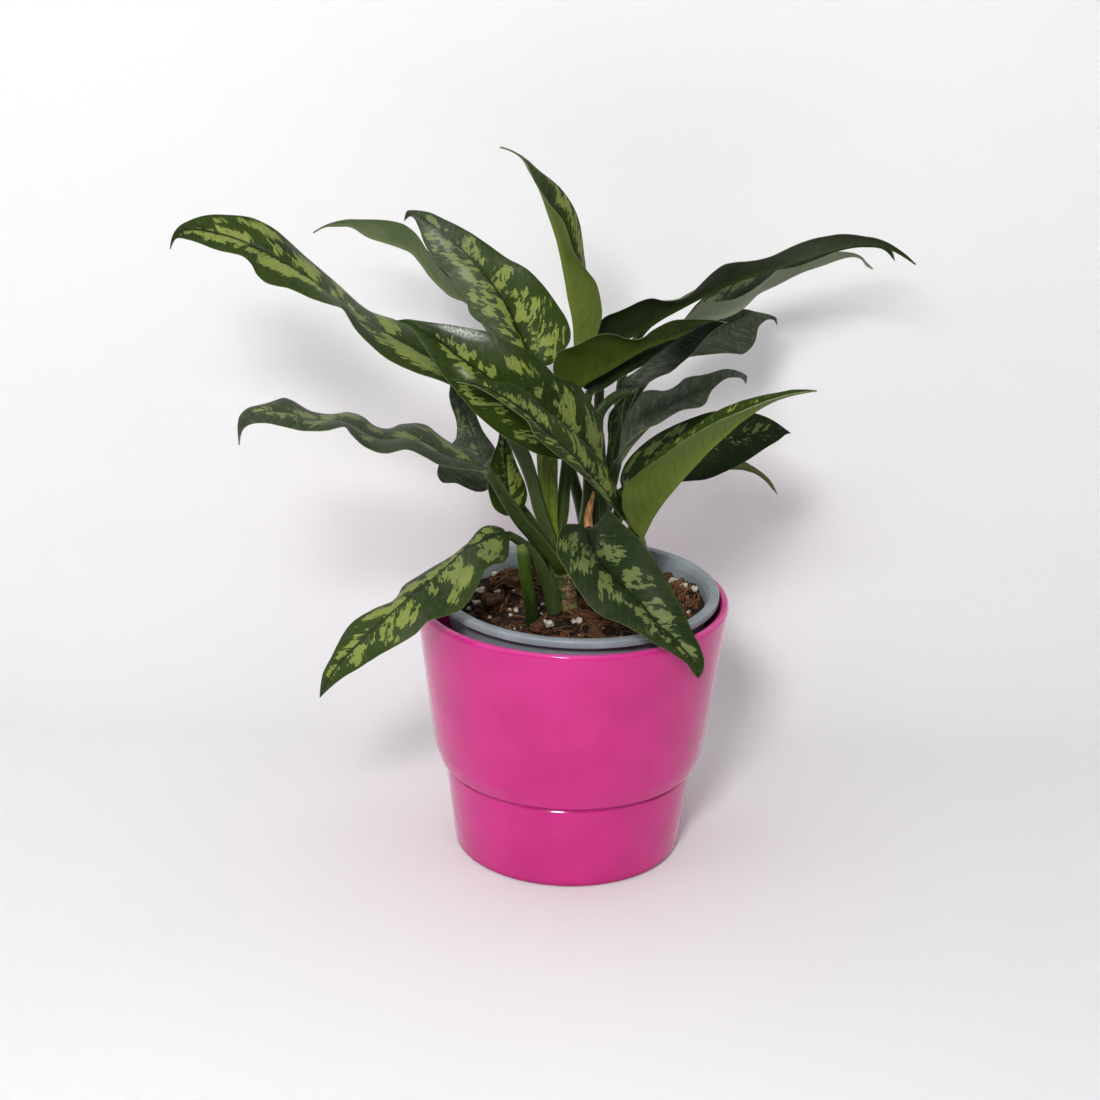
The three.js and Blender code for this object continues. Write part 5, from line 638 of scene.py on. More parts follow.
            [0.8, 23.3, 227.6, 5.5, 14.1, 226.0, -11.0, 4.1, 235.7],
            [2.5, 24.3, 229.5, 7.8, 14.4, 227.2, -9.6, 3.7, 239.3],
            [4.6, 25.1, 231.2, 10.1, 14.8, 228.3, -7.7, 3.5, 241.2],
            [6.9, 25.9, 232.6, 12.4, 15.2, 229.5, -4.4, 3.5, 242.1],
            [9.3, 26.7, 233.8, 14.6, 15.8, 230.7, -1.3, 3.9, 243.3],
            [11.9, 27.4, 234.7, 16.9, 16.4, 231.9, 1.6, 4.4, 244.7],
            [14.5, 28.0, 235.5, 19.1, 17.0, 233.1, 4.4, 5.0, 246.3],
            [17.2, 28.4, 236.3, 21.4, 17.5, 234.4, 7.3, 5.6, 247.6],
            [19.9, 28.7, 237.0, 23.6, 18.0, 235.6, 10.5, 6.3, 248.5],
            [22.6, 28.9, 237.6, 25.9, 18.5, 236.8, 13.7, 7.0, 248.4],
            [25.3, 29.2, 238.3, 28.2, 19.0, 237.9, 17.0, 7.9, 247.7],
            [28.0, 29.5, 239.0, 30.5, 19.7, 238.9, 20.1, 9.0, 246.1],
            [30.5, 29.9, 240.0, 32.9, 20.5, 239.7, 23.3, 10.3, 245.1],
            [33.0, 30.3, 241.1, 35.4, 21.4, 240.5, 26.7, 11.7, 244.9],
            [35.6, 30.6, 242.3, 37.9, 22.2, 241.2, 29.6, 13.1, 245.7],
            [38.2, 30.8, 243.2, 40.4, 23.0, 241.9, 32.1, 14.6, 247.7],
            [40.8, 31.0, 244.0, 42.9, 23.9, 242.4, 34.9, 16.1, 249.3],
            [43.5, 31.1, 244.7, 45.4, 24.7, 243.0, 37.8, 17.6, 250.6],
            [46.2, 31.2, 245.3, 47.9, 25.5, 243.7, 40.9, 19.2, 251.7],
            [48.9, 31.3, 245.9, 50.4, 26.3, 244.4, 44.1, 20.9, 252.1],
            [51.7, 31.4, 246.3, 52.9, 27.1, 245.2, 47.5, 22.5, 251.9],
            [54.4, 31.4, 246.8, 55.3, 27.9, 245.9, 50.9, 24.1, 251.6],
            [57.1, 31.4, 247.3, 57.8, 28.7, 246.7, 54.4, 25.7, 251.2],
            [59.8, 31.3, 247.9, 60.3, 29.3, 247.4, 57.8, 27.2, 250.8],
            [62.6, 31.2, 248.3, 62.9, 30.0, 248.0, 61.2, 28.6, 250.3],
            [65.3, 31.1, 248.6, 65.5, 30.5, 248.4, 64.7, 29.9, 249.6],
            [68.0, 31.0, 248.8, 68.1, 31.0, 248.8, 68.0, 31.0, 248.8],
        ],
    },
    "leaf_18": {
        "pet": [[2.6, 50.2, 119.6, 4.2], [10.5, 50.0, 127.4, 5.6], [14.8, 56.0, 149.6, 5.2], [17.8, 63.0, 165.3, 4.8], [21.5, 71.0, 178.1, 4.6], [26.7, 80.0, 190.8, 4.4], [32.0, 87.0, 200.6, 4.0], [43.2, 95.0, 211.3, 3.6]],
        "blade": [
            [43.2, 95.0, 211.3, 43.2, 95.0, 211.3, 43.2, 95.0, 211.3],
            [43.3, 100.7, 213.1, 44.9, 96.7, 213.0, 45.8, 92.4, 212.6],
            [43.4, 104.3, 215.3, 46.8, 98.3, 214.6, 48.5, 91.8, 213.3],
            [43.5, 107.3, 217.4, 48.8, 99.8, 216.0, 51.2, 91.6, 213.9],
            [44.8, 109.9, 219.4, 51.0, 101.2, 217.1, 53.9, 91.6, 214.5],
            [47.3, 112.1, 221.3, 53.4, 102.4, 218.1, 56.6, 91.9, 215.0],
            [49.8, 113.9, 223.0, 55.9, 103.5, 219.0, 59.4, 92.3, 215.4],
            [52.4, 115.3, 224.4, 58.5, 104.5, 219.7, 62.2, 92.7, 215.6],
            [55.2, 116.3, 225.7, 61.0, 105.3, 220.4, 65.0, 93.3, 215.9],
            [58.1, 117.0, 226.8, 63.6, 106.0, 221.0, 67.8, 94.1, 216.1],
            [61.1, 117.6, 227.6, 66.2, 106.8, 221.6, 70.6, 94.9, 216.3],
            [64.1, 118.1, 228.4, 68.8, 107.5, 222.3, 73.5, 96.0, 216.3],
            [67.0, 118.6, 229.4, 71.4, 108.4, 223.0, 76.4, 97.3, 215.9],
            [69.9, 118.9, 230.4, 73.9, 109.2, 223.8, 79.4, 98.7, 215.3],
            [72.9, 118.9, 231.2, 76.4, 109.9, 224.6, 82.2, 100.0, 214.9],
            [75.9, 118.6, 232.0, 78.9, 110.3, 225.5, 84.7, 101.2, 216.1],
            [78.9, 118.1, 232.7, 81.4, 110.6, 226.5, 86.7, 102.3, 217.9],
            [82.0, 117.5, 233.2, 83.9, 110.9, 227.4, 88.2, 103.6, 220.2],
            [85.0, 117.0, 233.1, 86.4, 111.2, 228.4, 89.0, 105.0, 222.6],
            [88.0, 116.4, 232.5, 88.9, 111.6, 229.3, 89.4, 106.4, 225.1],
            [91.1, 115.9, 232.1, 91.4, 112.1, 230.1, 90.3, 108.0, 227.3],
            [94.1, 115.6, 231.6, 94.1, 112.8, 230.7, 92.5, 109.9, 229.0],
            [97.1, 114.7, 231.0, 96.8, 113.0, 230.7, 95.1, 111.1, 230.0],
            [99.3, 113.7, 229.8, 98.8, 112.9, 229.6, 97.9, 112.0, 229.3],
            [99.5, 112.0, 226.9, 99.5, 112.0, 226.9, 99.5, 112.0, 226.9],
        ],
    },
    "leaf_19": {
        "pet": [[15.1, 35.4, 119.6, 4.2], [12.1, 33.0, 129.7, 6.0], [14.6, 36.0, 146.5, 5.2], [17.5, 40.0, 162.9, 4.6], [20.5, 44.0, 175.7, 4.0]],
        "blade": [
            [20.5, 44.0, 175.7, 20.5, 44.0, 175.7, 20.5, 44.0, 175.7],
            [20.8, 49.5, 178.0, 22.1, 45.1, 178.5, 21.4, 41.8, 179.8],
            [21.3, 52.8, 181.0, 23.8, 46.2, 181.1, 22.8, 41.3, 183.0],
            [21.9, 55.6, 184.1, 25.7, 47.3, 183.6, 24.8, 41.2, 185.7],
            [22.7, 58.0, 187.3, 27.9, 48.5, 185.9, 27.1, 41.3, 188.1],
            [23.8, 60.2, 190.6, 30.2, 49.6, 188.1, 29.5, 41.7, 190.4],
            [25.2, 62.0, 193.8, 32.5, 50.7, 190.3, 32.0, 42.3, 192.3],
            [26.9, 63.6, 197.0, 34.9, 51.8, 192.4, 34.8, 43.0, 193.7],
            [29.0, 64.9, 200.1, 37.2, 52.9, 194.6, 37.9, 43.9, 194.8],
            [31.2, 65.9, 203.4, 39.7, 53.9, 196.7, 40.7, 44.9, 196.2],
            [34.5, 66.7, 204.8, 42.3, 54.9, 198.6, 43.4, 46.0, 197.8],
            [38.4, 67.4, 204.8, 45.0, 55.9, 200.2, 46.3, 47.2, 199.3],
            [42.3, 67.9, 204.4, 48.0, 56.8, 201.6, 49.2, 48.4, 200.5],
            [46.0, 68.2, 205.6, 51.0, 57.7, 203.0, 52.4, 49.8, 201.0],
            [49.2, 68.5, 207.9, 53.9, 58.6, 204.5, 55.8, 51.2, 201.1],
            [52.1, 68.7, 210.6, 56.8, 59.6, 205.9, 59.0, 52.7, 201.3],
            [55.6, 68.7, 211.8, 59.7, 60.5, 207.4, 61.8, 54.3, 202.8],
            [59.5, 68.6, 212.4, 62.6, 61.3, 208.9, 63.0, 55.8, 205.5],
            [63.2, 68.3, 213.4, 65.5, 62.0, 210.5, 64.5, 57.3, 208.1],
            [66.9, 67.9, 214.8, 68.5, 62.7, 211.9, 66.9, 58.8, 210.1],
            [70.6, 67.7, 215.9, 71.5, 63.6, 213.3, 69.6, 60.5, 211.9],
            [74.4, 67.6, 215.9, 74.7, 64.6, 214.4, 72.5, 62.4, 212.9],
            [78.3, 67.6, 214.7, 78.2, 65.7, 214.2, 76.0, 64.3, 212.9],
            [81.7, 66.9, 213.0, 80.9, 66.0, 212.8, 79.4, 65.4, 212.0],
            [81.4, 65.0, 209.6, 81.4, 65.0, 209.6, 81.4, 65.0, 209.6],
        ],
    },
    "leaf_20": {
        "pet": [[17.9, 26.6, 119.6, 4.2], [18.1, 26.1, 124.0, 4.3], [15.4, 18.0, 141.5, 5.4], [13.3, 17.0, 163.3, 5.2], [10.8, 15.0, 183.6, 5.0], [9.4, 13.0, 201.1, 5.0], [10.9, 11.0, 210.9, 5.0], [14.9, 10.0, 216.5, 4.8], [19.7, 9.0, 220.0, 4.4], [25.1, 7.0, 222.4, 4.0]],
        "blade": [
            [25.0, 7.0, 222.4, 25.1, 7.0, 222.4, 25.1, 7.0, 222.4],
            [21.8, 8.7, 222.2, 25.7, 6.2, 224.9, 26.9, 2.9, 224.4],
            [20.1, 9.3, 223.1, 26.5, 5.4, 227.3, 28.8, 0.5, 226.0],
            [19.6, 9.5, 225.8, 27.5, 4.7, 229.5, 30.6, -1.4, 227.6],
            [21.4, 9.6, 227.3, 28.8, 4.1, 231.5, 32.4, -3.1, 229.2],
            [24.0, 9.6, 228.7, 30.2, 3.5, 233.5, 34.1, -4.4, 230.8],
            [26.4, 9.4, 230.1, 31.7, 2.8, 235.4, 35.9, -5.6, 232.3],
            [28.6, 9.0, 231.6, 33.1, 2.2, 237.3, 37.8, -6.6, 233.5],
            [30.6, 8.6, 233.4, 34.6, 1.6, 239.2, 39.7, -7.4, 234.5],
            [32.5, 8.0, 235.4, 36.1, 1.1, 240.9, 41.4, -7.9, 235.8],
            [34.5, 7.6, 237.3, 37.8, 0.7, 242.5, 43.0, -8.1, 237.3],
            [36.5, 7.2, 239.0, 39.4, 0.4, 244.1, 44.5, -8.2, 238.9],
            [38.6, 6.7, 240.8, 41.1, 0.2, 245.6, 46.1, -8.1, 240.4],
            [40.5, 6.1, 242.8, 42.9, -0.1, 247.1, 47.7, -8.0, 241.8],
            [42.5, 5.3, 244.7, 44.6, -0.5, 248.6, 49.3, -7.9, 243.2],
            [44.5, 4.5, 246.6, 46.3, -0.9, 250.0, 50.8, -7.7, 244.6],
            [46.5, 3.8, 248.3, 48.1, -1.0, 251.3, 52.2, -7.2, 246.1],
            [48.6, 3.2, 250.0, 50.0, -1.0, 252.5, 53.5, -6.5, 247.7],
            [50.6, 2.7, 251.9, 51.9, -1.0, 253.7, 54.8, -5.7, 249.2],
            [52.6, 2.0, 253.7, 53.9, -1.0, 254.7, 56.2, -4.9, 250.7],
            [54.8, 1.7, 255.1, 55.9, -0.7, 255.5, 57.7, -3.8, 252.0],
            [57.2, 1.5, 256.3, 58.1, -0.3, 256.1, 59.2, -2.5, 253.2],
            [59.7, 1.3, 256.8, 60.3, 0.2, 256.2, 61.0, -1.3, 254.2],
            [62.2, 1.1, 256.6, 62.5, 0.6, 256.1, 62.9, -0.1, 255.0],
            [64.8, 1.0, 255.9, 64.8, 1.0, 255.9, 64.8, 1.0, 255.9],
        ],
    },
    "leaf_21": {
        "pet": [[13.4, 27.6, 119.6, 4.2], [13.1, 27.2, 124.0, 4.3], [13.9, 27.0, 147.2, 4.5], [14.9, 28.0, 164.5, 4.0], [15.9, 29.0, 179.1, 3.6], [16.5, 30.0, 188.6, 3.2]],
        "blade": [
            [16.5, 30.0, 188.6, 16.5, 30.0, 188.6, 16.5, 30.0, 188.6],
            [16.1, 28.2, 190.3, 16.5, 30.0, 189.7, 17.0, 31.8, 189.0],
            [15.7, 27.3, 191.7, 16.5, 30.0, 190.8, 17.4, 32.7, 189.7],
            [15.3, 26.6, 193.0, 16.4, 30.0, 191.9, 17.8, 33.4, 190.5],
            [15.1, 26.0, 194.3, 16.4, 30.0, 193.0, 18.2, 34.0, 191.3],
            [14.9, 25.7, 195.6, 16.4, 30.1, 194.1, 18.6, 34.5, 192.2],
            [14.7, 25.6, 196.8, 16.4, 30.3, 195.1, 18.9, 35.0, 193.0],
            [14.6, 25.6, 197.9, 16.5, 30.5, 196.1, 19.2, 35.4, 193.9],
            [14.5, 25.8, 199.0, 16.6, 30.8, 197.2, 19.5, 35.8, 194.8],
            [14.5, 26.0, 200.1, 16.7, 31.0, 198.2, 19.8, 36.0, 195.8],
            [14.6, 26.3, 201.2, 16.8, 31.2, 199.2, 20.0, 36.1, 196.8],
            [14.7, 26.6, 202.2, 17.0, 31.4, 200.3, 20.1, 36.2, 197.8],
            [14.9, 26.9, 203.3, 17.1, 31.6, 201.3, 20.2, 36.2, 198.9],
            [15.1, 27.4, 204.2, 17.3, 31.8, 202.3, 20.4, 36.2, 200.0],
            [15.5, 27.9, 205.1, 17.5, 32.0, 203.3, 20.5, 36.1, 201.0],
            [16.1, 28.5, 205.9, 17.9, 32.3, 204.2, 20.7, 36.1, 202.1],
            [16.8, 29.3, 206.6, 18.3, 32.7, 205.1, 20.9, 36.2, 203.1],
            [17.5, 30.1, 207.3, 18.8, 33.2, 205.9, 21.1, 36.2, 204.2],
            [18.1, 31.0, 208.0, 19.3, 33.6, 206.8, 21.3, 36.2, 205.2],
            [18.9, 31.9, 208.6, 19.8, 34.0, 207.6, 21.6, 36.2, 206.2],
            [19.6, 32.7, 209.2, 20.4, 34.4, 208.4, 21.8, 36.1, 207.3],
            [20.4, 33.6, 209.8, 21.0, 34.8, 209.2, 22.1, 36.1, 208.3],
            [21.2, 34.4, 210.3, 21.6, 35.2, 209.9, 22.4, 36.0, 209.4],
            [22.1, 35.3, 210.9, 22.3, 35.6, 210.7, 22.7, 36.0, 210.4],
            [23.0, 36.0, 211.4, 23.0, 36.0, 211.4, 23.0, 36.0, 211.4],
        ],
    },
    "leaf_22": {
        "pet": [[9.7, 46.1, 119.6, 4.2], [13.3, 52.0, 130.3, 6.0], [15.7, 56.0, 149.6, 5.4], [18.2, 60.0, 166.3, 5.0], [20.2, 63.0, 181.7, 4.6], [20.8, 67.0, 198.6, 4.4], [23.3, 75.0, 214.4, 4.2], [30.4, 83.0, 228.4, 4.0], [40.9, 88.0, 237.6, 3.8], [50.5, 90.0, 243.5, 3.6], [59.0, 91.0, 248.4, 3.6]],
        "blade": [
            [59.1, 91.0, 248.4, 59.0, 91.0, 248.4, 59.1, 91.0, 248.4],
            [61.5, 93.5, 250.3, 61.7, 91.0, 250.2, 62.0, 89.5, 249.5],
            [64.0, 94.7, 252.2, 64.4, 91.0, 251.8, 64.9, 88.7, 250.6],
            [66.6, 95.7, 253.9, 67.2, 91.0, 253.3, 67.8, 88.1, 251.8],
            [69.4, 96.5, 255.5, 70.0, 91.0, 254.6, 70.6, 87.6, 253.1],
            [72.3, 97.2, 257.0, 73.0, 91.0, 255.8, 73.4, 87.2, 254.5],
            [75.3, 97.7, 258.2, 75.9, 91.0, 256.9, 76.2, 86.8, 255.8],
            [78.4, 98.2, 259.1, 78.9, 91.0, 257.9, 79.0, 86.5, 257.0],
            [81.6, 98.5, 259.8, 81.9, 91.0, 258.8, 81.9, 86.3, 258.2],
            [84.8, 98.5, 260.6, 85.0, 90.8, 259.6, 84.8, 85.9, 259.1],
            [88.0, 98.4, 261.5, 88.0, 90.4, 260.4, 87.8, 85.5, 259.9],
            [91.1, 98.1, 262.3, 91.0, 90.1, 261.2, 90.8, 85.1, 260.6],
            [94.3, 97.8, 263.2, 94.1, 89.9, 262.0, 93.8, 84.9, 261.2],
            [97.4, 97.5, 264.1, 97.1, 89.6, 262.7, 96.8, 84.7, 261.8],
            [100.5, 97.2, 265.1, 100.2, 89.4, 263.4, 99.9, 84.5, 262.2],
            [103.5, 96.7, 266.1, 103.2, 89.1, 264.2, 102.9, 84.3, 262.8],
            [106.6, 96.1, 267.1, 106.1, 88.7, 265.2, 105.8, 84.0, 263.5],
            [109.6, 95.2, 268.3, 109.0, 88.1, 266.3, 108.7, 83.6, 264.7],
            [112.5, 94.3, 269.5, 111.9, 87.5, 267.5, 111.4, 83.2, 266.0],
            [115.5, 93.5, 270.7, 114.8, 87.0, 268.6, 114.2, 82.9, 267.3],
            [118.5, 92.7, 271.7, 117.7, 86.7, 269.8, 117.0, 82.9, 268.5],
            [121.6, 92.0, 272.6, 120.6, 86.4, 270.8, 119.8, 82.9, 269.8],
            [124.6, 91.2, 273.5, 123.5, 86.0, 271.8, 122.6, 82.8, 270.9],
            [127.6, 90.2, 274.5, 126.4, 85.5, 272.7, 125.5, 82.6, 271.8],
            [130.6, 89.0, 275.3, 129.4, 84.8, 273.6, 128.5, 82.2, 272.6],
            [133.7, 87.8, 275.9, 132.4, 84.1, 274.2, 131.4, 81.9, 273.2],
            [136.8, 86.8, 276.0, 135.4, 83.7, 274.4, 134.5, 81.8, 273.5],
            [139.9, 85.9, 276.0, 138.5, 83.4, 274.5, 137.6, 81.8, 273.6],
            [143.0, 85.0, 275.7, 141.6, 83.0, 274.5, 140.6, 81.7, 273.7],
            [146.0, 83.8, 274.9, 144.7, 82.4, 274.0, 143.7, 81.5, 273.4],
            [148.5, 82.5, 273.3, 147.3, 81.6, 272.8, 146.4, 81.0, 272.2],
            [150.0, 81.1, 270.9, 149.3, 80.7, 270.6, 148.6, 80.5, 270.1],
            [150.7, 80.0, 267.9, 150.7, 80.0, 267.8, 150.7, 80.0, 267.8],
        ],
    },
    "leaf_23": {
        "pet": [[12.0, 32.0, 119.6, 4.2], [11.5, 32.1, 124.0, 4.3], [12.8, 28.0, 137.7, 5.6], [8.8, 26.0, 160.0, 5.0], [6.5, 25.0, 177.7, 4.8], [4.5, 24.0, 197.6, 4.6], [4.2, 23.0, 210.0, 4.2], [5.4, 22.0, 215.6, 4.0]],
        "blade": [
            [5.4, 22.0, 215.6, 5.4, 22.0, 215.6, 5.4, 22.0, 215.6],
            [2.7, 24.5, 216.5, 7.1, 22.3, 217.4, 7.8, 20.8, 216.5],
            [2.5, 26.0, 218.6, 8.9, 22.7, 219.1, 10.2, 20.5, 217.4],
            [3.2, 27.5, 220.6, 10.7, 23.4, 220.7, 12.4, 20.7, 218.6],
            [5.8, 28.9, 221.8, 12.6, 24.1, 222.2, 14.4, 21.0, 219.9],
            [8.4, 30.1, 222.8, 14.4, 24.8, 223.8, 16.4, 21.3, 221.3],
            [11.0, 31.2, 223.7, 16.3, 25.5, 225.3, 18.4, 21.8, 222.8],
            [13.2, 32.1, 225.1, 18.3, 26.2, 226.6, 20.4, 22.3, 224.1],
            [15.3, 32.9, 226.9, 20.4, 26.9, 227.8, 22.5, 22.9, 225.3],
            [17.5, 33.5, 228.5, 22.5, 27.5, 228.9, 24.7, 23.5, 226.4],
            [19.9, 34.1, 229.9, 24.7, 28.2, 230.0, 26.8, 24.3, 227.5],
            [22.4, 34.7, 231.0, 27.0, 28.9, 230.9, 29.1, 25.1, 228.4],
            [25.0, 35.2, 231.8, 29.2, 29.7, 231.9, 31.3, 26.0, 229.4],
            [27.7, 35.7, 232.7, 31.5, 30.4, 232.8, 33.5, 26.9, 230.3],
            [30.3, 36.1, 233.5, 33.7, 31.2, 233.7, 35.7, 27.9, 231.3],
            [33.0, 36.5, 234.3, 36.0, 31.9, 234.7, 37.9, 28.9, 232.3],
            [35.6, 36.7, 235.1, 38.3, 32.6, 235.6, 40.1, 29.9, 233.3],
            [38.2, 37.0, 236.1, 40.6, 33.4, 236.5, 42.2, 30.9, 234.4],
            [40.8, 37.3, 237.2, 42.8, 34.1, 237.4, 44.4, 32.0, 235.4],
            [43.3, 37.5, 238.3, 45.1, 34.9, 238.3, 46.5, 33.2, 236.5],
            [45.9, 37.8, 239.3, 47.4, 35.8, 239.2, 48.7, 34.4, 237.6],
            [48.5, 38.1, 240.3, 49.6, 36.6, 240.2, 50.7, 35.6, 238.8],
            [51.1, 38.3, 241.3, 51.9, 37.4, 241.1, 52.7, 36.8, 240.1],
            [53.7, 38.6, 242.2, 54.1, 38.2, 242.1, 54.5, 37.9, 241.6],
            [56.3, 39.0, 243.1, 56.4, 39.0, 243.1, 56.3, 39.0, 243.1],
        ],
    },
}
CANES = {
    "cane_front": [[-4.2, 10.2, 88.0, 10.6], [-4.0, 10.2, 104.0, 11.6], [-3.6, 10.2, 113.0, 12.2], [-3.8, 10.3, 122.0, 10.6], [-4.4, 10.4, 129.0, 11.0], [-4.6, 10.4, 132.6, 11.4]],
    "cane_right": [[25.0, 7.0, 88.0, 9.7], [25.3, 7.0, 104.0, 10.5], [24.8, 7.2, 111.0, 11.1], [25.0, 7.0, 120.6, 10.3]],
    "cane_back_right": [[16.5, 31.0, 88.0, 10.6], [16.8, 31.0, 104.0, 11.5], [16.3, 31.2, 111.0, 12.2], [16.5, 31.0, 118.6, 11.3]],
    "cane_back_left": [[-8.5, 36.0, 88.0, 10.6], [-8.2, 36.0, 104.0, 11.5], [-8.7, 36.2, 111.0, 12.2], [-8.5, 36.0, 118.6, 11.3]],
    "cane_back": [[5.5, 47.0, 88.0, 10.6], [5.8, 47.0, 104.0, 11.5], [5.3, 47.2, 111.0, 12.2], [5.5, 47.0, 118.6, 11.3]],
}
CUT_STALK = [[-16.5, -9.0, 100.1, 6.4], [-17.9, -8.5, 110.9, 6.3], [-19.7, -10.0, 125.5, 6.0], [-21.8, -12.0, 138.6, 5.8], [-23.3, -15.4, 150.7, 5.6], [-24.0, -16.0, 153.8, 4.6]]
DRY_SHEATH = [[7.8, 14.0, 142.8, 4.6, 1.6], [6.8, 14.0, 152.8, 4.4, 1.4], [6.6, 14.0, 159.2, 3.6, 1.2], [7.6, 14.0, 165.2, 2.6, 1.0], [8.9, 14.0, 171.1, 1.0, 0.8]]


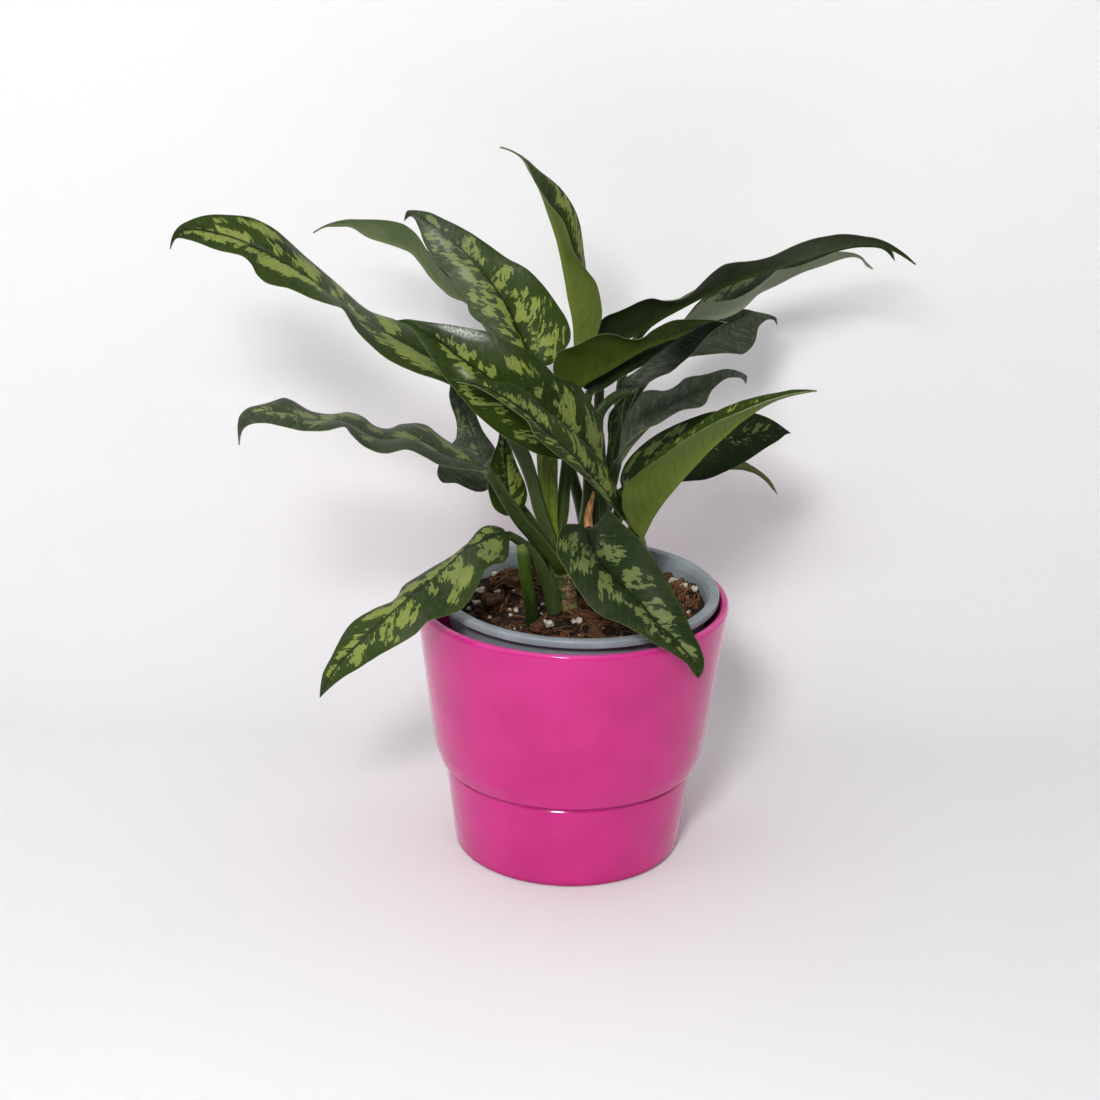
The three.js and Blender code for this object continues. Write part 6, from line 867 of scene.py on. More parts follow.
# Patches of pale colour on the upper side of a leaf: (t, u, half length in t, half width in u, slant).
# t runs from the base (0) to the tip (1), u from the left margin (-1) over the midrib (0) to the right margin (1).
BLOT = {
    "leaf_01": [(.235, -.40, .080, .30, .2), (.17, -.62, .035, .14, 0), (.355, -.58, .055, .09, .2), (.60, -.28, .085, .22, .2), (.70, -.32, .075, .26, 0),
                (.80, -.08, .055, .40, 0), (.875, -.22, .055, .24, 0), (.775, .12, .03, .25, 0), (.325, .36, .028, .30, .3), (.37, .86, .03, .16, .3),
                (.585, .35, .042, .33, 0), (.67, .27, .020, .12, 0), (.735, .72, .058, .14, 0), (.48, .40, .012, .25, 0), (.42, -.25, .03, .3, 0)],
    "leaf_03": [(.145, .52, .036, .30, .4), (.095, .60, .034, .18, 0), (.185, .28, .020, .08, 0), (.215, .55, .018, .08, .3), (.262, .24, .026, .18, .3), (.300, .46, .030, .28, .5),
                (.365, .48, .014, .07, 0), (.385, .30, .012, .08, 0), (.448, .18, .030, .16, .3), (.476, .40, .024, .22, .3), (.49, .62, .014, .08, 0),
                (.64, .30, .026, .28, .2), (.675, .36, .020, .30, .2), (.59, .30, .014, .10, 0), (.865, .35, .030, .30, .3), (.82, .22, .026, .14, 0),
                (.165, -.42, .018, .14, 0), (.15, -.66, .015, .10, 0), (.245, -.66, .036, .12, 0), (.285, -.24, .060, .16, .2), (.375, -.50, .045, .16, .2),
                (.345, -.16, .040, .10, 0), (.45, -.34, .050, .15, .1), (.47, -.74, .030, .10, 0), (.55, -.52, .050, .14, 0), (.60, -.18, .045, .10, 0), (.68, -.46, .05, .17, 0), (.76, -.28, .04, .14, 0), (.80, -.62, .035, .12, 0)],
    "leaf_05": [(.38, -.65, .022, .07, 0), (.43, -.75, .013, .05, 0), (.53, -.52, .022, .09, 0), (.60, -.64, .020, .08, 0), (.655, -.76, .026, .10, 0), (.49, -.7, .012, .05, 0),
                (.71, -.26, .044, .20, .3), (.785, -.15, .050, .13, .2), (.725, .13, .028, .11, 0), (.77, .28, .016, .08, 0), (.235, .62, .044, .20, .4), (.27, .74, .030, .10, 0),
                (.35, .42, .030, .18, .3), (.385, .58, .028, .20, .3), (.30, .34, .014, .08, 0), (.465, .42, .013, .20, 0), (.585, .55, .034, .12, 0), (.545, .66, .02, .08, 0),
                (.43, .70, .028, .05, 0), (.215, .82, .018, .09, 0), (.655, .12, .030, .10, 0), (.30, -.5, .03, .12, 0), (.17, .5, .025, .2, .2), (.84, .1, .02, .1, 0)],
    "leaf_06": [(.185, .50, .030, .42, .3), (.235, .36, .032, .26, .3), (.255, .70, .025, .18, .3), (.355, .28, .036, .20, .3), (.395, .52, .036, .28, .3), (.44, .74, .030, .20, .3),
                (.59, .50, .043, .28, .2), (.645, .40, .026, .20, 0), (.54, .45, .010, .25, 0), (.73, .22, .046, .13, 0), (.79, .10, .030, .18, 0), (.83, .06, .025, .13, 0), (.85, .32, .012, .08, 0),
                (.21, -.55, .044, .30, 0), (.34, -.38, .030, .16, 0), (.42, -.35, .030, .18, 0), (.475, -.32, .030, .18, 0), (.38, -.62, .02, .1, 0), (.54, -.65, .02, .08, 0), (.66, -.45, .015, .2, 0), (.75, -.5, .02, .15, 0)],
    "leaf_07": [(.235, -.24, .040, .24, .2), (.285, -.06, .040, .24, .2), (.325, .12, .030, .20, 0), (.115, .34, .030, .16, .2), (.165, .55, .045, .24, .3), (.24, .66, .050, .14, 0),
                (.44, .35, .03, .2, 0), (.52, .55, .035, .2, 0), (.60, .2, .03, .25, 0), (.69, .1, .04, .2, 0), (.77, -.2, .04, .2, 0), (.84, .2, .03, .25, 0), (.47, -.5, .04, .16, 0), (.66, -.5, .04, .2, 0)],
    "leaf_10": [(.105, -.36, .040, .30, 0), (.14, -.66, .028, .18, .3), (.268, -.46, .046, .28, 0), (.30, -.32, .028, .24, 0), (.345, -.68, .030, .08, 0), (.39, -.36, .011, .16, 0),
                (.555, -.40, .036, .26, .2), (.53, -.62, .020, .12, 0), (.50, -.28, .020, .10, 0), (.635, -.36, .026, .11, 0), (.645, -.70, .014, .09, 0), (.74, -.24, .052, .20, .2), (.80, -.44, .024, .18, 0), (.86, -.12, .036, .14, 0), (.72, -.02, .02, .1, 0),
                (.09, .50, .026, .34, .2), (.13, .30, .026, .20, 0), (.34, .25, .050, .22, .4), (.43, .36, .055, .28, .5), (.545, .30, .050, .26, .5), (.61, .52, .036, .18, .3), (.76, .20, .046, .18, .2), (.82, .38, .036, .20, .2), (.90, .40, .020, .20, 0), (.24, .25, .03, .2, .4)],
    "leaf_11": [(.165, -.15, .028, .13, .2), (.215, -.30, .046, .16, .3), (.25, -.46, .028, .13, 0), (.285, -.30, .014, .10, 0), (.37, -.20, .028, .13, .3), (.42, -.40, .040, .14, .5), (.462, -.56, .022, .08, 0),
                (.56, -.15, .040, .10, 0), (.605, -.28, .046, .14, .3), (.66, -.40, .020, .10, 0), (.73, -.20, .036, .13, 0), (.80, -.20, .040, .18, 0), (.86, -.40, .038, .18, .2), (.90, -.10, .020, .10, 0),
                (.135, .14, .026, .08, .2), (.185, .36, .028, .16, .5), (.245, .50, .036, .12, .5), (.285, .72, .020, .10, 0), (.335, .26, .028, .18, .4), (.385, .42, .034, .14, 0), (.45, .46, .018, .12, 0),
                (.15, .66, .036, .10, .4), (.19, .82, .02, .08, 0), (.55, .14, .036, .10, 0), (.61, .25, .050, .14, .3), (.67, .42, .026, .14, .2), (.76, .3, .02, .1, 0), (.83, .25, .03, .12, 0)],
    "leaf_13": [(.14, -.70, .028, .11, 0), (.19, -.80, .020, .09, 0), (.25, -.60, .034, .14, 0), (.30, -.70, .026, .14, 0), (.28, -.36, .028, .11, 0), (.22, -.22, .040, .13, .3), (.32, -.54, .014, .20, 0),
                (.38, -.75, .014, .10, 0), (.43, -.80, .020, .09, 0), (.05, -.30, .020, .20, 0), (.65, -.35, .028, .09, 0), (.72, -.35, .020, .09, 0), (.78, -.20, .020, .08, 0), (.835, -.40, .034, .11, 0),
                (.86, -.28, .018, .09, 0), (.64, -.10, .020, .06, 0), (.71, .15, .028, .07, 0), (.56, .05, .02, .06, 0), (.45, .3, .03, .1, 0), (.80, .3, .02, .08, 0)],
    "leaf_09": [(.15, .52, .050, .22, .4), (.24, .10, .050, .14, .4), (.30, -.30, .045, .12, 0), (.33, .30, .030, .30, 0), (.37, .05, .022, .40, 0), (.42, .45, .045, .22, 0), (.45, -.10, .026, .30, 0), (.50, -.35, .040, .16, 0),
                (.52, .40, .022, .50, 0), (.57, .10, .040, .22, 0), (.62, -.35, .035, .16, 0), (.60, .6, .016, .3, 0), (.68, .0, .03, .25, 0), (.20, -.45, .02, .1, 0), (.76, -.3, .03, .2, 0), (.84, .1, .03, .25, 0)],
    "leaf_04": [(.50, .78, .040, .12, 0), (.56, .68, .040, .10, .2), (.62, .82, .045, .10, 0), (.67, .62, .030, .14, 0), (.72, .75, .030, .08, 0), (.47, .9, .03, .07, 0), (.42, .88, .03, .08, 0)],
    "leaf_12": [(.31, -.82, .018, .10, 0), (.38, -.86, .018, .09, 0), (.44, -.88, .018, .08, 0), (.50, -.84, .018, .09, 0), (.545, -.92, .013, .06, 0), (.60, -.85, .018, .09, 0), (.66, -.68, .015, .10, 0), (.71, -.62, .013, .10, 0), (.76, -.55, .015, .1, 0), (.70, -.85, .02, .07, 0), (.8, -.7, .012, .1, 0),
                (.2, -.5, .015, .1, 0), (.5, -.45, .012, .08, 0), (.25, .5, .02, .12, 0), (.4, .4, .02, .1, 0), (.55, .5, .015, .1, 0)],
    "leaf_16": [(.24, -.75, .030, .14, 0), (.31, -.70, .035, .16, .2), (.38, -.80, .030, .12, 0), (.46, -.72, .030, .14, .2), (.53, -.80, .020, .10, 0), (.3, .4, .04, .2, 0), (.45, .4, .05, .2, 0), (.6, .3, .04, .2, 0)],
    "leaf_22": [(.22, -.45, .035, .2, .2), (.33, -.60, .035, .2, 0), (.40, -.30, .020, .15, 0)],
    "leaf_20": [], "leaf_18": [], "leaf_19": [],
    "leaf_23": [],
    "leaf_08": [(.10, .0, .03, .2, .2), (.24, -.35, .04, .12, .3), (.18, .6, .04, .2, .3), (.34, -.1, .04, .1, .3), (.30, .05, .012, .06, 0), (.52, .1, .04, .15, .3), (.60, -.3, .05, .2, .3), (.70, -.6, .05, .2, .3), (.38, .15, .01, .06, 0)],
}

# The grey film of each leaf is dust and also painted sheen; values above 0.85 paint a glare highlight. The top-material
# index picks a darker, painted-shade copy of the leaf top.
LOOKS = {
    "leaf_01": dict(dust_sheen_amount=.12, dust_sheen_spots=[(.42, 0, .13, 1.0, .75), (.48, .5, .10, .5, .7), (.30, .8, .10, .5, .55), (.62, .8, .10, .25, .6)], tone=.22, stalk=.10, sbloom=.35, sbase=.8),
    "leaf_02": dict(dust_sheen_amount=.22, tone=.00, under="pale", stalk=-.1),
    # leaf_03: the strong spots towards the tip paint its grey sheen along with dust
    "leaf_03": dict(sbloom=.05, dust_sheen_amount=.10, dust_sheen_spots=[(.36, -.7, .28, .5, .62), (.80, -.3, .34, 1.2, .98), (.58, -.6, .24, .7, .98), (.85, .3, .2, .8, .90), (.30, -.9, .15, .3, .6), (.50, .75, .12, .3, .55)], tone=.30, tone_t=-.9, stalk=.60, sbase=.9),
    "leaf_04": dict(dust_sheen_amount=.06, tone=.35, stalk=-.1, sbase=.8, dust_sheen_spots=[(.80, -.3, .2, 1, .4)]),
    # leaf_05: the spot of 1.6 paints the glare highlight on the crest
    "leaf_05": dict(dust_sheen_amount=.06, dust_sheen_spots=[(.79, .78, .14, .32, 1.6), (.70, -.42, .05, .16, 1.2), (.75, .55, .14, .3, .6)], tone=.05, stalk=.0),
    "leaf_06": dict(dust_sheen_amount=.12, dust_sheen_spots=[(.20, -.6, .2, .5, .35)], tone=.05, stalk=.1),
    "leaf_07": dict(dust_sheen_amount=.50, dust_sheen_spots=[(.60, 0, .34, 1.4, .78), (.12, -.5, .12, .5, .7)], tone=-.10, stalk=-.25, sbase=.9),
    "leaf_08": dict(dust_sheen_amount=.80, dust_sheen_spots=[(.55, -.1, .35, .8, .85), (.2,.4,.1,.3,.3)], tone=.1, shade=1),
    "leaf_09": dict(dust_sheen_amount=.10, tone=.45, stalk=.1),
    "leaf_10": dict(dust_sheen_amount=.22, dust_sheen_spots=[(.22, -.3, .2, .6, .50), (.35, .6, .2, .4, .45)], tone=.32, tone_t=.6, stalk=-.05, sbase=.2, sbloom=.3),
    "leaf_11": dict(dust_sheen_amount=.12, dust_sheen_spots=[(.08, 0, .16, 1, .40)], tone=-.45, tone_t=.7, shade=0, stalk=-.2),
    "leaf_12": dict(shrink=1.5, dust_sheen_amount=.04, tone=.42, tone_t=-.2, stalk=.3),
    "leaf_13": dict(dust_sheen_amount=.08, tone=-.2, shade=1, stalk=-.1),
    "leaf_14": dict(dust_sheen_amount=.15, tone=-.1, stalk=-.2),
    # leaf_15: the underside is a painted-shade copy, as the blade faces down
    "leaf_15": dict(dust_sheen_amount=.03, dust_sheen_spots=[(.72, 0, .2, 1.2, .28)], tone=-.3, under="dark", stalk=-.2),
    # leaf_16: the 0.84 spot and the lighter underside paint grey sheen at a grazing angle
    "leaf_16": dict(shade=1, dust_sheen_amount=.45, dust_sheen_spots=[(.2, 0, .28, 1.5, .84)], tone=.40, stalk=-.2, under="sheen_lit"),
    # leaf_17: tone_t darkens the blade towards the tip, painted shade where the tip lies in shade; the underside is a
    # painted-shade copy
    "leaf_17": dict(dust_sheen_amount=.02, tone=.0, tone_t=-1.2, under="shade_olive", stalk=-.2),
    "leaf_18": dict(dust_sheen_amount=.70, tone=-.3, shade=1, stalk=-.2),
    "leaf_19": dict(dust_sheen_amount=.84, tone=-.3, shade=1, stalk=-.2),
    # leaf_20: the low tone and the darkest copies of top and underside are painted shade
    "leaf_20": dict(dust_sheen_amount=.02, dust_sheen_spots=[(.18, 0, .26, 1.5, .80)], tone=-1.2, shade=2, stalk=-.35, under="dark"),
    # leaf_23: darker copies of top and underside, painted shade as it lies in shadow
    "leaf_23": dict(dust_sheen_amount=.04, dust_sheen_spots=[(.05, 0, .05, 1, .3)], tone=.0, shade=1, stalk=-.4, under="dark", size=.3),
    "leaf_21": dict(dust_sheen_amount=.12, tone=-.2, shade=1, stalk=-.2),
    "leaf_22": dict(dust_sheen_amount=.25, tone=-.1, under="dusk", stalk=-.2),
}


# ------------------------------------------------------------------ small numeric helpers
def unit(a):
    return a / np.maximum(np.linalg.norm(a, axis=-1, keepdims=True), 1e-9)


def smooth01(x):
    x = np.clip(x, 0, 1)
    return x * x * (3 - 2 * x)


def spline(P, n, t=None):
    """n rows on a smooth curve through the rows of P."""
    P = np.asarray(P, float)
    if t is None:
        t = np.r_[0, np.cumsum(np.maximum(np.linalg.norm(np.diff(P[:, :3], axis=0), axis=1), 1e-6))]
    t = np.asarray(t, float)
    h = np.diff(t)[:, None]
    d = np.diff(P, axis=0) / h
    m = np.empty_like(P)
    m[0], m[-1] = d[0], d[-1]
    if len(P) > 2:
        m[1:-1] = (d[:-1] * h[1:] + d[1:] * h[:-1]) / (h[1:] + h[:-1])
    x = np.linspace(0, t[-1], n)
    k = np.clip(np.searchsorted(t, x, side="right") - 1, 0, len(P) - 2)
    hk = (t[k + 1] - t[k])[:, None]
    f = (x - t[k])[:, None] / hk
    return ((2 * f**3 - 3 * f**2 + 1) * P[k] + (f**3 - 2 * f**2 + f) * hk * m[k]
            + (-2 * f**3 + 3 * f**2) * P[k + 1] + (f**3 - f**2) * hk * m[k + 1])


def hash01(i, j, k=0):
    n = (np.asarray(i, np.int64) * 374761393 + np.asarray(j, np.int64) * 668265263 + np.int64(k) * 2147483647) & 0x7FFFFFFF
    n = (n ^ (n >> 13)) * 1274126177 & 0x7FFFFFFF
    n = n ^ (n >> 16)
    return (n & 0xFFFFF) / float(0xFFFFF)


def vnoise(x, y, seed=0):
    """Smooth value noise in the plane, 0..1."""
    xi, yi = np.floor(x).astype(np.int64), np.floor(y).astype(np.int64)
    fx, fy = smooth01(x - xi), smooth01(y - yi)
    a, b = hash01(xi, yi, seed), hash01(xi + 1, yi, seed)
    c, d = hash01(xi, yi + 1, seed), hash01(xi + 1, yi + 1, seed)
    return (a * (1 - fx) + b * fx) * (1 - fy) + (c * (1 - fx) + d * fx) * fy


def fbm(x, y, seed=0, octaves=4):
    v, a, s = 0.0, 0.5, 0.0
    for o in range(octaves):
        v = v + a * vnoise(x * 2**o + 17.3 * o, y * 2**o - 9.1 * o, seed + o)
        s += a
        a *= 0.5
    return v / s


def rotation(axis, angle):
    return np.array(Matrix.Rotation(angle, 3, Vector(axis)))


# ------------------------------------------------------------------ meshes
def mesh_object(name, verts, faces, mats, mat_index=None, attrs=None, sharp=None, smooth=True):
    """A piece from vertices in millimetres. attrs: {name: (n, 3) array per vertex}."""
    verts = np.asarray(verts, float)
    me = bpy.data.meshes.new(name)
    me.from_pydata((verts * MM).tolist(), [], faces)
    for m in mats:
        me.materials.append(m)
    if mat_index is not None:
        me.polygons.foreach_set("material_index", np.asarray(mat_index, np.int32))
    me.polygons.foreach_set("use_smooth", np.full(len(me.polygons), bool(smooth)))
    for key, a in (attrs or {}).items():
        at = me.attributes.new(key, "FLOAT_VECTOR", "POINT")
        at.data.foreach_set("vector", np.asarray(a, np.float32).ravel())
    me.update()
    if sharp:
        me.set_sharp_from_angle(angle=math.radians(sharp))
    o = bpy.data.objects.new(name, me)
    bpy.context.scene.collection.objects.link(o)
    return o


def oriented(verts, faces):
    """The same faces, turned over if the shell is inside out."""
    v = np.asarray(verts, float)
    tri = np.array([(f[0], f[i], f[i + 1]) for f in faces for i in range(1, len(f) - 1)])
    vol = (v[tri[:, 0]] * np.cross(v[tri[:, 1]], v[tri[:, 2]])).sum()
    return [tuple(reversed(f)) for f in faces] if vol < 0 else list(faces)


def piece(obj, slot, *nodes):
    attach(obj, "root")
    if nodes:
        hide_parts(*nodes)
    return obj


def ring_faces(a, b, n):
    return [(a + j, a + (j + 1) % n, b + (j + 1) % n, b + j) for j in range(n)]


def loft(rings, close=True):
    """Vertices and faces through rings of equal point count, with a fan at each end."""
    n = len(rings[0])
    verts = np.concatenate(rings)
    faces = []
    for i in range(len(rings) - 1):
        faces += ring_faces(i * n, (i + 1) * n, n)
    if close:
        k = len(verts)
        verts = np.vstack([verts, rings[0].mean(0), rings[-1].mean(0)])
        faces += [((j + 1) % n, j, k) for j in range(n)]
        e = (len(rings) - 1) * n
        faces += [(e + j, e + (j + 1) % n, k + 1) for j in range(n)]
    return verts, faces


def filleted(points, seg=6):
    """Polyline of (r, z[, fillet radius]) with rounded corners."""
    out = []
    n = len(points)
    for i, p in enumerate(points):
        q = np.array(p[:2], float)
        rad = p[2] if len(p) > 2 else 0
        if i in (0, n - 1) or rad <= 0:
            out.append(q)
            continue
        a, b = np.array(points[i - 1][:2], float) - q, np.array(points[i + 1][:2], float) - q
        la, lb = np.linalg.norm(a), np.linalg.norm(b)
        a, b = a / la, b / lb
        ang = math.acos(float(np.clip(a @ b, -1, 1)))
        if ang > math.pi - 0.02:
            out.append(q)
            continue
        d = min(rad / math.tan(ang / 2), 0.48 * la, 0.48 * lb)
        r = d * math.tan(ang / 2)
        c = q + unit(a + b) * (r / math.sin(ang / 2))
        p0, p1 = q + a * d, q + b * d
        v0, v1 = p0 - c, p1 - c
        t = math.acos(float(np.clip(v0 @ v1 / (r * r), -1, 1)))
        k = max(2, int(seg * t / 1.2) + 1)
        for j in range(k + 1):
            f = j / k
            out.append(c + (math.sin((1 - f) * t) * v0 + math.sin(f * t) * v1) / max(math.sin(t), 1e-6))
    return np.array(out)


def lathe(profile, seg):
    """Closed shell of revolution; the profile starts and ends on the axis."""
    prof = np.asarray(profile)
    a = np.arange(seg) * 2 * np.pi / seg
    verts, faces, rows = [], [], []
    for r, z in prof:
        if r < 1e-6:
            rows.append((len(verts), 1))
            verts.append((0, 0, z))
        else:
            rows.append((len(verts), seg))
            verts += [(r * math.cos(t), r * math.sin(t), z) for t in a]
    for (i, n), (j, m) in zip(rows[:-1], rows[1:]):
        if n == 1 and m == 1:
            continue
        for k in range(seg):
            l = (k + 1) % seg
            if n == 1:
                faces.append((i, j + l, j + k))
            elif m == 1:
                faces.append((i + k, i + l, j))
            else:
                faces.append((i + k, i + l, j + l, j + k))
    return np.array(verts), oriented(verts, faces)


# ------------------------------------------------------------------ node helpers
class Mat:
    """Builds one node material."""

    def __init__(self, name):
        self.mat = bpy.data.materials.new(name)
        self.mat.use_nodes = True
        self.nt = self.mat.node_tree
        self.nt.nodes.clear()
        self.out = self.nt.nodes.new("ShaderNodeOutputMaterial")
        self.bsdf = self.nt.nodes.new("ShaderNodeBsdfPrincipled")
        self.nt.links.new(self.bsdf.outputs[0], self.out.inputs[0])

    def put(self, socket, value):
        if isinstance(value, bpy.types.NodeSocket):
            self.nt.links.new(value, socket)
        elif value is not None:
            if isinstance(value, (tuple, list)) and len(value) == 3 and socket.type == "RGBA":
                value = (*value, 1.0)
            socket.default_value = value

    def node(self, kind, inputs=None, **props):
        n = self.nt.nodes.new(kind)
        for k, v in props.items():
            setattr(n, k, v)
        for k, v in (inputs or {}).items():
            self.put(n.inputs[k], v)
        return n

    def m(self, op, a, b=None, c=None, clamp=False):
        n = self.node("ShaderNodeMath", operation=op, use_clamp=clamp)
        for i, v in enumerate((a, b, c)):
            if v is not None:
                self.put(n.inputs[i], v)
        return n.outputs[0]

    def mix(self, fac, a, b, blend="MIX"):
        n = self.node("ShaderNodeMix", data_type="RGBA", blend_type=blend)
        self.put(n.inputs[0], fac)
        self.put(n.inputs[6], a)
        self.put(n.inputs[7], b)
        return n.outputs[2]

    def attr(self, name):
        n = self.node("ShaderNodeAttribute", attribute_name=name)
        s = self.node("ShaderNodeSeparateXYZ", {0: n.outputs["Vector"]})
        return s.outputs[0], s.outputs[1], s.outputs[2]

    def vec(self, x, y, z=0.0):
        n = self.node("ShaderNodeCombineXYZ")
        for i, v in enumerate((x, y, z)):
            self.put(n.inputs[i], v)
        return n.outputs[0]

    def noise(self, vec, scale=1.0, detail=3.0, rough=0.55, distortion=0.0):
        n = self.node("ShaderNodeTexNoise", {"Vector": vec, "Scale": scale, "Detail": detail, "Roughness": rough, "Distortion": distortion})
        return n.outputs[0]

    def voronoi(self, vec, scale=1.0, feature="F1", out="Distance"):
        n = self.node("ShaderNodeTexVoronoi", {"Vector": vec, "Scale": scale}, feature=feature)
        return n.outputs[out]

    def cells(self, vec):
        """One random value per cell."""
        n = self.node("ShaderNodeTexVoronoi", {"Vector": vec, "Scale": 1.0}, feature="F1")
        c = self.node("ShaderNodeSeparateColor", {0: n.outputs["Color"]})
        return c.outputs[0]

    def step(self, v, lo, hi, a=0.0, b=1.0):
        n = self.node("ShaderNodeMapRange", {0: v, 1: lo, 2: hi, 3: a, 4: b}, interpolation_type="SMOOTHSTEP")
        return n.outputs[0]

    def lin(self, v, lo, hi, a=0.0, b=1.0):
        n = self.node("ShaderNodeMapRange", {0: v, 1: lo, 2: hi, 3: a, 4: b})
        return n.outputs[0]

    def position(self):
        """Place on the piece in millimetres."""
        g = self.node("ShaderNodeTexCoord").outputs["Object"]
        n = self.node("ShaderNodeVectorMath", operation="SCALE")
        self.nt.links.new(g, n.inputs[0])
        n.inputs["Scale"].default_value = 1000.0
        return n.outputs[0]

    def bump(self, height, strength, dist_mm):
        n = self.node("ShaderNodeBump", {"Height": height, "Strength": strength, "Distance": dist_mm * MM})
        return n.outputs[0]

    def done(self, **inputs):
        for k, v in inputs.items():
            self.put(self.bsdf.inputs[k.replace("_", " ")], v)
        return self.mat

# ------------------------------------------------------------------ leaf materials
# crd: across (mm, signed), along (mm) + offset, side-vein coordinate (mm) + offset
# pat: patch field (mm, positive inside a patch), dust and painted sheen 0..1 (above 0.85 also a painted glare
# highlight), tone -1..1
# edg: distance to the margin (mm), distance to the midrib (mm), share of the length
def leaf_top(name, dark_a, dark_b, pale_a, pale_b, rough=0.34, level=0.09):
    M = Mat(name)
    x, s, q = M.attr("crd")
    f, dust_sheen_amount, tone = M.attr("pat")
    edge, rib, t = M.attr("edg")
    # variegation: the outline breaks into blocks and slivers along the side veins
    fray = M.noise(M.vec(M.m("MULTIPLY", q, 1.1), M.m("MULTIPLY", x, 0.9), 1.3), 1.0, 3.0, 0.6)
    shake = M.m("MULTIPLY", M.m("SUBTRACT", fray, 0.5), 1.5)
    qa, xa = M.m("ADD", q, shake), M.m("SUBTRACT", x, shake)
    warp = M.noise(M.vec(M.m("MULTIPLY", q, 0.24), M.m("MULTIPLY", x, 0.17), 3.1), 1.0, 4.0, 0.62)
    c1 = M.cells(M.vec(M.m("MULTIPLY", qa, 0.36), M.m("MULTIPLY", xa, 0.22), 9.7))
    c2 = M.cells(M.vec(M.m("MULTIPLY", qa, 0.85), M.m("MULTIPLY", xa, 0.50), 4.4))
    field = M.m("MULTIPLY_ADD", M.m("SUBTRACT", warp, 0.5), 8.0, f)
    field = M.m("MULTIPLY_ADD", M.m("SUBTRACT", c1, 0.5), 3.8, field)
    field = M.m("MULTIPLY_ADD", M.m("SUBTRACT", c2, 0.55), 2.5, field)
    field = M.m("MULTIPLY_ADD", M.m("SUBTRACT", fray, 0.5), 1.4, field)
    mask = M.step(field, -0.09, 0.09)
    # patches stop short of the midrib line and of the very margin
    mask = M.m("MULTIPLY", mask, M.step(rib, 0.35, 0.7))
    mask = M.m("MULTIPLY", mask, M.step(edge, 0.25, 0.7))
    streak = M.noise(M.vec(M.m("MULTIPLY", q, 0.95), M.m("MULTIPLY", x, 0.18), 5.5), 1.0, 4.0, 0.62)
    cloud = M.noise(M.vec(M.m("MULTIPLY", s, 0.045), M.m("MULTIPLY", x, 0.06), 2.2), 1.0, 3.0, 0.5)
    mottle = M.noise(M.vec(M.m("MULTIPLY", s, 0.40), M.m("MULTIPLY", x, 0.40), 6.2), 1.0, 4.0, 0.65)
    k = M.m("MULTIPLY_ADD", mottle, 0.35, M.m("MULTIPLY", cloud, 0.65))
    dark = M.mix(M.step(M.m("MULTIPLY_ADD", tone, 0.30, k), 0.36, 0.68), dark_a, dark_b)
    dark = M.mix(M.step(streak, 0.42, 0.75, 0.0, 0.30), dark, (dark_b[0] * 1.3, dark_b[1] * 1.25, dark_b[2] * 1.3))
    k = M.m("MULTIPLY_ADD", streak, 0.35, M.m("MULTIPLY_ADD", mottle, 0.30, M.m("MULTIPLY", cloud, 0.35)))
    pale = M.mix(M.step(M.m("MULTIPLY_ADD", tone, 0.32, k), 0.36, 0.66), pale_a, pale_b)
    # a thin half-tone rim, as where thin pale tissue lies over green
    base = M.mix(M.step(field, -0.55, 0.0, 0.0, 0.10), dark, pale)
    inner = M.mix(M.m("MULTIPLY", M.step(c2, 0.55, 0.9), 0.12), pale, dark)
    base = M.mix(mask, base, inner)
    # side veins and the midrib
    vein = M.m("ABSOLUTE", M.m("SUBTRACT", M.m("FRACT", M.m("DIVIDE", q, VEIN)), 0.5))
    vline = M.m("MULTIPLY", M.step(vein, 0.05, 0.0), M.step(rib, 0.6, 3.0))
    base = M.mix(M.m("MULTIPLY", vline, 0.16), base, dark_a)
    base = M.mix(M.step(rib, 0.75, 0.25, 0.0, 0.80), base, (dark_a[0] * 0.8, dark_a[1] * 0.8, dark_a[2] * 0.8))
    base = M.mix(M.step(edge, 0.60, 0.1, 0.0, 0.55), base, (dark_b[0] * 1.9, dark_b[1] * 1.8, dark_b[2] * 2.4))
    # waxy dust in streaks along the veins, paler over the patches; the same grey film is also painted sheen where a
    # leaf catches the light
    dust_sheen_noise = M.noise(M.vec(M.m("MULTIPLY", s, 0.35), M.m("MULTIPLY", x, 0.22), 7.0), 1.0, 5.0, 0.68)
    dust_and_sheen = M.m("MULTIPLY", dust_sheen_amount, M.lin(M.m("MULTIPLY_ADD", streak, 0.55, M.m("MULTIPLY", dust_sheen_noise, 0.45)), 0.36, 0.66))
    dust_and_sheen = M.m("MINIMUM", M.m("MAXIMUM", dust_and_sheen, M.m("MULTIPLY", dust_sheen_amount, 0.38)), 0.80)
    base = M.mix(dust_and_sheen, base, M.mix(mask, (0.150, 0.168, 0.128), (0.245, 0.270, 0.182)))
    # painted highlight: glare of a wet-looking crest, broken into fine specks
    glint = M.noise(M.vec(M.m("MULTIPLY", s, 0.9), M.m("MULTIPLY", x, 0.8), 3.0), 1.0, 5.0, 0.75)
    base = M.mix(M.m("MULTIPLY", M.lin(dust_sheen_amount, 0.85, 1.5), M.step(glint, 0.44, 0.62, 0.20, 0.95)), base, (0.62, 0.66, 0.62))
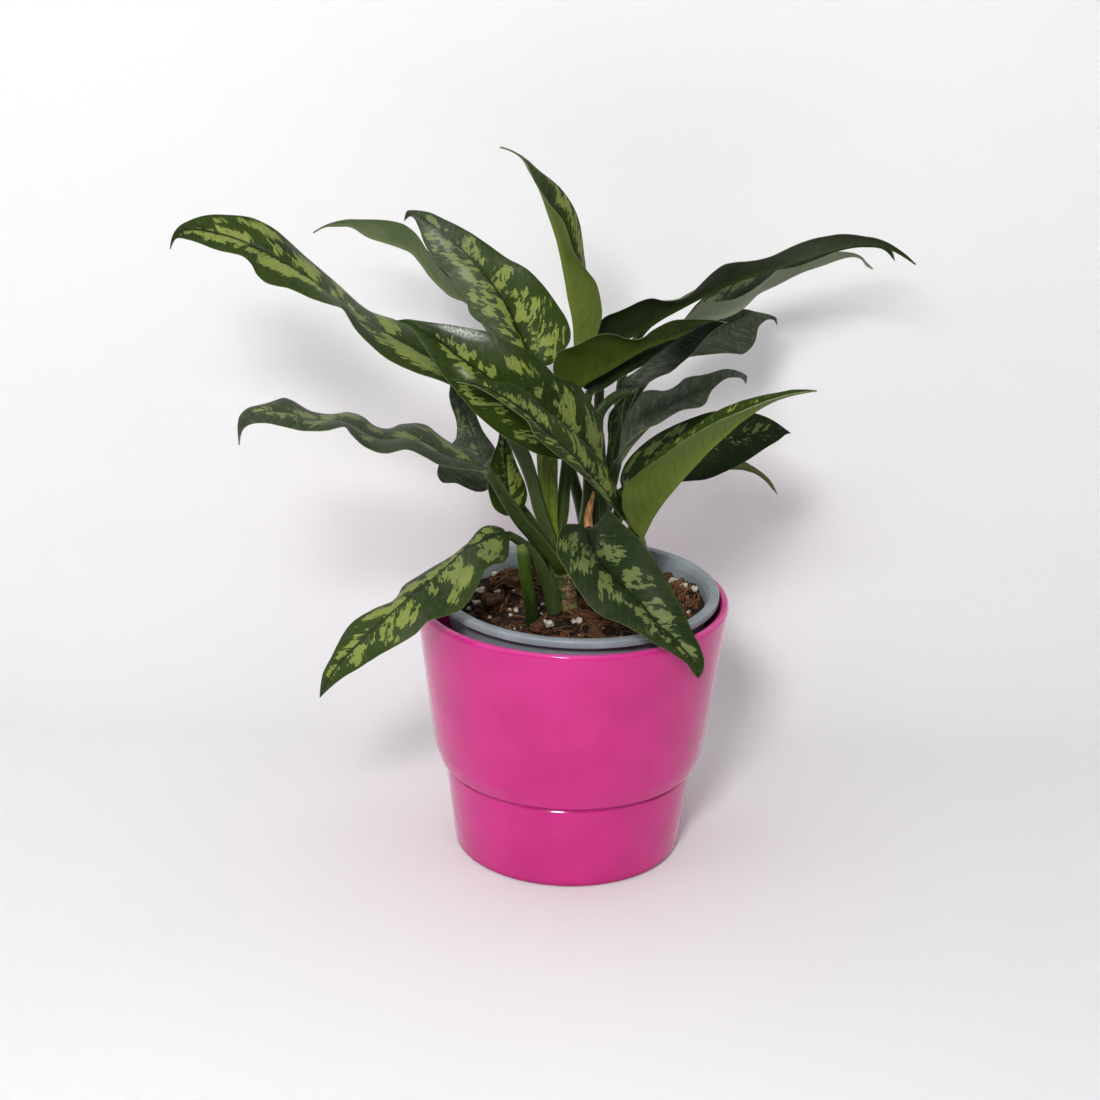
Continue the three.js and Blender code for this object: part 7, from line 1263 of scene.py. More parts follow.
    # scattered pale specks and water spots
    speck = M.voronoi(M.vec(M.m("MULTIPLY", s, 0.30), M.m("MULTIPLY", x, 0.30), 4.0), 1.0)
    base = M.mix(M.m("MULTIPLY", M.step(speck, 0.09, 0.05), 0.28), base, (0.20, 0.23, 0.14))
    rgh = M.lin(M.m("ADD", dust_and_sheen, M.m("MULTIPLY", streak, 0.35)), 0.1, 0.9, rough - 0.04, rough + 0.20)
    blister = M.voronoi(M.vec(M.m("MULTIPLY", q, 1.9), M.m("MULTIPLY", x, 1.2), 0.0), 1.0, "DISTANCE_TO_EDGE")
    grain = M.noise(M.vec(M.m("MULTIPLY", s, 3.0), M.m("MULTIPLY", x, 3.0), 0.0), 1.0, 3.0, 0.6)
    h = M.m("ADD", M.m("MULTIPLY", M.step(blister, 0.0, 0.16), 0.35), M.m("MULTIPLY", grain, 0.35))
    h = M.m("SUBTRACT", h, M.m("MULTIPLY", vline, 0.5))
    return M.done(Base_Color=base, Roughness=rgh, Normal=M.bump(h, 0.40, 0.17), IOR=1.45, Specular_IOR_Level=level)


def leaf_under(name, col_a, col_b, line):
    M = Mat(name)
    x, s, q = M.attr("crd")
    f, dust_sheen_amount, tone = M.attr("pat")
    edge, rib, t = M.attr("edg")
    cloud = M.noise(M.vec(M.m("MULTIPLY", s, 0.05), M.m("MULTIPLY", x, 0.07), 8.0), 1.0, 3.0, 0.5)
    streak = M.noise(M.vec(M.m("MULTIPLY", q, 1.4), M.m("MULTIPLY", x, 0.12), 2.0), 1.0, 4.0, 0.6)
    k = M.m("ADD", M.m("MULTIPLY", tone, 0.42), M.m("MULTIPLY_ADD", streak, 0.55, M.m("MULTIPLY", cloud, 0.45)))
    base = M.mix(M.step(k, 0.22, 0.78), col_a, col_b)
    # the upper side's patches show through faintly
    base = M.mix(M.step(f, -1.0, 1.5, 0.0, 0.20), base, (col_b[0] * 1.25, col_b[1] * 1.2, col_b[2] * 1.25))
    wob = M.noise(M.vec(M.m("MULTIPLY", s, 0.12), M.m("MULTIPLY", x, 0.12), 0.0), 1.0, 2.0, 0.5)
    qq = M.m("MULTIPLY_ADD", M.m("SUBTRACT", wob, 0.5), 2.4, q)
    v1 = M.m("ABSOLUTE", M.m("SUBTRACT", M.m("FRACT", M.m("DIVIDE", qq, VEIN)), 0.5))
    v2 = M.m("ABSOLUTE", M.m("SUBTRACT", M.m("FRACT", M.m("DIVIDE", qq, VEIN * 0.31)), 0.5))
    main = M.m("MULTIPLY", M.step(v1, 0.045, 0.005), M.step(rib, 1.0, 3.0))
    minor = M.m("MULTIPLY", M.step(v2, 0.12, 0.02), M.step(rib, 1.0, 4.0))
    base = M.mix(M.m("MULTIPLY", main, 0.62), base, line)
    base = M.mix(M.m("MULTIPLY", minor, 0.16), base, line)
    base = M.mix(M.step(rib, 2.2, 0.6, 0.0, 0.55), base, (col_b[0] * 1.25, col_b[1] * 1.2, col_b[2] * 1.2))
    base = M.mix(M.step(edge, 0.9, 0.1, 0.0, 0.45), base, (col_a[0] * 0.7, col_a[1] * 0.8, col_a[2] * 0.7))
    # dust in streaks, which also paints the grey sheen of an underside that catches the light
    dust_and_sheen = M.m("MULTIPLY", dust_sheen_amount, M.lin(streak, 0.30, 0.70, 0.35, 1.0))
    base = M.mix(dust_and_sheen, base, (0.175, 0.195, 0.135))
    grain = M.noise(M.vec(M.m("MULTIPLY", s, 2.2), M.m("MULTIPLY", x, 2.2), 0.0), 1.0, 3.0, 0.6)
    h = M.m("ADD", M.m("MULTIPLY", main, 0.6), M.m("MULTIPLY", grain, 0.3))
    h = M.m("MULTIPLY_ADD", minor, 0.25, h)
    rgh = M.lin(grain, 0.3, 0.7, 0.40, 0.52)
    return M.done(Base_Color=base, Roughness=rgh, Normal=M.bump(h, 0.35, 0.18), IOR=1.42, Specular_IOR_Level=0.10)


def stalk_material(name, dark, mid, pale):
    M = Mat(name)
    x, s, q = M.attr("crd")
    f, dust_sheen_amount, tone = M.attr("pat")
    edge, rib, t = M.attr("edg")
    n1 = M.noise(M.vec(M.m("MULTIPLY", s, 0.16), M.m("MULTIPLY", x, 0.9), 1.0), 1.0, 4.0, 0.6)
    n2 = M.noise(M.vec(M.m("MULTIPLY", s, 0.9), M.m("MULTIPLY", x, 0.9), 5.0), 1.0, 3.0, 0.65)
    k = M.m("ADD", M.m("MULTIPLY", tone, 0.5), M.m("MULTIPLY_ADD", n1, 0.6, M.m("MULTIPLY", n2, 0.4)))
    base = M.mix(M.step(k, 0.22, 0.72), dark, mid)
    base = M.mix(M.step(k, 0.66, 1.05), base, pale)
    mottle = M.step(M.m("MULTIPLY_ADD", n2, 0.7, M.m("MULTIPLY", n1, 0.3)), 0.54, 0.60, 0.0, 0.35)
    base = M.mix(mottle, base, mid)
    # thin papery edges of the sheath, f is the distance from them
    rim = M.m("MULTIPLY", M.step(f, 0.50, 0.10, 0.0, 0.5), M.step(t, -0.90, -0.99))
    base = M.mix(rim, base, (0.15, 0.21, 0.045))
    dust_and_sheen = M.m("MULTIPLY", dust_sheen_amount, M.lin(n1, 0.3, 0.7, 0.3, 1.0))
    base = M.mix(dust_and_sheen, base, (0.11, 0.13, 0.075))
    ribs = M.noise(M.vec(M.m("MULTIPLY", s, 0.05), M.m("MULTIPLY", x, 2.6), 0.0), 1.0, 2.0, 0.5)
    h = M.m("MULTIPLY_ADD", n2, 0.25, ribs)
    return M.done(Base_Color=base, Roughness=M.lin(n2, 0.3, 0.7, 0.34, 0.50), Normal=M.bump(h, 0.4, 0.22), IOR=1.42, Specular_IOR_Level=0.28)


def edge_material():
    M = Mat("leaf_edge")
    x, s, q = M.attr("crd")
    n = M.noise(M.vec(M.m("MULTIPLY", s, 0.4), 0.0, 0.0), 1.0, 3.0, 0.6)
    return M.done(Base_Color=M.mix(M.step(n, 0.35, 0.65), (0.10, 0.14, 0.04), (0.20, 0.24, 0.09)), Roughness=0.45)


VEIN = 6.6  # spacing of the side veins, mm
TOP = leaf_top("leaf_top", (0.008, 0.018, 0.001), (0.023, 0.044, 0.0015), (0.118, 0.158, 0.045), (0.220, 0.266, 0.048))
# darker copies of the leaf top: painted shade for leaves lying in the shade of others, the darkest one for the leaf
# deepest in shade
TOP_SHADE = leaf_top("leaf_top_shade", (0.004, 0.010, 0.0012), (0.011, 0.023, 0.003), (0.062, 0.088, 0.026), (0.105, 0.140, 0.032), 0.40, 0.06)
TOP_DARKEST_SHADE = leaf_top("leaf_top_darkest_shade", (0.0010, 0.0025, 0.0005), (0.005, 0.010, 0.0015), (0.010, 0.018, 0.003), (0.018, 0.028, 0.006), 0.42, 0.05)
UNDER = leaf_under("leaf_under", (0.046, 0.078, 0.009), (0.112, 0.152, 0.024), (0.024, 0.042, 0.006))
STALK = stalk_material("leaf_stalk", (0.010, 0.024, 0.002), (0.040, 0.068, 0.006), (0.17, 0.23, 0.020))
EDGE = edge_material()

# ------------------------------------------------------------------ leaves
COLS = np.array([0, .025, .06, .11, .18, .27, .37, .48, .59, .70, .80, .89, .96, 1.0])
HALF = len(COLS)
ROW = 2 * HALF - 1            # points across one face of the blade
CREASE = 0.07                 # crown of each half blade, share of its width


def soften(A, w, sigma):
    """Running weighted mean of vectors along a leaf."""
    n = len(A)
    i = np.arange(n)
    k = np.exp(-0.5 * ((i[:, None] - i[None, :]) / sigma) ** 2) * w[None, :]
    return unit(k @ A)


def field_of(patches, t, u, ln, hw):
    f = np.full(t.shape, -12.0)
    for t0, u0, rt, ru, sl in patches:
        dt, du = t - t0 - sl * (u - u0) * rt / max(ru, 1e-3), u - u0
        # more than an ellipse, less than a box
        r = (np.abs(dt / rt) ** 2.6 + np.abs(du / ru) ** 2.6) ** (1 / 2.6)
        f = np.maximum(f, (1 - r) * np.minimum(rt * ln, ru * hw * 1.3))
    return f


def auto_patches(seed, n=9, size=1.0):
    """A plausible set of patches for faces that the photograph hides."""
    r = np.random.default_rng(seed)
    out = []
    for side in (-1, 1):
        t = 0.08 + 0.06 * r.random()
        while t < 0.90:
            rt = (0.025 + 0.035 * r.random()) * size
            u = side * (0.22 + 0.40 * r.random())
            out.append((t + rt, u, rt, 0.14 + 0.20 * r.random(), side * 0.5 * r.random()))
            if r.random() < 0.5:
                out.append((t + rt * 1.6, side * (0.55 + 0.25 * r.random()), rt * 0.5, 0.12, side * 0.4))
            t += rt * 2 + 0.035 + 0.07 * r.random()
    return out


def build_leaf(name, spec):
    look = LOOKS.get(name, {})
    seed = int(name[-2:])
    rows = np.array(spec["blade"], float)
    K = len(rows)
    ln0 = np.linalg.norm(np.diff(rows[:, 3:6], axis=0), axis=1).sum()
    N = int(np.clip(ln0 / 1.05, 64, 176))
    S = spline(rows, N, np.arange(K))
    L, M, R = S[:, :3], S[:, 3:6], S[:, 6:9]
    ds = np.linalg.norm(np.diff(M, axis=0), axis=1)
    s = np.r_[0, np.cumsum(ds)]
    ln = s[-1]
    t = s / ln
    tp = np.linspace(0, 1, N)     # place along the leaf by station
    T = unit(np.gradient(M, axis=0))
    hl, hr = M - L, R - M
    wl, wr = np.linalg.norm(hl, axis=1), np.linalg.norm(hr, axis=1)
    nl = soften(np.cross(hl, T), np.ones(N), 2.2)
    nr = soften(np.cross(hr, T), np.ones(N), 2.2)
    hw = max(wl.max(), wr.max())
    pet = np.array(spec["pet"], float)
    pr0 = pet[-1, 3] / 2
    # petiole centreline, joined to the start of the midrib
    P4 = np.vstack([pet, np.r_[M[0], pet[-1, 3]]]) if np.linalg.norm(pet[-1, :3] - M[0]) > 1.0 else np.vstack([pet[:-1], np.r_[M[0], pet[-1, 3]]])
    plen = np.linalg.norm(np.diff(P4[:, :3], axis=0), axis=1).sum()
    np_ = int(np.clip(plen / 1.8, 10, 90))
    C4 = spline(P4, np_)
    PC, PR = C4[:, :3], np.clip(C4[:, 3], 2.6, None) / 2
    PT = unit(np.gradient(PC, axis=0))
    k3 = N // 3
    side = unit((R[k3] - L[k3])[None])[0]
    b0 = min(N - 1, 4)
    rings, crd, pat, edg = [], [], [], []
    a_top = np.pi * (1 - (np.arange(ROW) + 0.5) / ROW)
    a_all = np.r_[a_top, -a_top[::-1]]
    # walk the side vector down the stalk
    w = side - (side @ PT[-1]) * PT[-1]
    w = w / np.linalg.norm(w)
    W = [w]
    for i in range(np_ - 2, -1, -1):
        w = w - (w @ PT[i]) * PT[i]
        w = w / np.linalg.norm(w)
        W.append(w)
    W = W[::-1]
    stone = look.get("stalk", 0.0)
    for i in range(np_ - 1):
        rad = PR[i]
        n = np.cross(W[i], PT[i])
        sh = float(np.clip((2 * rad - 4.3) / 3.5, 0, 1))
        da = a_all - np.pi / 2
        rr = rad * (1 - 0.40 * sh * np.exp(-(da / 0.42) ** 2) + 0.09 * sh * np.exp(-((np.abs(da) - 0.78) / 0.2) ** 2)
                    + 0.02 * np.sin(5 * a_all + seed))
        rings.append(PC[i] + (rr * np.cos(a_all))[:, None] * W[i] + (rr * np.sin(a_all) * (1 - 0.12 * sh))[:, None] * n)
        sp = -(plen - plen * i / (np_ - 1))
        crd.append(np.c_[rad * a_all + 31 * seed, np.full(2 * ROW, sp + 300.0), np.full(2 * ROW, sp + 300.0)])
        pat.append(np.c_[np.where(sh > 0.15, np.abs(np.abs(da) - 0.78) * rad, 9.0), np.full(2 * ROW, look.get("sbloom", 0.15)),
                         np.full(2 * ROW, stone + look.get("sbase", 0.35) * math.exp(-(i / np_) * 5))])
        edg.append(np.c_[np.full(2 * ROW, 5.0), np.full(2 * ROW, 5.0), np.full(2 * ROW, -1.0)])
    nst = len(rings)
    # blade
    patches = BLOT.get(name)
    if patches is None:
        patches = auto_patches(seed + 40, size=look.get("size", 1.0))
    elif look.get("more"):
        patches = list(patches) + [p for p in auto_patches(seed + 40) if look["more"][0] < p[0] < look["more"][1]]
    amp = look.get("relief", 0.26)
    ph = RNG_PHASE[seed]
    g = smooth01(s / 6)[:, None]
    rib_r = ((pr0 - 0.4) * (1 - smooth01(t * 1.15)) + 0.16)[:, None]
    nm = unit(nl + nr)
    u = COLS[None, :]
    sides = []
    for sd in (-1, 1):
        H, nn, wd = (-hl, nl, wl[:, None]) if sd < 0 else (hr, nr, wr[:, None])
        d = u * wd
        off = 0.55 * d + 0.85 * d * d / max(hw, 1)
        q = s[:, None] - off
        env = smooth01(d / 2.5) * (1 - u ** 8) * np.minimum(1.0, wd / 9)
        rel = amp * env * (np.abs(np.sin(np.pi * (q / VEIN + 0.5))) ** 0.7 - 0.62)
        rel = rel + 0.22 * u * np.sin(s[:, None] / 9.0 + ph[0] + 0.11 * d * sd) + 0.14 * u * np.sin(s[:, None] / 5.1 + ph[1] - 0.2 * d * sd)
        bl = np.clip(d / 1.8, 0, 1)[..., None]
        nv = unit(nm[:, None] * (1 - bl) + nn[:, None] * bl)
        base = M[:, None] + u[..., None] * H[:, None] + (CREASE * wd * np.sin(np.pi * u))[..., None] * nn[:, None]
        th = 0.30 - 0.17 * u ** 2
        top = base + nv * (th + rel - 0.42 * g * np.minimum(1, wd / 6) * np.exp(-(d / 0.9) ** 2))[..., None]
        bot = base + nv * (-th + rel - rib_r * np.exp(-(d / np.maximum(0.8, rib_r)) ** 2))[..., None]
        tt = np.broadcast_to(tp[:, None], d.shape)
        uu = np.broadcast_to(sd * u, d.shape)
        ff = field_of(patches, tt, uu, ln, np.maximum(wd, 0.5 * hw)) - look.get("shrink", 0.0)
        dust_sheen_field = dust_sheen_at(look, tt, uu)
        tone = look.get("tone", 0.0) + look.get("tone_t", 0.0) * (tt - 0.5)
        cc = np.stack([d * sd + 31 * seed, np.broadcast_to(s[:, None] + 53 * seed, d.shape), q + 53 * seed], -1)
        pp = np.stack([ff, dust_sheen_field, tone], -1)
        ee = np.stack([wd - d, d, tt], -1)
        sides.append([a[:, ::-1] if sd < 0 else a[:, 1:] for a in (top, bot, cc, pp, ee)])
    top, bot, cc, pp, ee = (np.concatenate([a, b], 1) for a, b in zip(*sides))
    for i in range(N):
        ring = np.vstack([top[i], bot[i][::-1]])
        wg = smooth01((s[i] + 0.4) / look.get("join", 5.0))
        if wg < 1:
            rad = pr0 * (1 - 0.25 * wg)
            n = np.cross(W[-1], T[i])
            circ = M[i] + (rad * np.cos(a_all))[:, None] * W[-1] + (rad * np.sin(a_all))[:, None] * n
            ring = circ * (1 - wg) + ring * wg
        rings.append(ring)
        crd.append(np.vstack([cc[i], cc[i][::-1]])), pat.append(np.vstack([pp[i], pp[i][::-1]])), edg.append(np.vstack([ee[i], ee[i][::-1]]))
    verts, faces = loft(rings)
    n2 = 2 * ROW
    crd, pat, edg = np.vstack(crd), np.vstack(pat), np.vstack(edg)
    crd, pat, edg = (np.vstack([a, a[0], a[-1]]) for a in (crd, pat, edg))
    mi = []
    for i in range(len(rings) - 1):
        for j in range(n2):
            if i < nst:
                mi.append(2)
            elif j < ROW - 1:
                mi.append(0)
            elif j in (ROW - 1, n2 - 1):
                mi.append(3)
            else:
                mi.append(1)
    mi += [2] * n2 + [1] * n2
    turned_over = oriented(verts, faces)
    # the look picks the plain top or one of its darker painted-shade copies
    top_mat = (TOP, TOP_SHADE, TOP_DARKEST_SHADE)[look.get("shade", 0)]
    o = mesh_object(name + "_blade", verts, turned_over, [top_mat, look.get("under", UNDER), STALK, EDGE], mi,
                    {"crd": crd, "pat": pat, "edg": edg}, sharp=55)
    return piece(o, "leaf_plain" if name in PLAIN else "leaf", name)


def dust_sheen_at(look, t, u):
    b = np.full(u.shape, look.get("dust_sheen_amount", 0.12))
    for t0, u0, rt, ru, k in look.get("dust_sheen_spots", ()):
        r = ((t - t0) / rt) ** 2 + ((u - u0) / ru) ** 2
        b = np.maximum(b, k * np.exp(-r * 1.2))
    return b


RNG_PHASE = np.random.default_rng(11).random((40, 2)) * 6.28
PLAIN = {"leaf_02", "leaf_17", "leaf_22"}

# ------------------------------------------------------------------ pots
def glaze():
    M = Mat("magenta_glaze")
    p = M.position()
    n = M.noise(p, 0.035, 3.0, 0.5)
    fine = M.noise(p, 0.55, 3.0, 0.55)
    base = M.mix(M.step(n, 0.30, 0.70), (0.530, 0.013, 0.192), (0.600, 0.018, 0.224))
    sep = M.node("ShaderNodeSeparateXYZ", {0: p}).outputs[2]
    # the glaze is a little darker in the groove and at the foot
    groove_and_foot_darkening = M.m("MAXIMUM", M.step(M.m("ABSOLUTE", M.m("SUBTRACT", sep, 42.0)), 1.3, 0.2), M.step(sep, 4.0, 0.4))
    base = M.mix(M.m("MULTIPLY", groove_and_foot_darkening, 0.55), base, (0.30, 0.003, 0.09))
    # painted highlight: paler over the rounded lip, where it catches the light
    base = M.mix(M.m("MULTIPLY", M.step(sep, 122.6, 124.4), 0.30), base, (0.80, 0.12, 0.42))
    speck = M.voronoi(p, 0.16)
    base = M.mix(M.m("MULTIPLY", M.step(speck, 0.035, 0.02), 0.5), base, (0.30, 0.01, 0.10))
    h = M.m("MULTIPLY_ADD", fine, 0.25, n)
    return M.done(Base_Color=base, Roughness=M.lin(fine, 0.3, 0.7, 0.10, 0.16), Normal=M.bump(h, 0.10, 0.5), IOR=1.5, Specular_IOR_Level=0.30, Coat_Weight=0.22, Coat_Roughness=0.05)


def grower_plastic():
    M = Mat("grower_plastic")
    p = M.position()
    n = M.noise(p, 0.06, 4.0, 0.6)
    fine = M.noise(p, 1.6, 3.0, 0.6)
    base = M.mix(M.step(n, 0.3, 0.7), (0.225, 0.265, 0.295), (0.330, 0.370, 0.400))
    dirt = M.step(M.m("MULTIPLY_ADD", fine, 0.45, M.m("MULTIPLY", n, 0.55)), 0.54, 0.66)
    z = M.node("ShaderNodeSeparateXYZ", {0: p}).outputs[2]
    low = M.step(z, 126.5, 117.0)
    base = M.mix(M.m("MULTIPLY", M.m("MULTIPLY_ADD", low, 0.6, 0.12), dirt), base, (0.045, 0.030, 0.020))
    scratch = M.noise(M.vec(M.m("MULTIPLY", z, 2.0), 0.0, M.noise(p, 0.02, 1.0)), 1.0, 2.0)
    h = M.m("MULTIPLY_ADD", fine, 0.5, scratch)
    return M.done(Base_Color=base, Roughness=M.lin(fine, 0.3, 0.7, 0.36, 0.50), Normal=M.bump(h, 0.15, 0.12), IOR=1.46)


GLAZE, GROWER = glaze(), grower_plastic()

# outer pot: the same profile as its CAD piece, with every corner rounded
s0, z0, r0, h0, w0 = 59.2, 42.3, 73.0, 124.5, 4.6
outer = filleted([
    (0, 0), (51.0, 0, 0), (53.6, 0.2, 2.4), (s0 - 0.55, z0 - 1.35, 0.8), (s0 - 1.25, z0 - 0.35, 0.6), (s0 - 0.2, z0 + 0.35, 0.7),
    (s0 + 2.3, z0 + 2.3, 2.6), (s0 + 4.4, z0 + 9.0, 12.0), (s0 + 6.3, z0 + 20.5, 30.0), (r0 - 0.1, h0 - 2.0, 3.0),
    (r0 - 0.8, h0 - 0.1, 1.6), (r0 - 3.2, h0 - 0.1, 1.6), (r0 - w0, h0 - 2.4, 2.2),
    (s0 + 6.2 - w0, z0 + 20.5, 20.0), (s0 + 2.4 - w0, z0 + 9, 8.0), (s0 - w0 - 0.4, z0 - 2, 6.0),
    (53.6 - w0, 7.0, 1.6), (53.6 - w0 - 2.0, 6, 1.4), (0, 6)], 9)
v, f = lathe(outer, 220)
cachepot = piece(mesh_object("cachepot_glazed", v, f, [GLAZE], sharp=80), "pot_glaze", "cachepot")

# grower's pot: thin wall, rolled rim with a lip, drain holes in the floor
GX, GY, GR, GZ = 2.3, 1.0, 66.0, 128.5
BASE_R, GWALL, FLOOR = 44.5, 1.2, 6.0


def grower_wall(z):
    return BASE_R + (GR - 4.2 - BASE_R) * (z - FLOOR) / (GZ - FLOOR)


zb = FLOOR + 0.35
prof = filleted([
    (0, zb), (BASE_R, zb, 1.2), (grower_wall(GZ - 3.6), GZ - 3.1, 0.3), (GR - 1.0, GZ - 3.5, 0.5), (GR - 0.1, GZ - 3.8, 0.5), (GR, GZ - 0.3, 1.1),
    (GR - 1.6, GZ, 0.6), (GR - 4.4, GZ - 0.2, 1.3), (grower_wall(GZ - 5) - GWALL + 0.1, GZ - 3.0, 1.4),
    (grower_wall(104.0) - GWALL, 104.0, 0), (grower_wall(zb + GWALL) - GWALL, zb + GWALL, 1.0), (0, zb + GWALL)], 8)
v, f = lathe(prof, 200)
v = v + np.array([GX, GY, 0])
grower = mesh_object("grower_pot_shell", v, f, [GROWER], sharp=70)
cutters = []
for i in range(6):
    a = (i + 0.5) * math.pi / 3
    cv, cf = lathe([(0, -3), (4.0, -3), (4.0, 4), (0, 4)], 28)
    c = mesh_object("drain_cut_%d" % i, cv + np.array([GX + 28 * math.cos(a), GY + 28 * math.sin(a), zb]), cf, [GROWER], smooth=False)
    b = grower.modifiers.new("drain", "BOOLEAN")
    b.operation, b.object, b.solver = "DIFFERENCE", c, "EXACT"
    cutters.append(c)
dg = bpy.context.evaluated_depsgraph_get()
cut_mesh = bpy.data.meshes.new_from_object(grower.evaluated_get(dg), depsgraph=dg)
grower.modifiers.clear()
grower.data = cut_mesh
for c in cutters:
    bpy.data.objects.remove(c)
piece(grower, "grower_plastic", "nursery_pot")


# ------------------------------------------------------------------ potting mix
BANKS = [[56, 18, 9.5, 27], [-36, 46, 4.5, 24], [8, 50, 2.5, 22], [0, -40, -2.5, 26], [-45, -12, -3, 20], [-31, 34, 2.0, 9], [10, -14, 1.2, 10]]


def level(x, y):
    z = 114.2 + 0.7 * np.sin(x * 0.21 + 1.3) * np.cos(y * 0.19 - 0.4) + 0.45 * np.sin(x * 0.43 + y * 0.39)
    for bx, by, h, r in BANKS:
        z = z + h * np.exp(-((x - bx) ** 2 + (y - by) ** 2) / (r * r))
    return z


def mix_height(x, y):
    return level(x, y) - 0.9 + 3.4 * (fbm(x / 6.5, y / 6.5, 3, 4) - 0.5) + 1.6 * (fbm(x / 1.7, y / 1.7, 9, 3) - 0.5)


def mix_material():
    M = Mat("potting_mix_fine")
    p = M.position()
    a = M.noise(p, 0.22, 5.0, 0.68)
    b = M.noise(p, 1.1, 4.0, 0.65)
    c = M.voronoi(p, 0.55)
    base = M.mix(M.step(a, 0.38, 0.66), (0.003, 0.002, 0.0016), (0.028, 0.012, 0.006))
    base = M.mix(M.step(b, 0.50, 0.70, 0.0, 0.7), base, (0.105, 0.048, 0.020))
    base = M.mix(M.step(c, 0.16, 0.08, 0.0, 0.5), base, (0.14, 0.075, 0.035))
    h = M.m("MULTIPLY_ADD", b, 0.6, a)
    return M.done(Base_Color=base, Roughness=M.lin(b, 0.3, 0.7, 0.75, 0.95), Normal=M.bump(h, 0.9, 0.9), IOR=1.35)


def bark_material(name, dark, mid, light, along=1.0):
    M = Mat(name)
    x, s, q = M.attr("crd")
    f1 = M.noise(M.vec(M.m("MULTIPLY", s, 0.16 * along), M.m("MULTIPLY", x, 1.7), q), 1.0, 4.0, 0.65)
    f2 = M.noise(M.vec(M.m("MULTIPLY", s, 1.0), M.m("MULTIPLY", x, 1.0), q), 1.0, 3.0, 0.6)
    k = M.m("MULTIPLY_ADD", f1, 0.65, M.m("MULTIPLY", f2, 0.35))
    base = M.mix(M.step(k, 0.34, 0.52), dark, mid)
    base = M.mix(M.step(k, 0.52, 0.68), base, light)
    hue = M.node("ShaderNodeObjectInfo")
    h = M.m("MULTIPLY_ADD", f1, 1.0, M.m("MULTIPLY", f2, 0.4))
    return M.done(Base_Color=base, Roughness=M.lin(f2, 0.3, 0.7, 0.68, 0.92), Normal=M.bump(h, 0.8, 0.5), IOR=1.4)


def perlite_material():
    M = Mat("perlite_grain")
    p = M.position()
    a = M.noise(p, 0.9, 4.0, 0.6)
    b = M.voronoi(p, 1.9)
    base = M.mix(M.step(a, 0.35, 0.68), (0.46, 0.38, 0.29), (0.86, 0.82, 0.73))
    base = M.mix(M.step(b, 0.22, 0.08, 0.0, 0.6), base, (0.22, 0.14, 0.08))
    return M.done(Base_Color=base, Roughness=M.lin(a, 0.3, 0.7, 0.8, 0.95), Normal=M.bump(M.m("ADD", a, b), 0.7, 0.5))


MIX = mix_material()
BARK = bark_material("bark_fibrous", (0.010, 0.004, 0.0025), (0.100, 0.038, 0.013), (0.33, 0.165, 0.070))
FIBRE = bark_material("coir_fibre", (0.030, 0.012, 0.005), (0.190, 0.080, 0.030), (0.52, 0.300, 0.150))
PERL = perlite_material()

NR, NA = 74, 200
ring_r = np.linspace(0, 1, NR + 1)[1:]
ang = np.arange(NA) * 2 * np.pi / NA
wall_at = lambda z: grower_wall(z) - GWALL - 0.35
mv, mf = [(GX, GY, float(mix_height(np.array(GX), np.array(GY))))], []
for rr in ring_r:
    edge = wall_at(level(GX + 58 * np.cos(ang), GY + 58 * np.sin(ang)))
    x, y = GX + rr * edge * np.cos(ang), GY + rr * edge * np.sin(ang)
    z = mix_height(x, y) - 0.5 * smooth01((rr - 0.9) / 0.1)
    mv += list(zip(x, y, z))
at = lambda i, j: 0 if i == 0 else 1 + (i - 1) * NA + j % NA
mf += [(0, at(1, j), at(1, j + 1)) for j in range(NA)]
for i in range(1, NR):
    mf += [(at(i, j), at(i + 1, j), at(i + 1, j + 1), at(i, j + 1)) for j in range(NA)]
zlow = FLOOR + 0.35 + GWALL + 0.35
for z in (60.0, zlow):
    k = len(mv)
    mv += [(GX + wall_at(z) * math.cos(a), GY + wall_at(z) * math.sin(a), z) for a in ang]
    top = at(NR, 0) if z == 60.0 else k - NA
    mf += [(top + j, k + j, k + (j + 1) % NA, top + (j + 1) % NA) for j in range(NA)]
k = len(mv)
mv.append((GX, GY, zlow))
mf += [(k - NA + j, k, k - NA + (j + 1) % NA) for j in range(NA)]
piece(mesh_object("potting_mix_bed", mv, oriented(mv, mf), [MIX]), "potting_mix", "potting_mix")


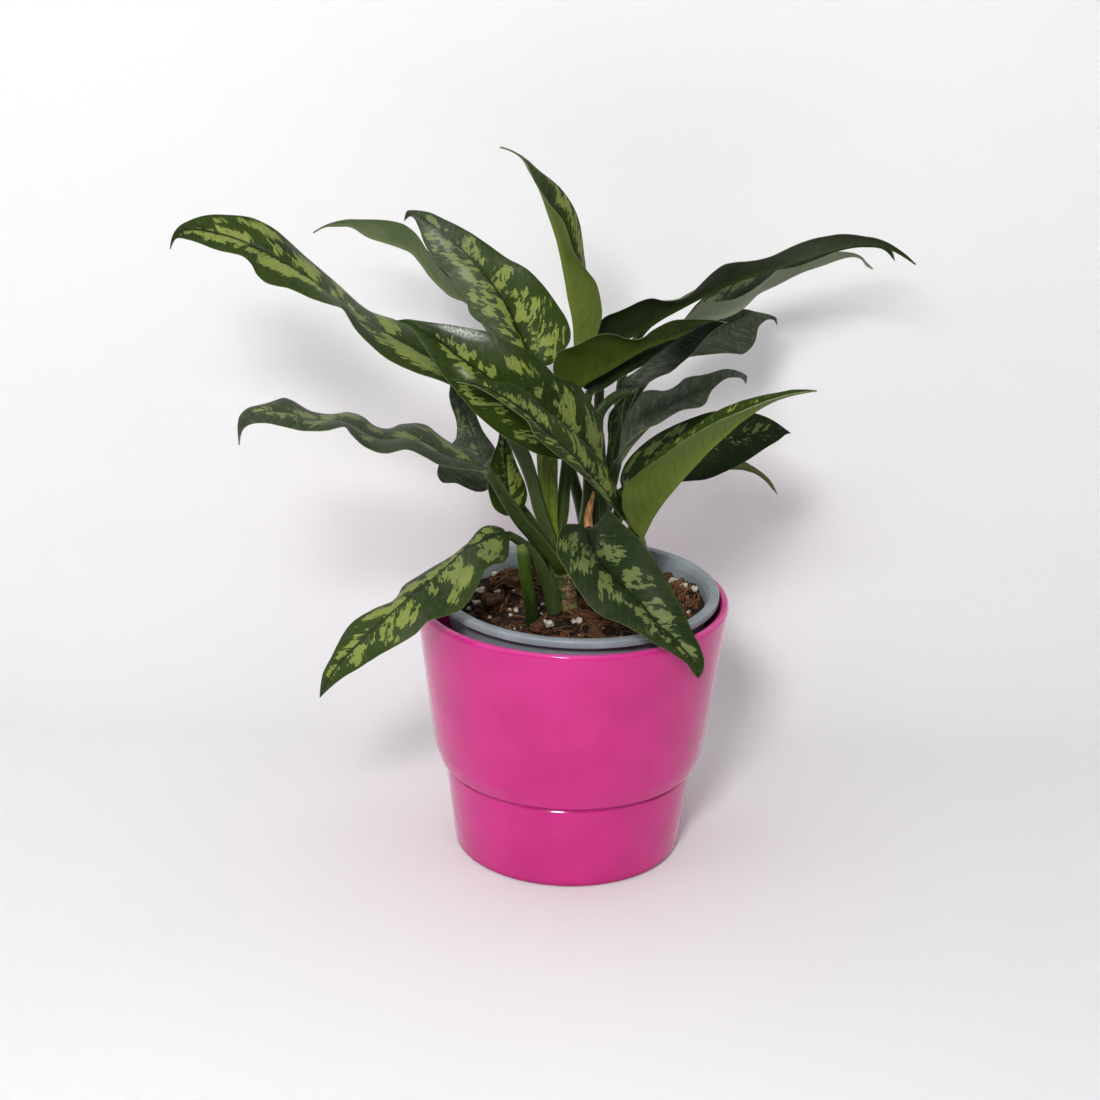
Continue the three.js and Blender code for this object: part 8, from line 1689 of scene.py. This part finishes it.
def lump(centre, size, yaw, tilt, rng, rough=0.22, level_=2, boxy=0.0):
    """A knocked-about grain or chip."""
    n_lat, n_lon = 5 + level_ * 2, 8 + level_ * 4
    pts = []
    ph = rng.random(6) * 6.28
    rows = []
    for i in range(1, n_lat):
        th = math.pi * i / n_lat
        for j in range(n_lon):
            a = 2 * math.pi * j / n_lon
            d = np.array([math.sin(th) * math.cos(a), math.sin(th) * math.sin(a), math.cos(th)])
            if boxy:
                e = 1 / (np.abs(d) ** (2 + 6 * boxy)).sum() ** (1 / (2 + 6 * boxy))
                d = d * e
            k = 1 + rough * (0.5 * math.sin(3 * a + ph[0] + 2 * th) + 0.35 * math.sin(5 * a - 3 * th + ph[1]) + 0.3 * math.sin(4 * th + ph[2] + a)) + rough * 0.5 * (rng.random() - 0.5)
            rows.append(d * k)
    v = np.array(rows)
    v = np.vstack([[0, 0, 1.0], v, [0, 0, -1.0]])
    v = v * (np.array(size) / 2)
    Rm = rotation((0, 0, 1), yaw) @ rotation((1, 0, 0), tilt[0]) @ rotation((0, 1, 0), tilt[1])
    crd = np.c_[v[:, 1], v[:, 0] + 40 * rng.random(), v[:, 2] + 60 * rng.random()]
    v = v @ Rm.T + np.array(centre)
    f = []
    f += [(0, 1 + j, 1 + (j + 1) % n_lon) for j in range(n_lon)]
    for i in range(n_lat - 2):
        a, b = 1 + i * n_lon, 1 + (i + 1) * n_lon
        f += [(a + j, b + j, b + (j + 1) % n_lon, a + (j + 1) % n_lon) for j in range(n_lon)]
    e = 1 + (n_lat - 2) * n_lon
    f += [(e + j, len(v) - 1, e + (j + 1) % n_lon) for j in range(n_lon)]
    return v, oriented(v, f), crd


def tube(path, rad, sides, rng=None):
    """A thin fibre along a path, radius per station."""
    P = np.asarray(path)
    T = unit(np.gradient(P, axis=0))
    up = np.array([0.3, 0.2, 0.93])
    rings, crd = [], []
    for i, p in enumerate(P):
        w = unit(np.cross(T[i], up)[None])[0]
        n = np.cross(w, T[i])
        a = np.arange(sides) * 2 * np.pi / sides
        rings.append(p + rad[i] * np.cos(a)[:, None] * w + rad[i] * 0.7 * np.sin(a)[:, None] * n)
        crd.append(np.c_[rad[i] * a, np.full(sides, i * 1.2), np.full(sides, 0.0)])
    v, f = loft(rings)
    crd = np.vstack(crd)
    return v, oriented(v, f), np.vstack([crd, crd[:1], crd[-1:]])


class Heap:
    """Many small bodies gathered in one piece."""

    def __init__(self):
        self.v, self.f, self.c, self.n = [], [], [], 0

    def add(self, v, f, c):
        self.v.append(v), self.c.append(c)
        self.f += [tuple(k + self.n for k in q) for q in f]
        self.n += len(v)

    def make(self, name, mat, slot, *nodes):
        o = mesh_object(name, np.vstack(self.v), self.f, [mat], None, {"crd": np.vstack(self.c)}, sharp=48)
        return piece(o, slot, *nodes)


rng = np.random.default_rng(5)


def in_mix(r_max=0.93):
    a, r = rng.random() * 6.283, math.sqrt(rng.random()) * r_max
    e = float(wall_at(level(GX + 58 * math.cos(a), GY + 58 * math.sin(a))))
    return GX + r * e * math.cos(a), GY + r * e * math.sin(a)


CRUMBS = [["perlite_1", "grain", -43.9, 21.4, 4.2, 3.2, 2.4, 0.3], ["perlite_2", "grain", -35.3, 22.2, 3.4, 2.6, 2.2, 1.1], ["perlite_3", "grain", -45.0, 12.4, 4.0, 3.0, 2.4, 0.7], ["perlite_4", "grain", -37.3, 38.4, 3.0, 2.6, 2.2, 0], ["perlite_5", "grain", -10.7, -11.2, 4.4, 3.6, 3.0, 0.5], ["perlite_6", "grain", 3.2, -6.8, 4.2, 2.8, 2.8, 1.3], ["perlite_7", "grain", 48.1, 25.5, 3.8, 3.0, 2.6, 0.2], ["perlite_8", "grain", 52.8, 16.2, 3.4, 3.0, 2.4, 0.9], ["perlite_9", "grain", 57.5, 14.2, 4.0, 3.0, 2.6, 1.5], ["bark_chip_1", "chip", -29.4, 30.6, 9.5, 6, 3.2, -0.35], ["bark_chip_2", "chip", -37.0, 13.0, 9, 8, 4.4, 0.5], ["bark_chip_3", "chip", -15.7, -15.2, 7, 4.6, 3.6, 0.9], ["bark_chip_4", "chip", 9.3, -1.9, 13, 5.4, 3.0, -0.5], ["bark_chip_5", "chip", 55.4, 0.8, 8, 4.5, 3.0, 0.9]]
for name, kind, x, y, l, w, h, yaw in CRUMBS:
    r1 = np.random.default_rng(abs(hash01(int(x * 7), int(y * 7)) * 1e6).__int__() + 3)
    c = (x, y, float(level(x, y)) + 0.22 * h)
    if kind == "chip":
        v, f, crd = lump(c, (l * 1.04, w * 1.04, h * 1.05), yaw, (0.08, -0.06), r1, 0.20, 4, 0.35)
        one = Heap(); one.add(v, f, crd); one.make(name + "_piece", BARK, "bark", name)
    else:
        v, f, crd = lump(c, (l * 1.06, w * 1.06, h * 1.06), yaw, (0.1, 0.2), r1, 0.26, 3, 0.1)
        one = Heap(); one.add(v, f, crd); one.make(name + "_piece", PERL, "perlite", name)

chips, fibres, grains = Heap(), Heap(), Heap()
for i in range(330):
    x, y = in_mix()
    big = rng.random() < 0.16
    l = (4.5 + 6 * rng.random()) if big else (1.6 + 3.2 * rng.random())
    w, h = l * (0.35 + 0.35 * rng.random()), l * (0.22 + 0.25 * rng.random())
    z = float(mix_height(np.array(x), np.array(y))) + 0.15 * h
    v, f, crd = lump((x, y, z), (l, w, h), rng.random() * 6.28, (0.5 * (rng.random() - 0.5), 0.5 * (rng.random() - 0.5)), rng, 0.24, 1 if not big else 2, 0.4 * rng.random())
    chips.add(v, f, crd)


def lay_fibre(x, y, yaw, length, r0_, lift, heap, bend=0.5):
    n = 9
    pts = []
    px, py, a = x, y, yaw
    for k in range(n):
        pts.append((px, py))
        a += bend * (rng.random() - 0.5)
        px += length / (n - 1) * math.cos(a)
        py += length / (n - 1) * math.sin(a)
    P = np.array(pts)
    rr = np.hypot(P[:, 0] - GX, P[:, 1] - GY)
    if rr.max() > 58.5:
        return
    z = mix_height(P[:, 0], P[:, 1])
    t = np.linspace(0, 1, n)
    z = 0.45 * z + 0.55 * z.mean() + r0_ + 0.25 + lift * np.sin(np.pi * np.clip(t * (0.8 + 0.4 * rng.random()), 0, 1))
    rad = r0_ * (0.55 + 0.6 * np.sin(np.pi * (0.12 + 0.8 * t))) * (0.85 + 0.3 * rng.random(n))
    v, f, crd = tube(np.c_[P, z], rad, 6)
    crd = crd + np.array([0, 30 * rng.random(), 40 * rng.random()])
    heap.add(v, f, crd)


for i in range(330):
    x, y = in_mix(0.90)
    lay_fibre(x, y, rng.random() * 6.28, 3.5 + 9 * rng.random(), 0.16 + 0.30 * rng.random() ** 2, 0.2 + 1.6 * rng.random() ** 2, fibres)
# a tuft of bark fibre left of the canes and the rough bank on the right
for i in range(120):
    a = rng.normal(0.15, 0.35)
    lay_fibre(-31 + rng.normal(0, 4.5), 33 + rng.normal(0, 4.5), a, 5 + 9 * rng.random(), 0.22 + 0.35 * rng.random(), 0.6 + 2.2 * rng.random(), fibres, 0.35)
for i in range(110):
    lay_fibre(50 + rng.normal(0, 5.0), 10 + rng.normal(0, 12), rng.normal(1.3, 0.6), 4 + 8 * rng.random(), 0.2 + 0.35 * rng.random(), 0.4 + 1.6 * rng.random(), fibres, 0.4)
for i in range(95):
    x, y = in_mix()
    l = 0.8 + 1.9 * rng.random() ** 1.6
    z = float(mix_height(np.array(x), np.array(y))) + 0.28 * l
    v, f, crd = lump((x, y, z), (l, l * (0.7 + 0.3 * rng.random()), l * (0.6 + 0.3 * rng.random())), rng.random() * 6.28, (0.3, 0.4), rng, 0.28, 1, 0.1)
    grains.add(v, f, crd)
chips.make("mix_bark_chips", BARK, "bark")
fibres.make("mix_fibres", FIBRE, "bark")
grains.make("mix_perlite_grains", PERL, "perlite")


# ------------------------------------------------------------------ canes, cut stalk, dried sheath
def cane_material():
    M = Mat("cane_skin")
    p = M.position()
    z = M.node("ShaderNodeSeparateXYZ", {0: p})
    zz, xx = z.outputs[2], z.outputs[0]
    a = M.noise(p, 0.16, 4.0, 0.65)
    b = M.noise(p, 0.9, 3.0, 0.6)
    green = M.mix(M.step(b, 0.35, 0.65), (0.030, 0.050, 0.008), (0.085, 0.110, 0.018))
    cork = M.mix(M.step(b, 0.40, 0.62), (0.080, 0.042, 0.018), (0.300, 0.195, 0.100))
    base = M.mix(M.step(M.m("MULTIPLY_ADD", xx, 0.040, a), 0.26, 0.36), green, cork)
    low = M.m("MULTIPLY", M.step(zz, 119.0, 115.5), M.step(a, 0.46, 0.54))
    base = M.mix(low, base, (0.150, 0.170, 0.022))
    base = M.mix(M.step(b, 0.66, 0.74, 0.0, 0.55), base, (0.42, 0.36, 0.28))
    scar = M.m("ABSOLUTE", M.m("SUBTRACT", M.m("FRACT", M.m("DIVIDE", zz, 7.3)), 0.5))
    base = M.mix(M.step(M.m("MULTIPLY_ADD", a, 0.10, scar), 0.12, 0.05, 0.0, 0.45), base, (0.035, 0.022, 0.010))
    h = M.m("MULTIPLY_ADD", b, 0.5, a)
    return M.done(Base_Color=base, Roughness=M.lin(b, 0.3, 0.7, 0.5, 0.75), Normal=M.bump(h, 0.6, 0.6), IOR=1.42)


def stub_material():
    M = Mat("cut_stalk_skin")
    p = M.position()
    zz = M.node("ShaderNodeSeparateXYZ", {0: p}).outputs[2]
    a = M.noise(p, 0.30, 4.0, 0.6)
    b = M.noise(M.vec(M.node("ShaderNodeSeparateXYZ", {0: p}).outputs[0], 0.0, M.m("MULTIPLY", zz, 0.1)), 1.6, 2.0, 0.5)
    base = M.mix(M.step(M.m("MULTIPLY_ADD", a, 18.0, zz), 128.0, 150.0), (0.010, 0.026, 0.003), (0.048, 0.090, 0.008))
    base = M.mix(M.step(zz, 150.0, 153.0, 0.0, 0.45), base, (0.20, 0.26, 0.06))
    base = M.mix(M.step(b, 0.55, 0.70, 0.0, 0.3), base, (0.10, 0.15, 0.02))
    return M.done(Base_Color=base, Roughness=M.lin(a, 0.3, 0.7, 0.32, 0.48), Normal=M.bump(M.m("ADD", a, b), 0.4, 0.3), IOR=1.42)


def sheath_material():
    M = Mat("dry_sheath_paper")
    p = M.position()
    s = M.node("ShaderNodeSeparateXYZ", {0: p})
    f = M.noise(M.vec(M.m("MULTIPLY", s.outputs[0], 1.5), M.m("MULTIPLY", s.outputs[1], 1.5), M.m("MULTIPLY", s.outputs[2], 0.16)), 1.0, 4.0, 0.65)
    g = M.noise(p, 0.6, 3.0, 0.6)
    base = M.mix(M.step(f, 0.34, 0.64), (0.28, 0.105, 0.032), (0.72, 0.390, 0.160))
    base = M.mix(M.step(g, 0.55, 0.72, 0.0, 0.6), base, (0.10, 0.045, 0.018))
    return M.done(Base_Color=base, Roughness=M.lin(g, 0.3, 0.7, 0.65, 0.85), Normal=M.bump(f, 0.7, 0.5))


CANE, STUB, SHEATH = cane_material(), stub_material(), sheath_material()


def stalk_rings(stations, n, sides, wobble, seed, nodes_at=()):
    C = spline(np.array(stations, float), n)
    T = unit(np.gradient(C[:, :3], axis=0))
    rings = []
    a = np.arange(sides) * 2 * np.pi / sides
    for i in range(n):
        w = np.array([1.0, 0, 0])
        w = w - (w @ T[i]) * T[i]
        w /= np.linalg.norm(w)
        m = np.cross(T[i], w)
        r = C[i, 3] / 2
        swell = sum(0.09 * math.exp(-((C[i, 2] - z) / 1.0) ** 2) for z in nodes_at)
        rr = r * (1 + swell + wobble * (np.sin(3 * a + seed + C[i, 2] * 0.2) * 0.5 + np.sin(5 * a - C[i, 2] * 0.35) * 0.35))
        rings.append(C[i, :3] + (rr * np.cos(a))[:, None] * w + (rr * np.sin(a))[:, None] * m)
    return rings


for name, st in CANES.items():
    z_top = st[-1][2]
    scars = [z_top - 1.5 - 5.6 * k - 1.2 * math.sin(k * 2.1) for k in range(8)]
    v, f = loft(stalk_rings(st, 60, 36, 0.05, len(name), scars))
    piece(mesh_object(name + "_bark", v, oriented(v, f), [CANE], sharp=60), "cane", name)
# cut leaf stalk: grooved, with a split, slightly hollow cut end
rings = stalk_rings(CUT_STALK, 46, 32, 0.03, 2)
a = np.arange(32) * 2 * np.pi / 32
for i in range(len(rings)):
    c = rings[i].mean(0)
    k = 1 - 0.28 * np.exp(-((np.abs(((a - 4.2 + np.pi) % (2 * np.pi)) - np.pi)) / 0.35) ** 2) * smooth01(i / 20)
    rings[i] = c + (rings[i] - c) * k[:, None]
last = rings[-1]
c = last.mean(0)
rings += [c + (last - c) * 0.80 + np.array([0, 0, 0.25]), c + (last - c) * 0.55 + np.array([0, 0, -0.5]), c + (last - c) * 0.25 + np.array([0, 0, -0.9])]
v, f = loft(rings)
piece(mesh_object("cut_stalk_stub", v, oriented(v, f), [STUB], sharp=60), "stalk", "cut_stalk")
# dried sheath: a thin curled strip torn into two points
D = spline(np.array(DRY_SHEATH, float), 40)
rings = []
for i in range(40):
    x, y, z, w, th = D[i]
    u = np.linspace(-1, 1, 17)
    f_ = i / 39
    tear = 0.5 * w * smooth01((f_ - 0.72) / 0.28)
    sx = np.where(np.abs(u) < 0.12, u, u)
    px = x + 0.5 * w * u
    bend = 0.38 * w * u ** 2 + 0.10 * np.sin(9 * u + z * 0.4)
    py = y + bend - 0.3 * w
    pz = np.full(17, z) - 2.6 * np.exp(-(u / 0.3) ** 2) * smooth01((f_ - 0.6) / 0.4) + 0.25 * np.sin(5 * u + 1.0) * f_
    front = np.c_[px, py - 0.14, pz]
    back = np.c_[px, py + 0.14, pz]
    rings.append(np.vstack([front, back[::-1]]))
v, f = loft(rings)
piece(mesh_object("dry_sheath_strip", v, oriented(v, f), [SHEATH], sharp=70), "dry_sheath", "dry_sheath")

# ------------------------------------------------------------------ leaves
UNDERS = {
    "pale": leaf_under("leaf_under_grey", (0.054, 0.086, 0.022), (0.118, 0.160, 0.062), (0.036, 0.058, 0.015)),
    "dusk": leaf_under("leaf_under_dusk", (0.036, 0.046, 0.010), (0.085, 0.098, 0.030), (0.024, 0.032, 0.006)),
    # painted shade: a near-black copy of the underside for leaves that face down or lie in shade
    "dark": leaf_under("leaf_under_shaded", (0.005, 0.012, 0.001), (0.021, 0.037, 0.003), (0.006, 0.013, 0.001)),
    # painted sheen: a lighter, greyer copy of the underside for a leaf that catches the light at a grazing angle
    "sheen_lit": leaf_under("leaf_under_sheen_lit", (0.120, 0.150, 0.090), (0.270, 0.320, 0.200), (0.080, 0.105, 0.055)),
    # painted shade: a dark olive copy of the underside for a leaf in shade
    "shade_olive": leaf_under("leaf_under_shade_olive", (0.011, 0.021, 0.001), (0.046, 0.068, 0.005), (0.009, 0.018, 0.001)),
}
for name, spec in LEAVES.items():
    look = LOOKS.setdefault(name, {})
    if isinstance(look.get("under"), str):
        look["under"] = UNDERS[look["under"]]
    build_leaf(name, spec)

# ------------------------------------------------------------------ floor, light, camera
def stage_material():
    M = Mat("pale_sweep")
    p = M.position()
    n = M.noise(p, 0.004, 3.0, 0.5)
    base = M.mix(M.step(n, 0.3, 0.7), (0.800, 0.800, 0.812), (0.815, 0.815, 0.825))
    up = M.step(M.node("ShaderNodeSeparateXYZ", {0: p}).outputs[2], 0.0, 110.0)
    base = M.mix(up, base, M.mix(M.step(n, 0.3, 0.7), (0.885, 0.885, 0.888), (0.900, 0.900, 0.902)))
    return M.done(Base_Color=base, Roughness=0.8, Normal=M.bump(M.noise(p, 0.3, 2.0), 0.03, 0.3))


prof = [(-2.2, 0.0)] + [(0.11 + 0.08 * math.sin(a), 0.08 - 0.08 * math.cos(a)) for a in np.linspace(0, math.pi / 2, 16)] + [(0.19, 2.6)]
verts, faces = [], []
for y, z in prof:
    for x in (-2.4, 2.4):
        verts.append((x * 1000, y * 1000, z * 1000))
for i in range(len(prof) - 1):
    faces.append((2 * i, 2 * i + 1, 2 * i + 3, 2 * i + 2))
sweep = mesh_object("floor_sweep", verts, faces, [stage_material()])

scene = bpy.context.scene
world = bpy.data.worlds.new("soft_studio")
scene.world = world
world.use_nodes = True
world.node_tree.nodes["Background"].inputs[0].default_value = (0.97, 0.98, 1.0, 1)
world.node_tree.nodes["Background"].inputs[1].default_value = 0.26


def area(name, loc, target, size, power, colour=(1, 1, 1), size_y=None):
    ld = bpy.data.lights.new(name, "AREA")
    ld.shape = "RECTANGLE"
    ld.size, ld.size_y = size, size_y or size
    ld.energy = power
    ld.color = colour
    o = bpy.data.objects.new(name, ld)
    scene.collection.objects.link(o)
    o.location = loc
    o.rotation_euler = (Vector(target) - Vector(loc)).to_track_quat("-Z", "Y").to_euler()
    return o


area("key_soft", (-0.17, -0.98, 0.80), (0.0, 0.05, 0.20), 0.19, 9.2, (1.0, 0.99, 0.975))
area("top_soft", (-0.15, -0.35, 1.55), (0.0, 0.0, 0.15), 1.2, 3.6, (0.98, 0.99, 1.0))
area("side_soft", (-1.25, -0.55, 0.75), (0.0, 0.0, 0.15), 1.0, 3.0, (0.90, 0.95, 1.0))
area("fill_right", (1.3, -0.9, 0.9), (0.0, 0.0, 0.15), 1.1, 1.6, (1.0, 0.98, 0.97))

cam_data = bpy.data.cameras.new("photo_camera")
cam = bpy.data.objects.new("photo_camera", cam_data)
scene.collection.objects.link(cam)
cam_data.sensor_width, cam_data.lens = 36.0, 72.0
cam_data.clip_start, cam_data.clip_end = 0.02, 20
cam_data.dof.use_dof = False
th, ro = math.radians(20.53), math.radians(1.25)
fwd = np.array([0, math.cos(th), -math.sin(th)])
up0 = np.array([0, math.sin(th), math.cos(th)])
rt0 = np.array([1.0, 0, 0])
rt = rt0 * math.cos(ro) + up0 * math.sin(ro)
up = -rt0 * math.sin(ro) + up0 * math.cos(ro)
mat = Matrix.Identity(4)
for i in range(3):
    mat[i][0], mat[i][1], mat[i][2] = rt[i], up[i], -fwd[i]
    mat[i][3] = (-10.99, -953.39, 503.66)[i] * MM
cam.matrix_world = mat
scene.camera = cam
scene.view_settings.view_transform = "Standard"

bpy.context.view_layer.update()
